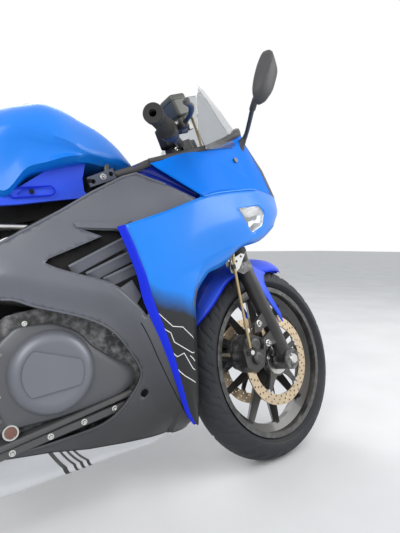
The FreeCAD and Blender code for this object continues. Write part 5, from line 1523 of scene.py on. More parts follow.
    def lamps(self, upper: Net, hole: Sequence[Flat]) -> None:
        """Clear lens in each opening over a bowl with two round reflectors.

        Args:
            upper: net of the wing's upper panel.
            hole: outline of the opening in columns and rows.
        """
        flat, faces = region(list(hole), [(u / 12, v / 12) for u in range(12, 48) for v in range(1, 24)])
        pane = Shape([upper.at(u, v) - upper.normal(u, v) * 1.5 for u, v in flat], faces)
        piece("lamp_lens", outward(pane).both(), Seat.CHASSIS, Ink.CLEAR, ["headlights"],
              solid=2.0, closed=False)
        rim = [upper.at(u, v) - upper.normal(u, v) * 1.0 for u, v in hole]
        middle = sum(rim, Vector()) / len(rim)
        inward = -sum((upper.normal(u, v) for u, v in hole), Vector()).normalized()
        rings = [rim] + [[middle + (p - middle) * share + inward * depth for p in rim]
                         for depth, share in ((12, 0.9), (24, 0.74), (30, 0.4))]
        bowl = ring_loft(rings + [[middle + inward * 31 + (p - middle) * 0.02 for p in rim]], capped=False)
        piece("lamp_bowls", bowl.both(), Seat.CHASSIS, Paint.LAMP, closed=False, solid=1.0)
        eyes = Shape()
        for x, z in ((-88, 722), (-66, 730)):
            u, v = upper.find(x, z)
            at = upper.at(u, v) + inward * 26
            eyes.add(disc(at, -inward, [(0, 11), (4, 11), (6, 9), (9, 8.5), (9.5, 6), (4, 5.5), (3, 0.3)],
                          32))
        piece("lamp_eyes", eyes.both(), Seat.CHASSIS, Paint.BLACK)

    def pattern(self, leg: Net) -> None:
        """Thin white lines on the dark part of the wing.

        Args:
            leg: net of the wing's leg.
        """
        def surface(x: float, z: float) -> tuple[Vector, Vector]:
            """Point and normal of the leg.

            Args:
                x: place along the machine.
                z: height.

            Returns:
                The point and the normal.
            """
            u, v = leg.find(x, z)
            return leg.at(u, v), leg.normal(u, v)
        drawn = Shape()
        for line in self.lines:
            drawn.add(outward(ribbon(surface, line, 1.8)))
        piece("wing_lines", drawn.both(), Seat.CHASSIS, Paint.WHITE, closed=False)


@dataclass
class SidePanel:
    """Dark side panel: louvers, rolled edge over the engine opening and the striped band along its foot."""

    spacing: float = 13.0
    knots: tuple[Point, ...] = (
        (-905, 540, 150), (-840, 590, 160), (-746, 635, 175), (-688, 670, 176), (-625, 708, 176),
        (-557, 753, 174), (-484, 795, 170), (-450, 809, 166), (-380, 781, 180), (-290, 747, 190),
        (-880, 500, 152), (-748, 572, 200), (-661, 553, 204), (-609, 540, 205), (-546, 525, 205),
        (-521, 509, 205), (-499, 484, 205), (-476, 460, 205), (-480, 569, 196), (-464, 500, 203),
        (-438, 434, 205), (-412, 367, 200), (-394, 304, 192), (-384, 271, 186), (-356, 214, 160),
        (-340, 198, 150), (-758, 145, 118), (-711, 147, 122), (-625, 159, 130), (-566, 168, 135),
        (-510, 172, 135), (-425, 173, 130), (-374, 184, 125), (-331, 188, 115), (-757, 223, 172),
        (-628, 227, 178), (-540, 251, 186), (-489, 306, 196), (-478, 343, 198), (-306, 560, 190),
        (-345, 431, 196), (-348, 300, 184), (-600, 640, 184), (-500, 640, 186))
    outline: tuple[Flat, ...] = (
        (-905, 540), (-840, 590), (-746, 635), (-688, 670), (-625, 708), (-557, 753), (-484, 795),
        (-450, 808), (-380, 781), (-306, 750), (-306, 560), (-345, 431), (-348, 300), (-340, 190),
        (-331, 178), (-374, 171), (-425, 164), (-510, 160), (-566, 157), (-625, 150), (-711, 145),
        (-770, 147))
    opening: tuple[Flat, ...] = (
        (-795, 200), (-757, 223), (-702, 217), (-628, 227), (-571, 237), (-543, 248), (-520, 264),
        (-498, 288), (-478, 315), (-470, 338), (-476, 360), (-490, 384), (-506, 408), (-524, 431),
        (-546, 450), (-575, 466), (-610, 480), (-687, 503), (-749, 521), (-880, 500))
    crease: tuple[Flat, ...] = (
        (-860, 560), (-748, 572), (-667, 556), (-602, 539), (-547, 525), (-515, 509), (-490, 484),
        (-459, 428), (-430, 360), (-391, 279), (-352, 214))
    louvers: tuple[Flat, ...] = (
        (-668, 590), (-660, 601), (-548, 650), (-596, 667), (-496, 666), (-478, 618), (-462, 572),
        (-448, 505), (-446, 478), (-455, 462))
    louver_low: tuple[Flat, ...] = (
        (-455, 462), (-470, 483), (-488, 506), (-512, 529), (-546, 548), (-599, 564), (-640, 577),
        (-668, 590))
    slats: tuple[tuple[Flat, Flat], ...] = (
        ((-618, 583), (-478, 655)), ((-583, 567), (-462, 624)), ((-547, 554), (-452, 594)))
    tops: tuple[Flat, ...] = ((-790, 206), (-757, 207), (-661, 200), (-584, 186), (-504, 179), (-366, 174),
                              (-338, 178))
    lows: tuple[Flat, ...] = ((-775, 148), (-757, 143), (-661, 147), (-584, 156), (-504, 161), (-366, 170),
                              (-334, 177))
    floors: tuple[Flat, ...] = ((-790, 112), (-757, 114), (-711, 120), (-625, 133), (-510, 149), (-425, 156),
                                (-366, 168), (-335, 175))
    wedge: tuple[Flat, ...] = ((-603, 680), (-598, 668), (-503, 667), (-472, 688), (-520, 683))
    floor_block: tuple[Flat, ...] = ((-512, 532), (-481, 550), (-462, 512), (-476, 492), (-494, 500))
    hole: Flat = (-463, 293)

    def __post_init__(self) -> None:
        """Fits the surface and smooths the crease."""
        self.surface = Field(self.knots)
        self.fold = [(p.x, p.y) for p in round_path(self.crease, 5)]

    def width(self, x: float, z: float) -> float:
        """Half width of the panel, which drops away towards the engine opening.

        Args:
            x: place along the machine.
            z: height.

        Returns:
            Half the width.
        """
        wide = min(self.surface.width(x, z), 207.0)
        away, side = line_distance((x, z), self.fold)
        if side < 0 and z < 575 and x < -380:
            wide -= 0.38 * (min(away, 46.0) - 9.0 * min(away / 9.0, 1.0) * (1 - 0.5 * min(away / 9.0, 1.0)))
        return wide

    def at(self, x: float, z: float, depth: float = 0.0) -> Vector:
        """Point of the right panel."""
        return Vector((x, -(self.width(x, z) - depth), z))

    def build(self) -> None:
        """Makes both panels and what they carry."""
        mouth = [(p.x, p.y) for p in round_path(self.opening, 4)]
        outline = divide([*self.outline, *mouth], 9, closed=True)
        grid = [(x, z) for x in range(-905, -300, int(self.spacing)) for z in range(145, 815,
                                                                                    int(self.spacing))]
        low = [(p.x, p.y) for p in round_path(self.louver_low, 5)]
        louvers = divide([*self.louvers, *low[1:-1]], 8, closed=True)
        bore = [(self.hole[0] + 9 * math.cos(t), self.hole[1] + 9.5 * math.sin(t))
                for t in (2 * math.pi * i / 20 for i in range(20))]
        grid += [(x + 6.5, z + 6.5) for x, z in grid if abs(line_distance((x, z), self.fold)[0]) < 70]
        flat, faces = region(outline, grid, [louvers, bore], [divide(self.fold[5:-5], 6)])
        panel = outward(Shape([self.at(x, z) for x, z in flat], faces))
        # The panels take the grey with painted light and shade, darker towards the foot.
        for name, form in (("panel_right", panel), ("panel_left", panel.mirrored())):
            piece(name, form, Seat.CHASSIS, Paint.SHADED_PANEL, [name.replace("panel", "side_fairing")],
                  solid=3.0, closed=False, angle=24)
        self.lip()
        self.grille(louvers)
        self.band()

    def lip(self) -> None:
        """Rolled edge round the engine opening with its turned-in wall."""
        path = [(p.x, p.y) for p in round_path(self.opening, 4)][4:-4]
        outer = [self.at(x, z) for x, z in path]
        inner = [self.at(x, z, 15.0) for x, z in path]
        wall = strip(outer, [(a + b) / 2 for a, b in zip(outer, inner)], inner)
        piece("panel_returns", outward(wall, (-1, 0, 0)).both(), Seat.CHASSIS, Paint.SHADED_PANEL,
              solid=2.0, closed=False)
        roll = pipe([p + Vector((0, 0.5, 0)) for p in outer], 2.6, 10)
        top = [self.at(x, z, 1.0) for x, z in divide(self.outline[:9], 12)]
        roll.add(pipe(top, 3.2, 10))
        # Thin black line along the lower fold: painted shade in the crease.
        groove = [self.at(x, z, -0.2) for x, z in divide(self.fold, 10) if z < 462]
        piece("panel_fold_shade", pipe(groove, 1.1, 8).both(), Seat.CHASSIS, Paint.SHADE)
        bore = [Vector((self.hole[0] + 9 * math.cos(t), 0, self.hole[1] + 9.5 * math.sin(t)))
                for t in (2 * math.pi * i / 20 for i in range(21))]
        roll.add(strip([self.at(p.x, p.z) for p in bore], [self.at(p.x, p.z, 16.0) for p in bore]))
        piece("panel_lips", roll.both(), Seat.CHASSIS, Paint.SHADED_PANEL, closed=False)

    def grille(self, louvers: Sequence[Flat]) -> None:
        """Frame and rising blades of the louver opening, and a black floor behind them that is painted shade.

        Args:
            louvers: outline of the opening.
        """
        rim, floor = [self.at(x, z) for x, z in louvers], [self.at(x, z, 15.0) for x, z in louvers]
        rim.append(rim[0])
        floor.append(floor[0])
        frame_wall = strip(rim, floor)
        blades = Shape()
        for low, high in self.slats:
            way = (Vector(high) - Vector(low)).normalized()
            down = Vector((way.y, -way.x))
            rows = []
            for k in range(13):
                at = Vector(low) + (Vector(high) - Vector(low)) * (k / 12)
                sink = 3.5 + (6.0 if k == 0 else 0.0)
                ring = []
                for out, fall in ((0.0, -3.0), (0.0, 2.0), (2.5, 4.5), (9.0, 22.0), (12.0, 24.0), (12.0, 0.0),
                                  (6.0, -3.0)):
                    x, z = at.x + down.x * fall, at.y + down.y * fall
                    ring.append(self.at(x, z, sink + out))
                rows.append(ring)
            blades.add(ring_loft(rows))
        for outline, deep, tall in ((self.wedge, 2.0, -4.5), (self.floor_block, 16.0, 9.0)):
            ring = divide(rounded(outline, 2.0, 2), 12, closed=True)
            middle = centre_of(ring)
            inner = [middle + (Vector(p) - middle) * 0.94 for p in ring]
            blades.add(ring_loft([[self.at(x, z, deep) for x, z in ring],
                                  [self.at(x, z, tall + 1) for x, z in ring],
                                  [self.at(p.x, p.y, tall) for p in inner]]))
        piece("louver_frames", frame_wall.both(), Seat.CHASSIS, Paint.SHADED_PANEL, solid=1.5,
              closed=False)
        piece("louver_blades", blades.both(), Seat.CHASSIS, Paint.SHADED_PANEL, bevel=0.8)
        # Black sheet behind the blades: painted shade inside the vent.
        flat, faces = region(list(louvers), [(x, z) for x in range(-660, -448, 12) for z in range(470, 666,
                                                                                                  12)])
        back = outward(Shape([self.at(x, z, 17.0) for x, z in flat], faces))
        piece("louver_shade_floors", back.both(), Seat.CHASSIS, Paint.SHADE, closed=False,
              solid=1.0)

    def edge(self, table: Sequence[Flat], x: float) -> float:
        """Height of a line of the side view at x.

        Args:
            table: points of the line.
            x: place along the machine.

        Returns:
            The height.
        """
        for (x0, z0), (x1, z1) in zip(table, table[1:]):
            if x0 <= x <= x1:
                return z0 + (z1 - z0) * (x - x0) / (x1 - x0)
        return table[0][1] if x < table[0][0] else table[-1][1]

    def foot(self, x: float, share: float, lift: float = 0.0) -> Vector:
        """Point of the foot: down the panel to its edge, round the fold and under the belly.

        Args:
            x: place along the machine.
            share: 0 at the band's top, 1 on the panel's edge, 2 well under the belly.
            lift: distance above the surface.

        Returns:
            The point.
        """
        low, floor = self.edge(self.lows, x), self.edge(self.floors, x)
        if share <= 1:
            top = self.edge(self.tops, x)
            return self.at(x, top + (low + 1.5 - top) * share) + Vector((0, -lift, -0.4 * lift))
        wide = self.width(x, low + 1.5)
        bend = share - 1
        across = wide - 1.0 - 0.06 * wide * min(bend / 0.3, 1.0) ** 2 - 0.44 * wide * max(bend - 0.3,
                                                                                          0.0) / 0.7
        down = low + 1.5 + (floor - low - 1.5) * (1 - (1 - min(bend / 0.42, 1.0)) ** 2)
        return Vector((x, -across - 0.5 * lift, down - lift))

    def band(self) -> None:
        """Silver band round the panel's foot with slanted black stripes and no lettering."""
        xs = [-790 + 7.0 * k for k in range(65)]
        shares = [k / 4 for k in range(5)] + [1.06 + 0.94 * k / 14 for k in range(15)]
        under = [[self.foot(x, s) for x in [-790 + 12.0 * k for k in range(39)]] for s in shares[4:]]
        under.append([Vector((p.x, -12, p.z)) for p in under[-1]])
        shell = outward(strip(*under), (0, 0, -1))
        piece("belly_tray", shell.both(), Seat.CHASSIS, Ink.PLASTIC, ["belly_pan"],
              solid=2.5, closed=False)
        sheet = strip(*[[self.foot(x, s, 0.9) for x in xs] for s in shares])
        piece("foot_band", outward(sheet).both(), Seat.CHASSIS, Paint.BAND,
              closed=False)
        marks = Shape()
        for x, wide in ((-652, 9.0), (-630, 5.5), (-616, 6.0), (-602, 6.0)):
            rows = []
            for share in shares[:-2]:
                here = x + 32 * min(share, 1.35) - 16
                rows.append([self.foot(here + w, share, 1.5) for w in (0, wide / 2, wide)])
            marks.add(outward(strip(*rows)))
        piece("foot_marks", marks.both(), Seat.CHASSIS, Paint.BLACK, closed=False)


@dataclass
class Cowls:
    """Recess behind the nose, painted dark blue as shade, and the black strip above it."""

    strip_line: tuple[tuple[Point, Point], ...] = (
        ((-500, 150, 814), (-490, 150, 798)), ((-455, 155, 830), (-449, 157, 813)),
        ((-413, 160, 850), (-405, 162, 834)), ((-370, 158, 865), (-366, 160, 850)),
        ((-335, 155, 874), (-334, 158, 860)))
    recess_top: tuple[Point, ...] = ((-455, 158, 828), (-419, 160, 838), (-357, 168, 815), (-285, 180, 775))
    recess_low: tuple[Point, ...] = ((-449, 163, 800), (-430, 165, 795), (-370, 174, 772), (-290, 186, 742))

    def build(self) -> None:
        """Makes both sides."""
        def right(line: Sequence[Point]) -> list[Vector]:
            """Smooth line on the machine's right side."""
            return round_path([(x, -y, z) for x, y, z in line], 6)
        middle = [(a[0], (a[1] + b[1]) / 2 - 9, (a[2] + b[2]) / 2) for a, b in zip(self.recess_top,
                                                                                   self.recess_low)]
        # The recess gets dark navy: painted shade in the hollow behind the nose.
        hollow = outward(strip(right(self.recess_top), right(middle), right(self.recess_low)))
        piece("inner_recess", hollow.both(), Seat.CHASSIS, Paint.RECESS_SHADE, ["inner_cowls"],
              solid=2.0, closed=False)
        rows = [right([a for a, _ in self.strip_line]), right([b for _, b in self.strip_line])]
        blade = outward(strip(rows[0], [(a + b) / 2 + Vector((0, -2, 0)) for a, b in zip(*rows)], rows[1]))
        piece("inner_strip", blade.both(), Seat.CHASSIS, Ink.PLASTIC, solid=3.0,
              closed=False)


SUBASSEMBLIES += [Tank(), Nose(), Wing(), SidePanel(), Cowls()]


# Wheels


@dataclass
class Tyre:
    """Tyre with slanted tread grooves, a ridged flank and a bead on the rim."""

    name: str
    node: str
    seat: Seat
    middle: float
    crown: float
    bead: float
    pitches: int = 36
    groove: float = 3.0
    slant: float = 1.35
    rim_radius: float = 232.0
    crown_end: float = 80.0

    def section(self) -> list[tuple[float, float, float]]:
        """Half profile from the crown to the bead as (radius, y, angle from the crown).

        Returns:
            Points of the profile.
        """
        angles = [0, 4, 8, 9.5, 16, 24, 25.5, 34, 44, 52, 53.5, 60, 66, 67.5, 74, 80]
        found = []
        for a in angles:
            t = math.radians(a)
            found.append((self.middle + self.crown * math.cos(t), self.crown * math.sin(t), float(a)))
        end = math.radians(self.crown_end)
        for k, (share, bulge) in enumerate(((0.12, 0.0), (0.16, 0.9), (0.22, 0.9), (0.26, 0.0), (0.5, 0.0),
                                            (0.53, 0.8), (0.57, 0.8), (0.6, 0.0), (0.8, 0.0), (0.92, 0.6),
                                            (1.0, 0.0))):
            top = self.middle + self.crown * math.cos(end)
            r = top + (self.rim_radius - top) * share
            side = self.crown * math.sin(end)
            y = side + (self.bead - side) * share ** 2.2 + bulge
            found.append((r, y, 90.0 + k))
        found.append((self.rim_radius - 2.5, self.bead - 4, 120.0))
        found.append((self.rim_radius - 7.0, self.bead - 12, 121.0))
        return found

    def depth(self, column: int, pitch: int, angle: float) -> float:
        """Depth of the tread's grooves at a mesh column of a pitch.

        Args:
            column: column of the mesh in its pitch.
            pitch: number of the pitch.
            angle: degrees from the crown.

        Returns:
            The depth.
        """
        if column in (1, 2):
            low, high = ((8.5, 53) if pitch % 2 else (24.5, 67))
            if low < angle < high:
                return self.groove
        if column in (5, 6) and 52.5 < angle < 75:
            return self.groove * 0.7
        return 0.0

    def build(self) -> None:
        """Makes the tyre."""
        half = self.section()
        columns = [0.0, 0.06, 0.2, 0.26, 0.5, 0.56, 0.66, 0.72, 0.86]
        rings = []
        for pitch in range(self.pitches):
            for number, column in enumerate(columns):
                ring = []
                for sign in (1, -1):
                    for r, y, angle in (half if sign > 0 else half[::-1]):
                        if sign < 0 and angle == 0.0:
                            continue
                        turn = self.slant * min(angle, 80.0) / 80.0 + (0.5 if sign < 0
                                                                       else 0.0) * min(angle, 16) / 16
                        at = 2 * math.pi * (pitch + column + turn) / self.pitches
                        reach = r - self.depth(number, pitch, angle) if angle < 85 else r
                        ring.append((reach * math.cos(at), sign * y, reach * math.sin(at)))
                rings.append(ring)
        piece(self.name, loop_loft(rings), self.seat, Ink.TYRE, [self.node], angle=38)


@dataclass
class Disc:
    """Perforated ring, its black carrier with silver buttons, and a bright ring at the hub."""

    name: str
    seat: Seat
    place: tuple[float, ...]
    outer: float
    inner: float
    thick: float = 4.5
    cells: int = 90
    bore: float = 2.9
    arms: int = 5
    hub_face: float = 48.0

    def ring(self, at: float) -> Shape:
        """Ring with its holes, in the wheel's own frame.

        Args:
            at: place of the disc across the wheel.

        Returns:
            The closed shape.
        """
        shape, rows = Shape(), 3
        step = 2 * math.pi / self.cells

        def point(angle: float, r: float, y: float) -> tuple[float, float, float]:
            """Point at an angle and a radius."""
            return r * math.cos(angle), y, r * math.sin(angle)
        for i in range(self.cells):
            for j in range(rows):
                r0 = self.inner + (self.outer - self.inner) * j / rows
                r1 = self.inner + (self.outer - self.inner) * (j + 1) / rows
                a0, a1, rm = i * step, (i + 1) * step, (r0 + r1) / 2
                rim = [(a0, r0), ((a0 + a1) / 2, r0), (a1, r0), (a1, rm), (a1, r1), ((a0 + a1) / 2, r1),
                       (a0, r1), (a0, rm)]
                faces = []
                for y in (at - self.thick / 2, at + self.thick / 2):
                    faces.append([point(a, r, y) for a, r in rim])
                start = len(shape.points)
                if (i + j) % 3:
                    shape.points += [Vector(p) for side in faces for p in side]
                    shape.faces += [tuple(range(start, start + 8)), tuple(range(start + 15, start + 7, -1))]
                    continue
                middle = (a0 + a1) / 2
                for side, y in zip(faces, (at - self.thick / 2, at + self.thick / 2)):
                    shape.points += [Vector(p) for p in side]
                    for a, r in rim:
                        away = Vector(((a - middle) * rm, r - rm)).normalized() * self.bore
                        shape.points.append(Vector(point(middle + away.x / rm, rm + away.y, y)))
                for k in range(8):
                    n = (k + 1) % 8
                    shape.faces.append((start + k, start + n, start + 8 + n, start + 8 + k))
                    shape.faces.append((start + 16 + n, start + 16 + k, start + 24 + k, start + 24 + n))
                    shape.faces.append((start + 8 + k, start + 8 + n, start + 24 + n, start + 24 + k))
        for r in (self.inner, self.outer):
            wall = [[point(k * step / 2, r, y) for k in range(2 * self.cells + 1)]
                    for y in (at - self.thick / 2, at + self.thick / 2)]
            shape.add(strip(*wall))
        return shape

    def build(self) -> None:
        """Makes the discs of one wheel."""
        rings, carriers, buttons, hubs = Shape(), Shape(), Shape(), Shape()
        for at in self.place:
            out = 1 if at > 0 else -1
            rings.add(self.ring(at))
            seat_y = out * self.hub_face
            carriers.add(turned([(28, seat_y), (47, seat_y), (50, at - out * 2.2), (50, at + out * 2.2),
                                 (28, at + out * 2.2)], 60))
            for k in range(self.arms):
                turn = Matrix.Rotation(-2 * math.pi * k / self.arms, 4, "Y")
                outline = [(44, -17), (66, -10), (self.inner - 8, -8), (self.inner + 1, -11),
                           (self.inner + 1, 11), (self.inner - 8, 8), (66, 10), (44, 17)]
                arm = ring_loft([[(x, y, z) for x, z in rounded(outline, 5, 3)]
                                 for y in (at - 1.9, at + 1.9)])
                carriers.add(arm.moved(turn))
                for side in (-7.5, 7.5):
                    button = disc((self.inner - 1, at - 3.4, side), (0, 1, 0),
                                  [(0, 4.2), (0, 4.9), (6.8, 4.9), (6.8, 4.0), (6.2, 3.4), (6.2, 0.2)], 20)
                    buttons.add(button.moved(turn))
                bolt_at = turn @ Vector((40, 0, 0))
                buttons.add(bolt((bolt_at.x, at + out * 2.2, bolt_at.z), (0, out, 0), 4.2, 4.5))
            slots = turned([(31, at + out * 2.2), (44.5, at + out * 2.2), (44.5, at + out * 4.2),
                            (31, at + out * 4.2)],
                           60)
            hubs.add(slots)
        piece(self.name + "_rings", rings, self.seat, Ink.GOLD, [self.name], closed=True,
              angle=30)
        piece(self.name + "_carriers", carriers, self.seat, Ink.WHEEL, bevel=0.6)
        piece(self.name + "_buttons", buttons, self.seat, Ink.ZINC)
        piece(self.name + "_hub_rings", hubs, self.seat, Ink.ZINC, bevel=0.4)


@dataclass
class RimTrim:
    """Tyre valve with its green cap."""

    seat: Seat
    angle: float
    name: str

    def build(self) -> None:
        """Makes the valve."""
        t = math.radians(self.angle)
        way = Vector((-math.cos(t), 0, -math.sin(t)))
        base = -way * 193 + Vector((0, -8, 0))
        stem = disc(base, way, [(-6, 6), (2, 6), (4, 4), (12, 3.6), (12, 3), (22, 3)], 16)
        piece(self.name + "_stem", stem, self.seat, Ink.RUBBER)
        cap = disc(base + way * 21, way, [(0, 4.2), (9, 4.2), (10.5, 3.2), (10.5, 0.2)], 16)
        piece(self.name + "_cap", cap, self.seat, Valve.GREEN)


class Valve(Enum):
    """Finish of the valve caps."""

    GREEN = Finish("cap_green", (0.12, 0.45, 0.1), rough=0.4, dust_and_sheen=0.1)


SUBASSEMBLIES += [
    Tyre("front_tread", "front_tyre", Seat.FRONT_WHEEL, 237.0, 56.0, 41.0),
    Tyre("rear_tread", "rear_tyre", Seat.REAR_WHEEL, 243.0, 71.0, 54.0, pitches=38),
    Disc("front_discs", Seat.FRONT_WHEEL, (-58.0, 58.0), 135.0, 104.0),
    Disc("rear_disc", Seat.REAR_WHEEL, (-58.0,), 110.0, 80.0, cells=72, bore=2.7),
    RimTrim(Seat.FRONT_WHEEL, -68.0, "front_valve"),
    RimTrim(Seat.REAR_WHEEL, -120.0, "rear_valve"),
]


# Front end


BAR_START = Vector((-45.0, -122.0, 690.0))
BAR_END = Vector((-292.0, -335.0, 709.0))
BAR_WAY = (BAR_END - BAR_START).normalized()
BAR_ACROSS = BAR_WAY.cross(Vector((0, 0, 1))).normalized()
GRIP_LENGTH = 122.0


def bar_point(back: float, up: float = 0.0, ahead: float = 0.0) -> Vector:
    """Point on the right bar, measured inwards from its end, in the fork's frame."""
    return BAR_END - BAR_WAY * back + Vector((0, 0, up)) - BAR_ACROSS * ahead


class Detail(Enum):
    """Finishes of the small parts in front."""

    TAB = Finish("tab_silver", (0.4, 0.4, 0.39), rough=0.4, metal=0.5, dust_and_sheen=0.1)
    BRACE = Finish("mass_black", (0.01, 0.01, 0.011), rough=0.5, grain=0.03, dust_and_sheen=0.1, specular=0.3)
    HOSE = Finish("hose_braid", (0.46, 0.35, 0.17), rough=0.32, metal=0.6, coat=0.4, grain=0.35,
                  grain_scale=1500, dust_and_sheen=0.1)
    SILVER = Finish("bolt_silver", (0.72, 0.72, 0.7), rough=0.25, metal=1.0, dust_and_sheen=0.08)
    POT = Finish("pot_grey", (0.05, 0.056, 0.047), rough=0.4, coat=0.2, dust_and_sheen=0.15)
    KILL = Finish("switch_red", (0.55, 0.012, 0.01), rough=0.35, dust_and_sheen=0.05)
    SWITCH = Finish("switch_black", (0.02, 0.02, 0.021), rough=0.45, grain=0.03, dust_and_sheen=0.12)


@dataclass
class BrakeHose:
    """Braided hose from the master cylinder to the right caliper."""

    radius: float = 4.0
    route: tuple[Point, ...] = (
        (-38, -172, 768), (14, -140, 784), (62, -104, 770), (76, -84, 712), (68, -74, 640), (52, -72, 566),
        (46, -86, 496), (44, -104, 440), (10, -132, 404), (-44, -134, 384), (-70, -126, 320),
        (-120, -104, 108))

    def build(self) -> None:
        """Makes the hose as one smooth curve."""
        start = bar_point(GRIP_LENGTH + 88, 2, 45)
        line = bpy.data.curves.new("brake_line", "CURVE")
        line.dimensions, line.bevel_depth, line.bevel_resolution = "3D", self.radius * MM, 5
        line.resolution_u, line.use_fill_caps = 12, True
        spline = line.splines.new("NURBS")
        points = [start] + [Vector(p) for p in self.route]
        spline.points.add(len(points) - 1)
        for knot, at in zip(spline.points, points):
            knot.co = (*(at * MM), 1.0)
        spline.order_u, spline.use_endpoint_u = 3, True
        made = bpy.data.objects.new("brake_line", line)
        bpy.context.scene.collection.objects.link(made)
        made.matrix_world = Seat.STEERING.place
        line.materials.append(Detail.HOSE.value.material())
        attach(made, "steering")
        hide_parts("brake_hose")

    @staticmethod
    def length(points: Sequence[Vector]) -> float:
        """Length of the smooth curve in metres.

        Args:
            points: control points of the cord.

        Returns:
            The length in metres.
        """
        path = [points[0]]
        for i in range(1, len(points) - 1):
            a = points[0] if i == 1 else (points[i - 1] + points[i]) / 2
            c = points[-1] if i == len(points) - 2 else (points[i] + points[i + 1]) / 2
            for k in range(1, 25):
                t = k / 24
                path.append(a * (1 - t) ** 2 + points[i] * 2 * t * (1 - t) + c * t * t)
        return sum((b - a).length for a, b in zip(path, path[1:])) * MM


@dataclass
class Mirrors:
    """Black mirror housings with their glass, stalks and feet."""

    stalk: tuple[Point, ...] = ((-86, -88, 950), (-84, -118, 974), (-110, -176, 984), (-138, -232, 990),
                                (-142, -262, 1014))
    foot: tuple[Point, ...] = ((-92, -84, 938), (-86, -92, 956), (-83, -106, 967))
    front: tuple[Flat, ...] = ((-121, 1124), (-136, 1108), (-156, 1070), (-172, 1026), (-176, 996),
                               (-163, 978))
    rear: tuple[Flat, ...] = ((-116, 1120), (-106, 1104), (-97, 1084), (-98, 1060), (-118, 1012), (-146, 978))
    layers: tuple[Flat, ...] = ((0.0, 0.55), (8.0, 0.85), (16.0, 0.97), (24.0, 1.0), (30.0, 1.0))

    def shell(self) -> list[list[Point]]:
        """Rings of the housing, from its back to its open face.

        Returns:
            The rings.
        """
        loop = [Vector(p) for p in (*self.front, *self.rear[::-1])]
        middle = sum(loop, Vector((0, 0))) / len(loop)
        rings = []
        for depth, share in self.layers:
            ring = []
            for x, z in close_path([tuple(middle + (p - middle) * share) for p in loop], 5):
                lean = 0.42 * (x + 130)
                ring.append((x + 0.5 * (24 - depth), -306 + lean - 0.12 * (z - 1040) + 0.9 * depth, z))
            rings.append(ring)
        return rings

    def build(self) -> None:
        """Makes both mirrors."""
        stalk = pipe(round_path(self.stalk, 8), [7.5] * 8 + [6.5] * 16 + [9] * 9, 16, 0.85)
        boot = pipe(self.foot, [17, 13, 8], 20)
        rings = self.shell()
        pane_ring = [Vector(p) + Vector((-1.5, 1.2, 0)) for p in rings[-1]]
        middle = sum(pane_ring, Vector()) / len(pane_ring)
        pane = ring_loft([[middle + (p - middle) * 0.93 for p in pane_ring],
                          [middle + (p - middle) * 0.93 + Vector((-0.6, 1.0, 0)) for p in pane_ring]])
        body = Shape().add(stalk, boot)
        shells = ["mirror_right", "mirror_left"]
        for name, form, ink, nodes, slot in (("mirror_shells", ring_loft(rings), Ink.PLASTIC, shells,
                                              "black_plastic"),
                                             ("mirror_stalks", body, Ink.PLASTIC, (), "black_plastic"),
                                             ("mirror_panes", pane, Paint.MIRROR, (), "zinc")):
            piece(name, form.both(), Seat.CHASSIS, ink, nodes, angle=40)


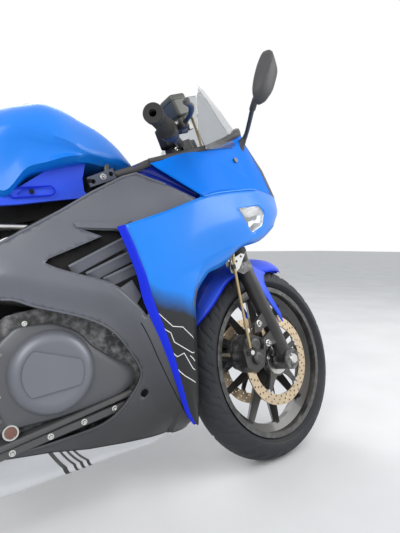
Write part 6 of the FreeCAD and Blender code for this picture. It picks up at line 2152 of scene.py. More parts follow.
@dataclass
class Cockpit:
    """What sits on the bars: levers, switches, reservoir, bolts, grips and fork caps."""

    def build(self) -> None:
        """Makes the pieces on the steered body."""
        self.grips()
        self.controls()
        self.caps()
        self.braces()

    def grips(self) -> None:
        """Ribbed grips with open ends."""
        profile = [(11.2, 0.0), (21.5, 0.0), (22.0, 2.0), (21.0, 4.0), (16.5, 6.5)]
        at = 8.0
        while at < GRIP_LENGTH - 20:
            profile += [(16.0, at), (17.3, at + 0.9), (17.3, at + 2.3), (16.0, at + 3.2)]
            at += 4.4
        profile += [(16.4, GRIP_LENGTH - 15), (19.6, GRIP_LENGTH - 12), (20.0, GRIP_LENGTH + 1),
                    (18.6, GRIP_LENGTH + 3), (7.4, GRIP_LENGTH + 3), (7.0, GRIP_LENGTH + 1.5),
                    (7.0, GRIP_LENGTH - 1), (11.2, GRIP_LENGTH - 1)]
        sleeve = turned(profile, 48)
        turn = Matrix.Translation(bar_point(GRIP_LENGTH)) @ Vector((0, 1, 0)).rotation_difference(
            BAR_WAY).to_matrix().to_4x4()
        piece("grip_sleeves", sleeve.moved(turn).both(), Seat.STEERING, Ink.RUBBER, ["grips"],
              angle=40)

    def controls(self) -> None:
        """Right and left housings with levers, and the reservoir on the right."""
        length = GRIP_LENGTH
        housing = pipe([bar_point(length + 40), bar_point(length + 34), bar_point(length + 8),
                        bar_point(length + 2)],
                       [20, 23, 23, 20], 28)
        ring = pipe([bar_point(length + 74), bar_point(length + 71), bar_point(length + 53),
                     bar_point(length + 50)],
                    [16, 18, 18, 16], 24)
        neck = pipe([bar_point(length + 55), bar_point(length + 36)], 14, 20)
        bridge = pipe([bar_point(length + 62), bar_point(length + 48, 0, 20), bar_point(length + 30, 0, 38)],
                      [11, 10, 9], 18)
        pivot = disc(bar_point(length + 30, -12, 38), (0, 0, 1), [(0, 9), (1, 10.5), (22, 10.5), (24, 9)], 24)
        lever = pipe(round_path([bar_point(length + 30, 0, 40), bar_point(length - 10, 0, 62),
                                 bar_point(length - 60, -3, 70), bar_point(30, -5, 67),
                                 bar_point(10, -5, 66)], 8),
                     [7.0] * 8 + [6.6] * 8 + [6.0] * 8 + [6.0 + 0.25 * k for k in range(8)] + [7.5], 18, 0.72)
        ball = disc(bar_point(14, -5, 66), BAR_WAY, [(-7, 1), (-5, 5), (0, 7.5), (5, 5), (7, 1)], 20)
        body = Shape().add(housing, ring, neck, bridge, pivot)
        piece("left_controls", body.mirrored(), Seat.STEERING, Detail.SWITCH, ["clutch_perch"],
              angle=40)
        piece("levers", Shape().add(lever, ball).both(), Seat.STEERING, Ink.FORK, angle=40)
        at = bar_point(length + 88, 30, 34)
        right = Shape().add(body, pipe([bar_point(length + 62, 0, 20), bar_point(length + 88, 2, 34)], 10,
                                       18),
                            pipe([bar_point(length + 88, 0, 34), at + Vector((0, 0, 10))], 9, 18))
        piece("right_controls", right, Seat.STEERING, Detail.SWITCH, ["brake_master"], angle=40)
        outline = rounded([(-23, -23), (23, -23), (23, 23), (-23, 23)], 7, 5)
        rings = []
        for grow, up in ((0.86, 0), (0.97, 2), (1.0, 8), (1.0, 36), (1.05, 37), (1.05, 46), (0.98, 49),
                         (0.9, 49.5)):
            rings.append([(at.x + x * grow, at.y + y * grow, at.z + up) for x, y in outline])
        piece("fluid_pot", ring_loft(rings), Seat.STEERING, Detail.POT, angle=40)
        screws = Shape()
        for dx, dy in ((-16, -16), (16, 16)):
            screws.add(disc(at + Vector((dx, dy, 49)), (0, 0, 1), [(0, 3.4), (1.4, 3.0), (1.5, 0.3)], 16))
        banjo = bar_point(length + 88, 2, 45)
        screws.add(disc(banjo - BAR_ACROSS * 1 + Vector((0, 0, -7)), (0, 0, 1),
                        [(0, 6.5), (3, 7), (11, 7), (12, 5.5), (17, 5.5), (17, 0.4)], 6))
        for back, up in ((length + 62, 19.0), (length + 15, 22.5), (length + 30, 22.5)):
            screws.add(bolt(bar_point(back, up), (0, 0, 1), 2.6, 2.6))
        piece("control_screws", screws, Seat.STEERING, Detail.SILVER)
        red = block((-9, -6, 0), (9, 6, 7))
        place = Matrix.Translation(bar_point(length + 21, 20.5, -6)) @ Matrix.Rotation(
            math.atan2(BAR_WAY.y, BAR_WAY.x), 4, "Z")
        piece("kill_switch", red.moved(place), Seat.STEERING, Detail.KILL, bevel=1.4)
        rockers = Shape()
        for up, back in ((14, length + 12), (2, length + 14), (-11, length + 12)):
            there = Matrix.Translation(bar_point(back, up, -20.5)) @ Matrix.Rotation(
                math.atan2(BAR_WAY.y, BAR_WAY.x), 4, "Z")
            rockers.add(block((-6, -4, -4), (6, 4, 4)).moved(there))
        piece("switch_rockers", rockers.mirrored(), Seat.STEERING, Ink.RUBBER, bevel=1.2)

    def braces(self) -> None:
        """Clamp blocks with a round switch under each grip."""
        form = Shape()
        for low, high, deep in (((-104, -136, 694), (-58, -106, 752), 6.0),
                                ((-96, -132, 672), (-56, -104, 704), 5.0)):
            ring = rounded([(low[0], low[2]), (high[0], low[2] - 6), (high[0] + 6, high[2] - 14),
                            (high[0] - 10, high[2]), (low[0] + 6, high[2] - 4)], deep, 4)
            form.add(ring_loft([[(x, y, z) for x, z in ring] for y in (low[1], low[1] + 3, high[1] - 3,
                                                                       high[1])]))
        form.add(disc((-80, -134, 716), (0, -1, 0), [(-8, 14), (4, 14), (6, 12), (6, 5), (4, 4), (4, 0.4)],
                      26))
        piece("bar_braces", form.both(), Seat.STEERING, Detail.BRACE, bevel=1.0)
        bits = Shape()
        for at in ((-92, -135.5, 740), (-66, -135.5, 740), (-76, -131.5, 684)):
            bits.add(bolt(at, (0, -1, 0), 4.2, 4))
        bits.add(disc((-80, -139, 716), (0, -1, 0), [(0, 5.2), (2, 4.8), (2.2, 0.3)], 20))
        piece("brace_bolts", bits.both(), Seat.STEERING, Detail.SILVER)

    def caps(self) -> None:
        """Silver fork caps and the nut on the top clamp."""
        form = Shape()
        for side in (-95, 95):
            form.add(disc((0, side, 675), (0, 0, 1), [(0, 18.4), (3, 18.4), (4, 17), (4, 13.5), (10, 13.0),
                                                      (11, 11.5), (11, 7), (8, 6.5), (8, 0.5)], 36))
        piece("fork_caps", form, Seat.STEERING, Detail.SILVER)
        nut = disc((-35, 0, 669.5), (0, 0, 1), [(0, 18), (1, 18.5), (1, 17.2), (9, 17.2), (10, 15.5),
                                                (10, 9), (6, 9)], 6)
        piece("stem_nut_cap", nut, Seat.STEERING, Ink.FORK)


@dataclass
class Fender:
    """Peaked fender over the front tyre with its pointed ends, and a blade ahead of each leg."""

    spans: tuple[tuple[float, float, float, float], ...] = (
        (39, 5, 316, 321), (42, 18, 309, 324), (46, 36, 299, 326), (53, 54, 286, 327), (60, 62, 277, 328),
        (68, 66, 270, 329), (80, 68, 270, 331), (92, 69, 290, 334), (102, 69, 296, 336), (111, 68, 294, 336),
        (118, 65, 295, 333), (125, 57, 302, 328), (133, 34, 313, 319))
    blade: tuple[Flat, ...] = (
        (104, 250), (93, 248), (81, 223), (85, 163), (92, 112), (87, 82), (83, 84), (74, 132), (66, 160),
        (59, 193), (52, 251), (40, 292), (70, 286))

    def build(self) -> None:
        """Makes the shell and the blades."""
        tracks = []
        for share, drop in ((0.0, 0.0), (0.3, 0.06), (0.6, 0.2), (0.8, 0.42), (0.93, 0.62), (1.0, 0.8),
                            (1.0, 1.0)):
            knots = []
            for angle, half, skirt, crown in self.spans:
                turn = math.radians(angle)
                reach = crown - (crown - skirt) * drop
                knots.append((reach * math.cos(turn), -half * share, reach * math.sin(turn)))
            tracks.append(round_path(knots, 6))
        shell = outward(strip(*tracks), (0, 0, 1)).both()
        piece("fender_shell", shell, Seat.STEERING, Ink.SIDE, ["front_fender"], solid=2.5,
              closed=False, angle=16)
        ring = divide(rounded(self.blade, 3.0, 3), 8, closed=True)
        middle = centre_of(ring)
        rows = []
        for share, y in ((1.0, -67.5), (1.0, -70.0), (0.93, -71.5)):
            rows.append([(middle.x + (x - middle.x) * share, y, middle.y + (z - middle.y) * share)
                         for x, z in ring])
        piece("fender_blades", ring_loft(rows).both(), Seat.STEERING, Ink.SIDE)
        rim = Shape()
        for side in (1, -1):
            rim.add(pipe([Vector((p.x, side * -p.y, p.z)) for p in tracks[-1]], 1.7, 8))
        piece("fender_edges", rim, Seat.STEERING, Ink.DEEP)
        self.tabs()

    def tabs(self) -> None:
        """Bright drilled tab beside the hose on each leg."""
        outline = [(-60, 350), (-10, 352), (14, 350), (-8, 338), (-40, 318), (-66, 312), (-78, 318),
                   (-74, 334)]
        ring = divide(rounded(outline, 4, 3), 6, closed=True)
        rows = []
        for share, y in ((1.0, -118.5), (1.0, -121.0), (0.97, -121.8)):
            rows.append([(-34 + (x + 34) * share, y, 336 + (z - 336) * share) for x, z in ring])
        piece("hose_tabs", ring_loft(rows).both(), Seat.STEERING, Detail.TAB)
        holes = Shape()
        for x, z in ((-62, 326), (-42, 339), (-18, 344)):
            holes.add(disc((x, -121.4, z), (0, -1, 0), [(0, 3.8), (0.9, 3.6), (1.0, 0.3)], 20))
        piece("tab_holes", holes.both(), Seat.STEERING, Detail.BRACE)


@dataclass
class ForkTrim:
    """Dust collars, clamp bolts, axle nut and caliper bolts."""

    collar: tuple[Flat, ...] = ((0, 28.2), (2, 29), (12, 29), (14, 27), (18, 27), (20, 24.5), (24, 24),
                                (27, 19.5), (30, 19))
    piston_cap: tuple[Flat, ...] = ((-1, 17.6), (7, 17.6), (9, 16), (10.6, 12), (10.6, 8), (8.6, 7.6),
                                    (8.6, 0.4))
    axle_nut: tuple[Flat, ...] = ((0, 15.5), (1.5, 15.5), (1.5, 14.6), (9, 14.6), (10.4, 13), (10.4, 0.4))
    bleed_nut: tuple[Flat, ...] = ((-4, 9), (2, 9), (2, 7.4), (7, 7.4), (8, 6.6), (8, 0.3))
    pistons: tuple[Flat, ...] = ((-94, 106), (-106, 68))
    caliper_bolts: tuple[Flat, ...] = ((-52, 84), (-52, 148))
    clamp_heights: tuple[float, ...] = (462, 476)

    def build(self) -> None:
        """Makes the trim on the steered body."""
        out = (0, -1, 0)
        boots, silver, dark = Shape(), Shape(), Shape()
        for side in (-95, 95):
            boots.add(disc((0, side, 348), (0, 0, 1), self.collar, 40))
        for n, s in self.pistons:
            dark.add(disc((n, -96, s), out, self.piston_cap, 36))
        for n, s in self.caliper_bolts:
            silver.add(bolt((n, -107, s), out, 6.5, 8))
        silver.add(disc((0, -118, 0), out, self.axle_nut, 6))
        silver.add(disc((-124, -103, 96), out, self.bleed_nut, 6))
        for up in self.clamp_heights:
            for side in (-1, 1):
                silver.add(bolt((26, side * 118, up), (1, 0, 0), 3.4, 5))
        piece("dust_boots", boots, Seat.STEERING, Ink.RUBBER, angle=30)
        piece("piston_caps", dark.both(), Seat.STEERING, Ink.FORK)
        piece("front_bolts", silver.both(), Seat.STEERING, Detail.SILVER)


SUBASSEMBLIES += [BrakeHose(), Mirrors(), Cockpit(), Fender(), ForkTrim()]


# Engine side


class Casting(Enum):
    """Finishes of the engine's outer parts."""

    # Cover grey made lighter and bluer than the flange's same finish: painted light on the lit dome.
    LID_LIT = Finish("lid_lit_grey", (0.165, 0.172, 0.2), rough=0.38, metal=0.3, grain=0.03, grain_scale=1500,
                 dust_and_sheen=0.1, spread=0.15)
    BEAM = Finish("beam_grey", (0.075, 0.077, 0.08), rough=0.45, metal=0.25, grain=0.06, grain_scale=900,
                  dust_and_sheen=0.2)
    OIL = Finish("sight_glass", (0.16, 0.06, 0.04), rough=0.12, coat=0.8, dust_and_sheen=0.05, spread=0.5,
                 spread_scale=60)
    HOSE = Finish("coolant_rubber", (0.012, 0.012, 0.013), rough=0.6, grain=0.05, dust_and_sheen=0.25)


@dataclass
class ClutchSide:
    """Domed clutch cover with its cut facet, the flange round it and the rails and screws below."""

    middle: Point = (-656.0, -145.0, 366.0)
    radius: float = 92.0
    height: float = 45.0
    facet: float = 60.0
    upper_chord: tuple[Flat, Flat] = ((-36.0, 48.0), (56.0, 22.0))
    lower_chord: tuple[Flat, Flat] = ((-42.0, -43.0), (52.0, -30.0))
    flange: tuple[Flat, ...] = (
        (-744, 262), (-644, 269), (-586, 279), (-546, 287), (-510, 297), (-487, 310), (-478, 322),
        (-475, 341), (-490, 359), (-535, 385), (-569, 409), (-600, 446), (-650, 468), (-722, 466),
        (-760, 430), (-765, 320))

    def build(self) -> None:
        """Makes the cover and what is round it."""
        x, y, z = self.middle
        tall, r = self.height, self.radius
        steps = [(-2, r), (5, r), (7, r - 2.5), (10, r - 3)]
        for k in range(1, 11):
            t = math.pi / 2 * k / 10
            steps.append((10 + (tall - 15) * math.sin(t), self.facet + 1
                          + (r - 4 - self.facet) * math.cos(t)))
        steps += [(tall - 5.2, self.facet), (tall - 5.2, 1)]
        dome = disc((x, y, z), (0, -1, 0), steps, 72)
        rim = self.facet_outline()
        low, high = y - tall + 6, y - tall
        plate_form = ring_loft([[(x + a, low, z + b) for a, b in rim],
                                [(x + a, high + 1.0, z + b) for a, b in rim],
                                [(x + a * 0.985, high, z + b * 0.985) for a, b in rim]])
        ring = divide(rounded(self.flange, 14, 4), 9, closed=True)
        centre = centre_of(ring)
        rows = []
        for share, out in ((1.0, 10.0), (1.0, -10.0), (0.985, -13.0), (0.95, -15.0), (0.7, -20.0),
                           (0.02, -22.0)):
            rows.append([((centre + (Vector(p) - centre) * share).x, y + out,
                          (centre + (Vector(p) - centre) * share).y)
                         for p in ring])
        # The lid takes the lighter, bluer copy of the cover grey: painted light.
        piece("clutch_lid", dome.add(plate_form), Seat.CHASSIS, Casting.LID_LIT, ["clutch_cover"],
              angle=28)
        piece("clutch_flange", ring_loft(rows), Seat.CHASSIS, Ink.COVER, angle=34)
        self.rails()
        self.screws()

    def facet_outline(self) -> list[Flat]:
        """Round facet cut off along its two chords.

        Returns:
            Points of the outline.
        """
        found = []
        for k in range(96):
            t = 2 * math.pi * k / 96
            a, b = self.facet * math.cos(t), self.facet * math.sin(t)
            for (x0, z0), (x1, z1), top in ((*self.upper_chord, True), (*self.lower_chord, False)):
                line = z0 + (z1 - z0) * (a - x0) / (x1 - x0)
                b = min(b, line) if top else max(b, line)
            if not found or math.dist(found[-1], (a, b)) > 0.4:
                found.append((a, b))
        return found

    def rails(self) -> None:
        """Two ribs along the case's lower edge."""
        form = Shape()
        for start, end, tall, out in (((-765, 222), (-486, 291), 12, -166), ((-765, 205), (-500, 262), 18,
                                                                             -160)):
            way = Vector(end) - Vector(start)
            up = Vector((-way.y, way.x)).normalized()
            rows = []
            for k in range(13):
                at = Vector(start) + way * (k / 12)
                section = ((0, out + 34), (0, out + 3), (2.5, out), (tall - 3, out), (tall, out + 3),
                           (tall + 4, out + 34))
                rows.append([(at.x + up.x * rise, y, at.y + up.y * rise) for rise, y in section])
            form.add(ring_loft(rows))
        piece("case_rails", form, Seat.CHASSIS, Casting.BEAM, bevel=0.8)

    def screws(self) -> None:
        """Silver screws, and the oil sight glass in its ring."""
        silver = Shape()
        for x, z in ((-735, 219), (-663, 236), (-595, 252), (-528, 268)):
            silver.add(bolt((x, -160, z), (0, -1, 0), 4.2, 5))
        for x, z in ((-586, 274), (-755, 330), (-752, 412), (-706, 470), (-520, 434), (-482, 384)):
            silver.add(bolt((x, -158, z), (0, -1, 0), 3.6, 4))
        glass = disc((-737, -158, 259), (0, -1, 0), [(0, 15), (6, 15), (6, 12), (4.5, 11.5), (4.5, 0.4)], 36)
        pane = disc((-737, -162.4, 259), (0, -1, 0), [(0, 11.4), (1.6, 10), (2.4, 6), (2.6, 0.4)], 30)
        piece("case_screws", silver, Seat.CHASSIS, Detail.SILVER)
        piece("sight_ring", glass, Seat.CHASSIS, Ink.ZINC)
        piece("sight_pane", pane, Seat.CHASSIS, Casting.OIL)


@dataclass
class EngineRoom:
    """What shows dark round the engine: airbox, starter motor, hoses, webs and liner."""

    box: tuple[Flat, ...] = ((-880, 596), (-868, 752), (-700, 796), (-560, 800), (-560, 742), (-600, 720),
                             (-660, 706), (-735, 690), (-800, 640), (-830, 600))
    box_middle: Flat = (-715, 712)
    box_layers: tuple[Flat, ...] = ((0.97, -80), (1.0, -76), (1.0, 76), (0.97, 80))
    motor: tuple[Flat, ...] = ((0.2, -128), (20, -128), (26, -122), (26, -60), (30, -58), (30, -20),
                               (12, -18), (0.2, -18))
    solenoid: tuple[Flat, ...] = ((0.2, -112), (17, -112), (19, -108), (19, -40), (0.2, -40))
    wide_hose: tuple[Point, ...] = ((-560, -86, 520), (-575, -118, 500), (-640, -122, 506), (-720, -118, 520),
                                    (-800, -104, 540))
    thin_hose: tuple[Point, ...] = ((-770, -120, 400), (-800, -124, 430), (-806, -116, 500),
                                    (-790, -100, 560))
    screws: tuple[Point, ...] = ((-690, -126, 462), (-735, -118, 448), (-640, -124, 459), (-712, -129, 470))
    rail: tuple[Point, ...] = ((-905, -106, 668), (-860, -106, 676), (-760, -106, 682), (-690, -104, 682))
    webs: tuple[tuple[Flat, ...], ...] = (
        ((-640, 748), (-560, 742), (-470, 792), (-440, 822), (-470, 842), (-548, 822), (-640, 790)),
        ((-905, 640), (-800, 668), (-640, 730), (-640, 790), (-760, 742), (-905, 700)))
    shade_liner: tuple[Flat, ...] = ((92, 205), (96, 260), (98, 400), (96, 520), (92, 590))

    def build(self) -> None:
        """Makes the pieces behind the panel and under the tank."""
        self.airbox()
        self.starter()
        self.hoses()
        self.fittings()
        self.walls()

    def airbox(self) -> None:
        """Ribbed box under the tank."""
        outline = rounded(self.box, 14, 4)
        x_mid, z_mid = self.box_middle
        form = ring_loft([[(x_mid + (x - x_mid) * share, y, z_mid + (z - z_mid) * share) for x, z in outline]
                          for share, y in self.box_layers])
        for k in range(5):
            x = -840 + 44 * k
            form.add(block((x, -82, 650 + 20 * k), (x + 5, 82, 728 + 12 * k)))
        piece("airbox", form, Seat.CHASSIS, Paint.SHADE, bevel=1.5)

    def starter(self) -> None:
        """Starter motor with its solenoid."""
        form = turned(self.motor, 36).moved(Matrix.Translation((-712, 0, 470)))
        form.add(turned(self.solenoid, 28).moved(Matrix.Translation((-655, 0, 498))))
        piece("starter_motor", form, Seat.CHASSIS, Ink.ENGINE, angle=30)

    def hoses(self) -> None:
        """Two short hoses on the engine."""
        form = pipe(round_path(self.wide_hose, 8), 13, 18)
        form.add(pipe(round_path(self.thin_hose, 8), 9, 16))
        piece("breather_hoses", form, Seat.CHASSIS, Casting.HOSE)

    def fittings(self) -> None:
        """Bright screws, hose clips and the rail above them."""
        form = Shape()
        for at in self.screws:
            form.add(bolt(at, (0, -1, 0), 5, 6))
        for at, way in (((-640, -122, 506), (1, 0, 0)), ((-760, -112, 530), (1, 0, -0.3))):
            form.add(disc(at, way, [(-4, 13.4), (-4, 14.6), (4, 14.6), (4, 13.4)], 28))
        form.add(pipe(self.rail, 7.5, 18))
        piece("bright_fittings", form, Seat.CHASSIS, Ink.ZINC)

    def walls(self) -> None:
        """Webs between the frame's beams, and a black liner inside the panels that is painted shade."""
        form = Shape()
        for outline in self.webs:
            smooth = rounded(outline, 6, 3)
            form.add(ring_loft([[(x, y, z) for x, z in smooth] for y in (-70, -67.5, -66)]))
        piece("frame_webs", form.both(), Seat.CHASSIS, Paint.SHADE, bevel=0.5)
        # Black sheet inside the panels: painted shade in the gaps round the engine.
        shade_liner = outward(strip(*[[(x, -y, z) for x in range(-800, -440, 24)] for y, z in self.shade_liner]))
        piece("inner_shade_liner", shade_liner.both(), Seat.CHASSIS, Paint.SHADE, solid=1.5,
              closed=False)


@dataclass
class TankTrim:
    """Slot, hole and screws under the tank's lip."""

    slot_ends: tuple[Point, Point] = ((-716, -129.2, 753), (-642, -120.5, 765))
    slot_radius: float = 11.0
    hole: Point = (-546, -98.6, 803)
    screw: Point = (-512, -98.4, 816)

    def build(self) -> None:
        """Makes both sides."""
        out = (0, -1, 0)
        ends = [Vector(p) for p in self.slot_ends]
        way = (ends[1] - ends[0]).normalized()
        up = Vector((0, 0, 1)) - way * way.z
        path = []
        for end, quarter in ((ends[0], math.pi / 2), (ends[1], -math.pi / 2)):
            for k in range(25):
                t = quarter + math.pi * k / 24
                path.append(end + (way * math.cos(t) + up * math.sin(t)) * self.slot_radius)
        path.append(path[0])
        slot = pipe([p + Vector((0, -1.0, 0)) for p in path], 1.7, 8)
        middle = (ends[0] + ends[1]) / 2 + Vector((0, -1.8, 0))
        holes = disc(middle + way * -2, out, [(-1, 5.5), (0.4, 5.5), (0.5, 0.3)], 24)
        holes.add(disc(self.hole, out, [(-1, 5.4), (0.4, 5.2), (0.5, 0.3)], 24))
        screw = bolt(self.screw, out, 5.2, 5)
        for name, form, ink, mark in (("cover_slots", slot, Ink.DEEP, "deep_blue"),
                                      ("cover_holes", holes, Paint.SHADE, "black_plastic"),
                                      ("bracket_screws", screw, Detail.SILVER, "zinc")):
            piece(name, form.both(), Seat.CHASSIS, ink)


SUBASSEMBLIES += [ClutchSide(), EngineRoom(), TankTrim()]


# Seats and rear


@dataclass
class Cushion:
    """Vinyl seat: a crowned closed form, swelled as cloth, with welts, a sewn channel and stitches."""

    name: str
    node: str
    rows: tuple[tuple[float, ...], ...]
    fill: float
    channels: tuple[float, ...]
    cap: float = 4.0
    start: float = 3.0
    voxel: float = 6.0
    mass: float = 0.3
    stiffness: float = 22.0
    bending: float = 1.2
    pressure: float = 4.0
    frames: int = 20
    channel_reach: float = 10.0
    channel_depth: float = 2.2

    def section(self, row: Sequence[float], shrink: float = 0.0) -> list[Point]:
        """Closed outline across the seat.

        Args:
            row: x, then half width and height of the foot, the side and the shoulder, and the crown's height.
            shrink: how much smaller the form starts, in millimetres.

        Returns:
            Points round the section.
        """
        x, low_y, low_z, mid_y, mid_z, top_y, top_z, crown = row
        half = [(0, low_z), (low_y * 0.55, low_z), (low_y, low_z), (low_y + 2, low_z + 3),
                ((low_y + mid_y) / 2 + 1, (low_z + mid_z) / 2), (mid_y, mid_z), ((mid_y + top_y) / 2 + 3,
                                                                                 (mid_z + top_z)
                                                                                / 2 + 1),
                (top_y, top_z), (top_y * 0.72, (top_z + crown) / 2 + 0.6), (top_y * 0.36, crown - 0.4),
                (0, crown)]
        ring = half + [(-y, z) for y, z in half[-2:0:-1]]
        middle = (low_z + crown) / 2
        found = []
        for y, z in ring:
            reach = max(math.hypot(y, z - middle), 1.0)
            keep = (reach - shrink) / reach
            found.append((x, y * keep, middle + (z - middle) * keep if z > low_z + 1 else z))
        return found

    def body(self) -> Shape:
        """The form before it swells.

        Returns:
            The closed form.
        """
        tracks = list(zip(*[self.section(row, self.start) for row in self.rows]))
        lines = [round_path(track, 7) for track in tracks]
        rings = [list(ring) for ring in zip(*lines)]
        first, last = rings[0], rings[-1]
        for ring, step in ((first, -1), (last, 1)):
            middle = sum((p for p in ring), Vector()) / len(ring)
            inner = [[middle + (p - middle) * s + Vector((d, 0, 0)) * (-step) for p in ring]
                     for s, d in ((0.93, -2.0), (0.6, -3.0), (0.2, -3.2))]
            rings = [*inner[::-1], *rings] if step < 0 else [*rings, *inner]
        return ring_loft(rings)

    def swell(self, pad: bpy.types.Object) -> None:
        """Runs the cloth on the pad's own mesh and keeps the result.

        Args:
            pad: the seat in millimetre points turned to metres.
        """
        scene = bpy.context.scene
        work = pad.copy()
        work.data = pad.data.copy()
        work.name = self.name + "_cloth"
        scene.collection.objects.link(work)
        even = work.modifiers.new("even", "REMESH")
        even.mode, even.voxel_size = "VOXEL", self.voxel * MM
        bpy.context.view_layer.update()
        fine = bpy.data.meshes.new_from_object(work.evaluated_get(bpy.context.evaluated_depsgraph_get()))
        work.modifiers.clear()
        work.data = fine
        before = [v.co.copy() for v in fine.vertices]
        cloth = work.modifiers.new("cloth", "CLOTH")
        cloth.settings.quality = 4
        cloth.settings.mass = self.mass
        cloth.settings.tension_stiffness = cloth.settings.compression_stiffness = self.stiffness
        cloth.settings.bending_stiffness = self.bending
        cloth.settings.use_pressure = True
        cloth.settings.uniform_pressure_force = self.pressure
        cloth.settings.effector_weights.gravity = 0
        cloth.collision_settings.use_collision = False
        cloth.point_cache.frame_start, cloth.point_cache.frame_end = 1, self.frames
        for step in range(1, self.frames + 1):
            scene.frame_set(step)
        moved = work.evaluated_get(bpy.context.evaluated_depsgraph_get()).data
        after = [v.co.copy() for v in moved.vertices]
        work.modifiers.clear()
        lows = self.low_line()
        for vertex, old, new in zip(fine.vertices, before, after):
            way = new - old
            if way.length > self.cap * MM:
                way *= self.cap * MM / way.length
            floor = lows(old.x / MM) + 4
            vertex.co = old if old.z / MM < floor else old + way
        scene.frame_set(1)
        fine.materials.clear()
        fine.materials.append(Ink.SEAT.value.material())
        fine.shade_smooth()
        pad.data = fine
        bpy.data.objects.remove(work)
        self.press(fine)
        smooth = pad.modifiers.new("smooth", "SUBSURF")
        smooth.levels = smooth.render_levels = 1

    def low_line(self) -> "Callable[[float], float]":
        """Height of the seat's base along the machine.

        Returns:
            A function that gives the height at x.
        """
        table = sorted((row[0], row[2]) for row in self.rows)

        def low(x: float) -> float:
            """Height at x."""
            return float(np.interp(x, [p[0] for p in table], [p[1] for p in table]))
        return low

    def press(self, mesh: bpy.types.Mesh) -> None:
        """Draws the sewn channels into the top.

        Args:
            mesh: the swelled mesh, in metres.
        """
        lows = self.low_line()
        for vertex in mesh.vertices:
            x, z = vertex.co.x / MM, vertex.co.z / MM
            if z < lows(x) + 22:
                continue
            for line in self.channels:
                away = abs(x - line + 0.0012 * (vertex.co.y / MM) ** 2)
                if away < self.channel_reach:
                    fall = (1 + math.cos(math.pi * away / self.channel_reach)) / 2
                    vertex.co.z -= (self.channel_depth * fall) * MM

    def build(self) -> None:
        """Makes the cushion, then what is sewn on it."""
        pad = piece(self.name, self.body(), Seat.CHASSIS, Ink.SEAT, [self.node], angle=70)
        self.swell(pad)
        self.sew()

    def sew(self) -> None:
        """Welts along both shoulders and round the foot, and rows of stitches beside the shoulder welts."""
        welts, stitches = Shape(), Shape()
        for side in (1, -1):
            path = round_path([(r[0], side * (r[5] + 1.5), r[6] + 0.5) for r in self.rows], 7)
            welts.add(pipe(path[1:-1], 2.0, 8))
            foot = round_path([(r[0], side * (r[1] + 2.2), r[2] + 2.5) for r in self.rows], 7)
            welts.add(pipe(foot[1:-1], 2.2, 8))
            run = [path[i] for i in range(1, len(path) - 1)]
            for a, b in zip(run, run[1:]):
                count = max(int((b - a).length / 8), 1)
                for k in range(count):
                    p, q = a.lerp(b, (k + 0.2) / count), a.lerp(b, (k + 0.75) / count)
                    drop = Vector((0, -side * 6.0, 0.8))
                    stitches.add(pipe([p + drop, q + drop], 0.55, 6))
        piece(self.name + "_welts", welts, Seat.CHASSIS, Ink.RUBBER)
        piece(self.name + "_stitches", stitches, Seat.CHASSIS, Ink.PLASTIC)


@dataclass
class Tail:
    """Tail light with its lens ribs, plate bracket screws and the rear trim."""

    def build(self) -> None:
        """Makes the pieces."""
        lens = Shape()
        rows = []
        for k in range(13):
            y = -27 + 54 * k / 12
            bow = 3.0 * (1 - (y / 30) ** 2)
            rib = 0.5 if k % 2 else 0.0
            rows.append([(-1664 - bow - rib, y, 873), (-1663 - bow - rib, y, 886),
                         (-1659 - bow - rib, y, 896.5), (-1650, y, 897), (-1650, y, 873)])
        lens.add(ring_loft(rows))
        piece("tail_lens", lens, Seat.CHASSIS, Ink.RED, ["tail_light"], bevel=0.6)
        trim = Shape()
        for side in (1, -1):
            trim.add(pipe([(-1640, side * 31, 870), (-1652, side * 29, 871), (-1662, side * 24, 870)], 1.6,
                          8))
            trim.add(bolt((-1380, side * 96, 806), (0, side, 0), 6, 3))
            trim.add(bolt((-1180, side * 112, 760), (0, side, 0), 6, 3))
        piece("tail_screws", trim, Seat.CHASSIS, Ink.FRAME)


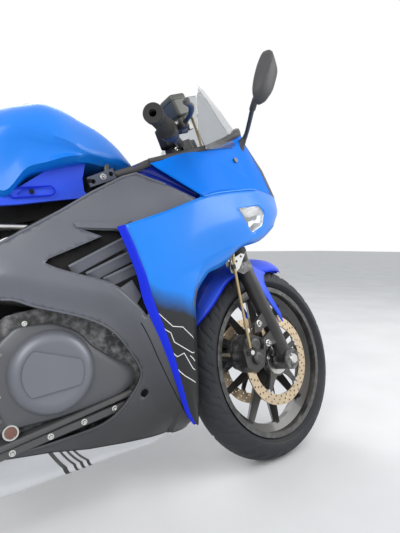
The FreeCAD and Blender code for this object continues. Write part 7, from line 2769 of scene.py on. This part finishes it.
@dataclass
class Silencer:
    """End cap, straps and rivets of the muffler."""

    start: Point = (-1030.0, -178.0, 300.0)
    end: Point = (-1430.0, -196.0, 452.0)
    straps: tuple[float, ...] = (0.06, 0.5, 0.93)
    strap: tuple[Flat, ...] = ((-7, 48.0), (-7, 49.6), (-5, 50.4), (5, 50.4), (7, 49.6), (7, 48.0))
    cap: tuple[Flat, ...] = ((-12, 48.2), (-12, 49.0), (0, 49), (5, 44), (7, 34), (7.5, 23), (2, 21),
                             (-14, 20))
    outlet: tuple[Flat, ...] = ((-30, 0.4), (-30, 19), (6, 19), (8, 20.6), (6, 22), (-10, 22))
    rivets: int = 10
    rivet_radius: float = 49.6

    def build(self) -> None:
        """Makes the rings and the cap."""
        a, b = Vector(self.start), Vector(self.end)
        way = (b - a).normalized()
        rings, rivets = Shape(), Shape()
        for share in self.straps:
            rings.add(disc(a + (b - a) * share, way, self.strap, 48))
        cap = disc(b, way, self.cap, 48).add(disc(b, way, self.outlet, 40))
        side = way.cross(Vector((0, 0, 1))).normalized()
        up = side.cross(way)
        for share in (self.straps[0], self.straps[-1]):
            for k in range(self.rivets):
                t = 2 * math.pi * k / self.rivets
                out = side * math.cos(t) + up * math.sin(t)
                rivets.add(disc(a + (b - a) * share + out * self.rivet_radius, out,
                                [(0, 2.6), (1.2, 2.2), (1.8, 0.3)], 10))
        piece("muffler_straps", rings, Seat.CHASSIS, Ink.ZINC)
        piece("muffler_cap", cap, Seat.CHASSIS, Ink.MUFFLER, angle=40)
        piece("muffler_rivets", rivets, Seat.CHASSIS, Ink.ZINC)


@dataclass
class Footwear:
    """Rubbers on both footrests."""

    first: float = 188.0
    pitch: float = 8.5
    ribs: int = 9
    rib: tuple[Flat, ...] = ((-2.6, 11.2), (-2.0, 13.2), (2.0, 13.2), (2.6, 11.2))

    def build(self) -> None:
        """Makes the ribs of both rubbers."""
        rubber = Shape()
        for side in (1, -1):
            for k in range(self.ribs):
                rubber.add(disc((-985, side * (self.first + self.pitch * k), 402), (0, side, 0), self.rib,
                                28))
        piece("footrest_rubbers", rubber, Seat.CHASSIS, Ink.RUBBER)


SUBASSEMBLIES += [
    Cushion("rider_cushion", "rider_seat", (
        (-1265, 100, 800, 118, 822, 92, 838, 846), (-1120, 118, 772, 138, 792, 108, 806, 812),
        (-980, 100, 768, 116, 790, 84, 806, 812), (-909, 70, 772, 84, 795, 60, 812, 820)),
        0.75, (-1195, -1040)),
    Cushion("passenger_cushion", "passenger_seat", (
        (-1540, 52, 880, 62, 896, 44, 910, 916), (-1420, 78, 872, 92, 892, 70, 908, 916),
        (-1290, 92, 852, 108, 876, 84, 896, 906)), 0.7, (-1450, -1360)),
    Tail(), Silencer(), Footwear()]


# The machine


def main() -> None:
    """Builds the scene in order."""
    logging.basicConfig(level=logging.INFO, format="%(message)s")
    Stage().build()
    for part in SUBASSEMBLIES:
        part.build()
        log.info("built %s", type(part).__name__)


if __name__ == "__main__":
    main()
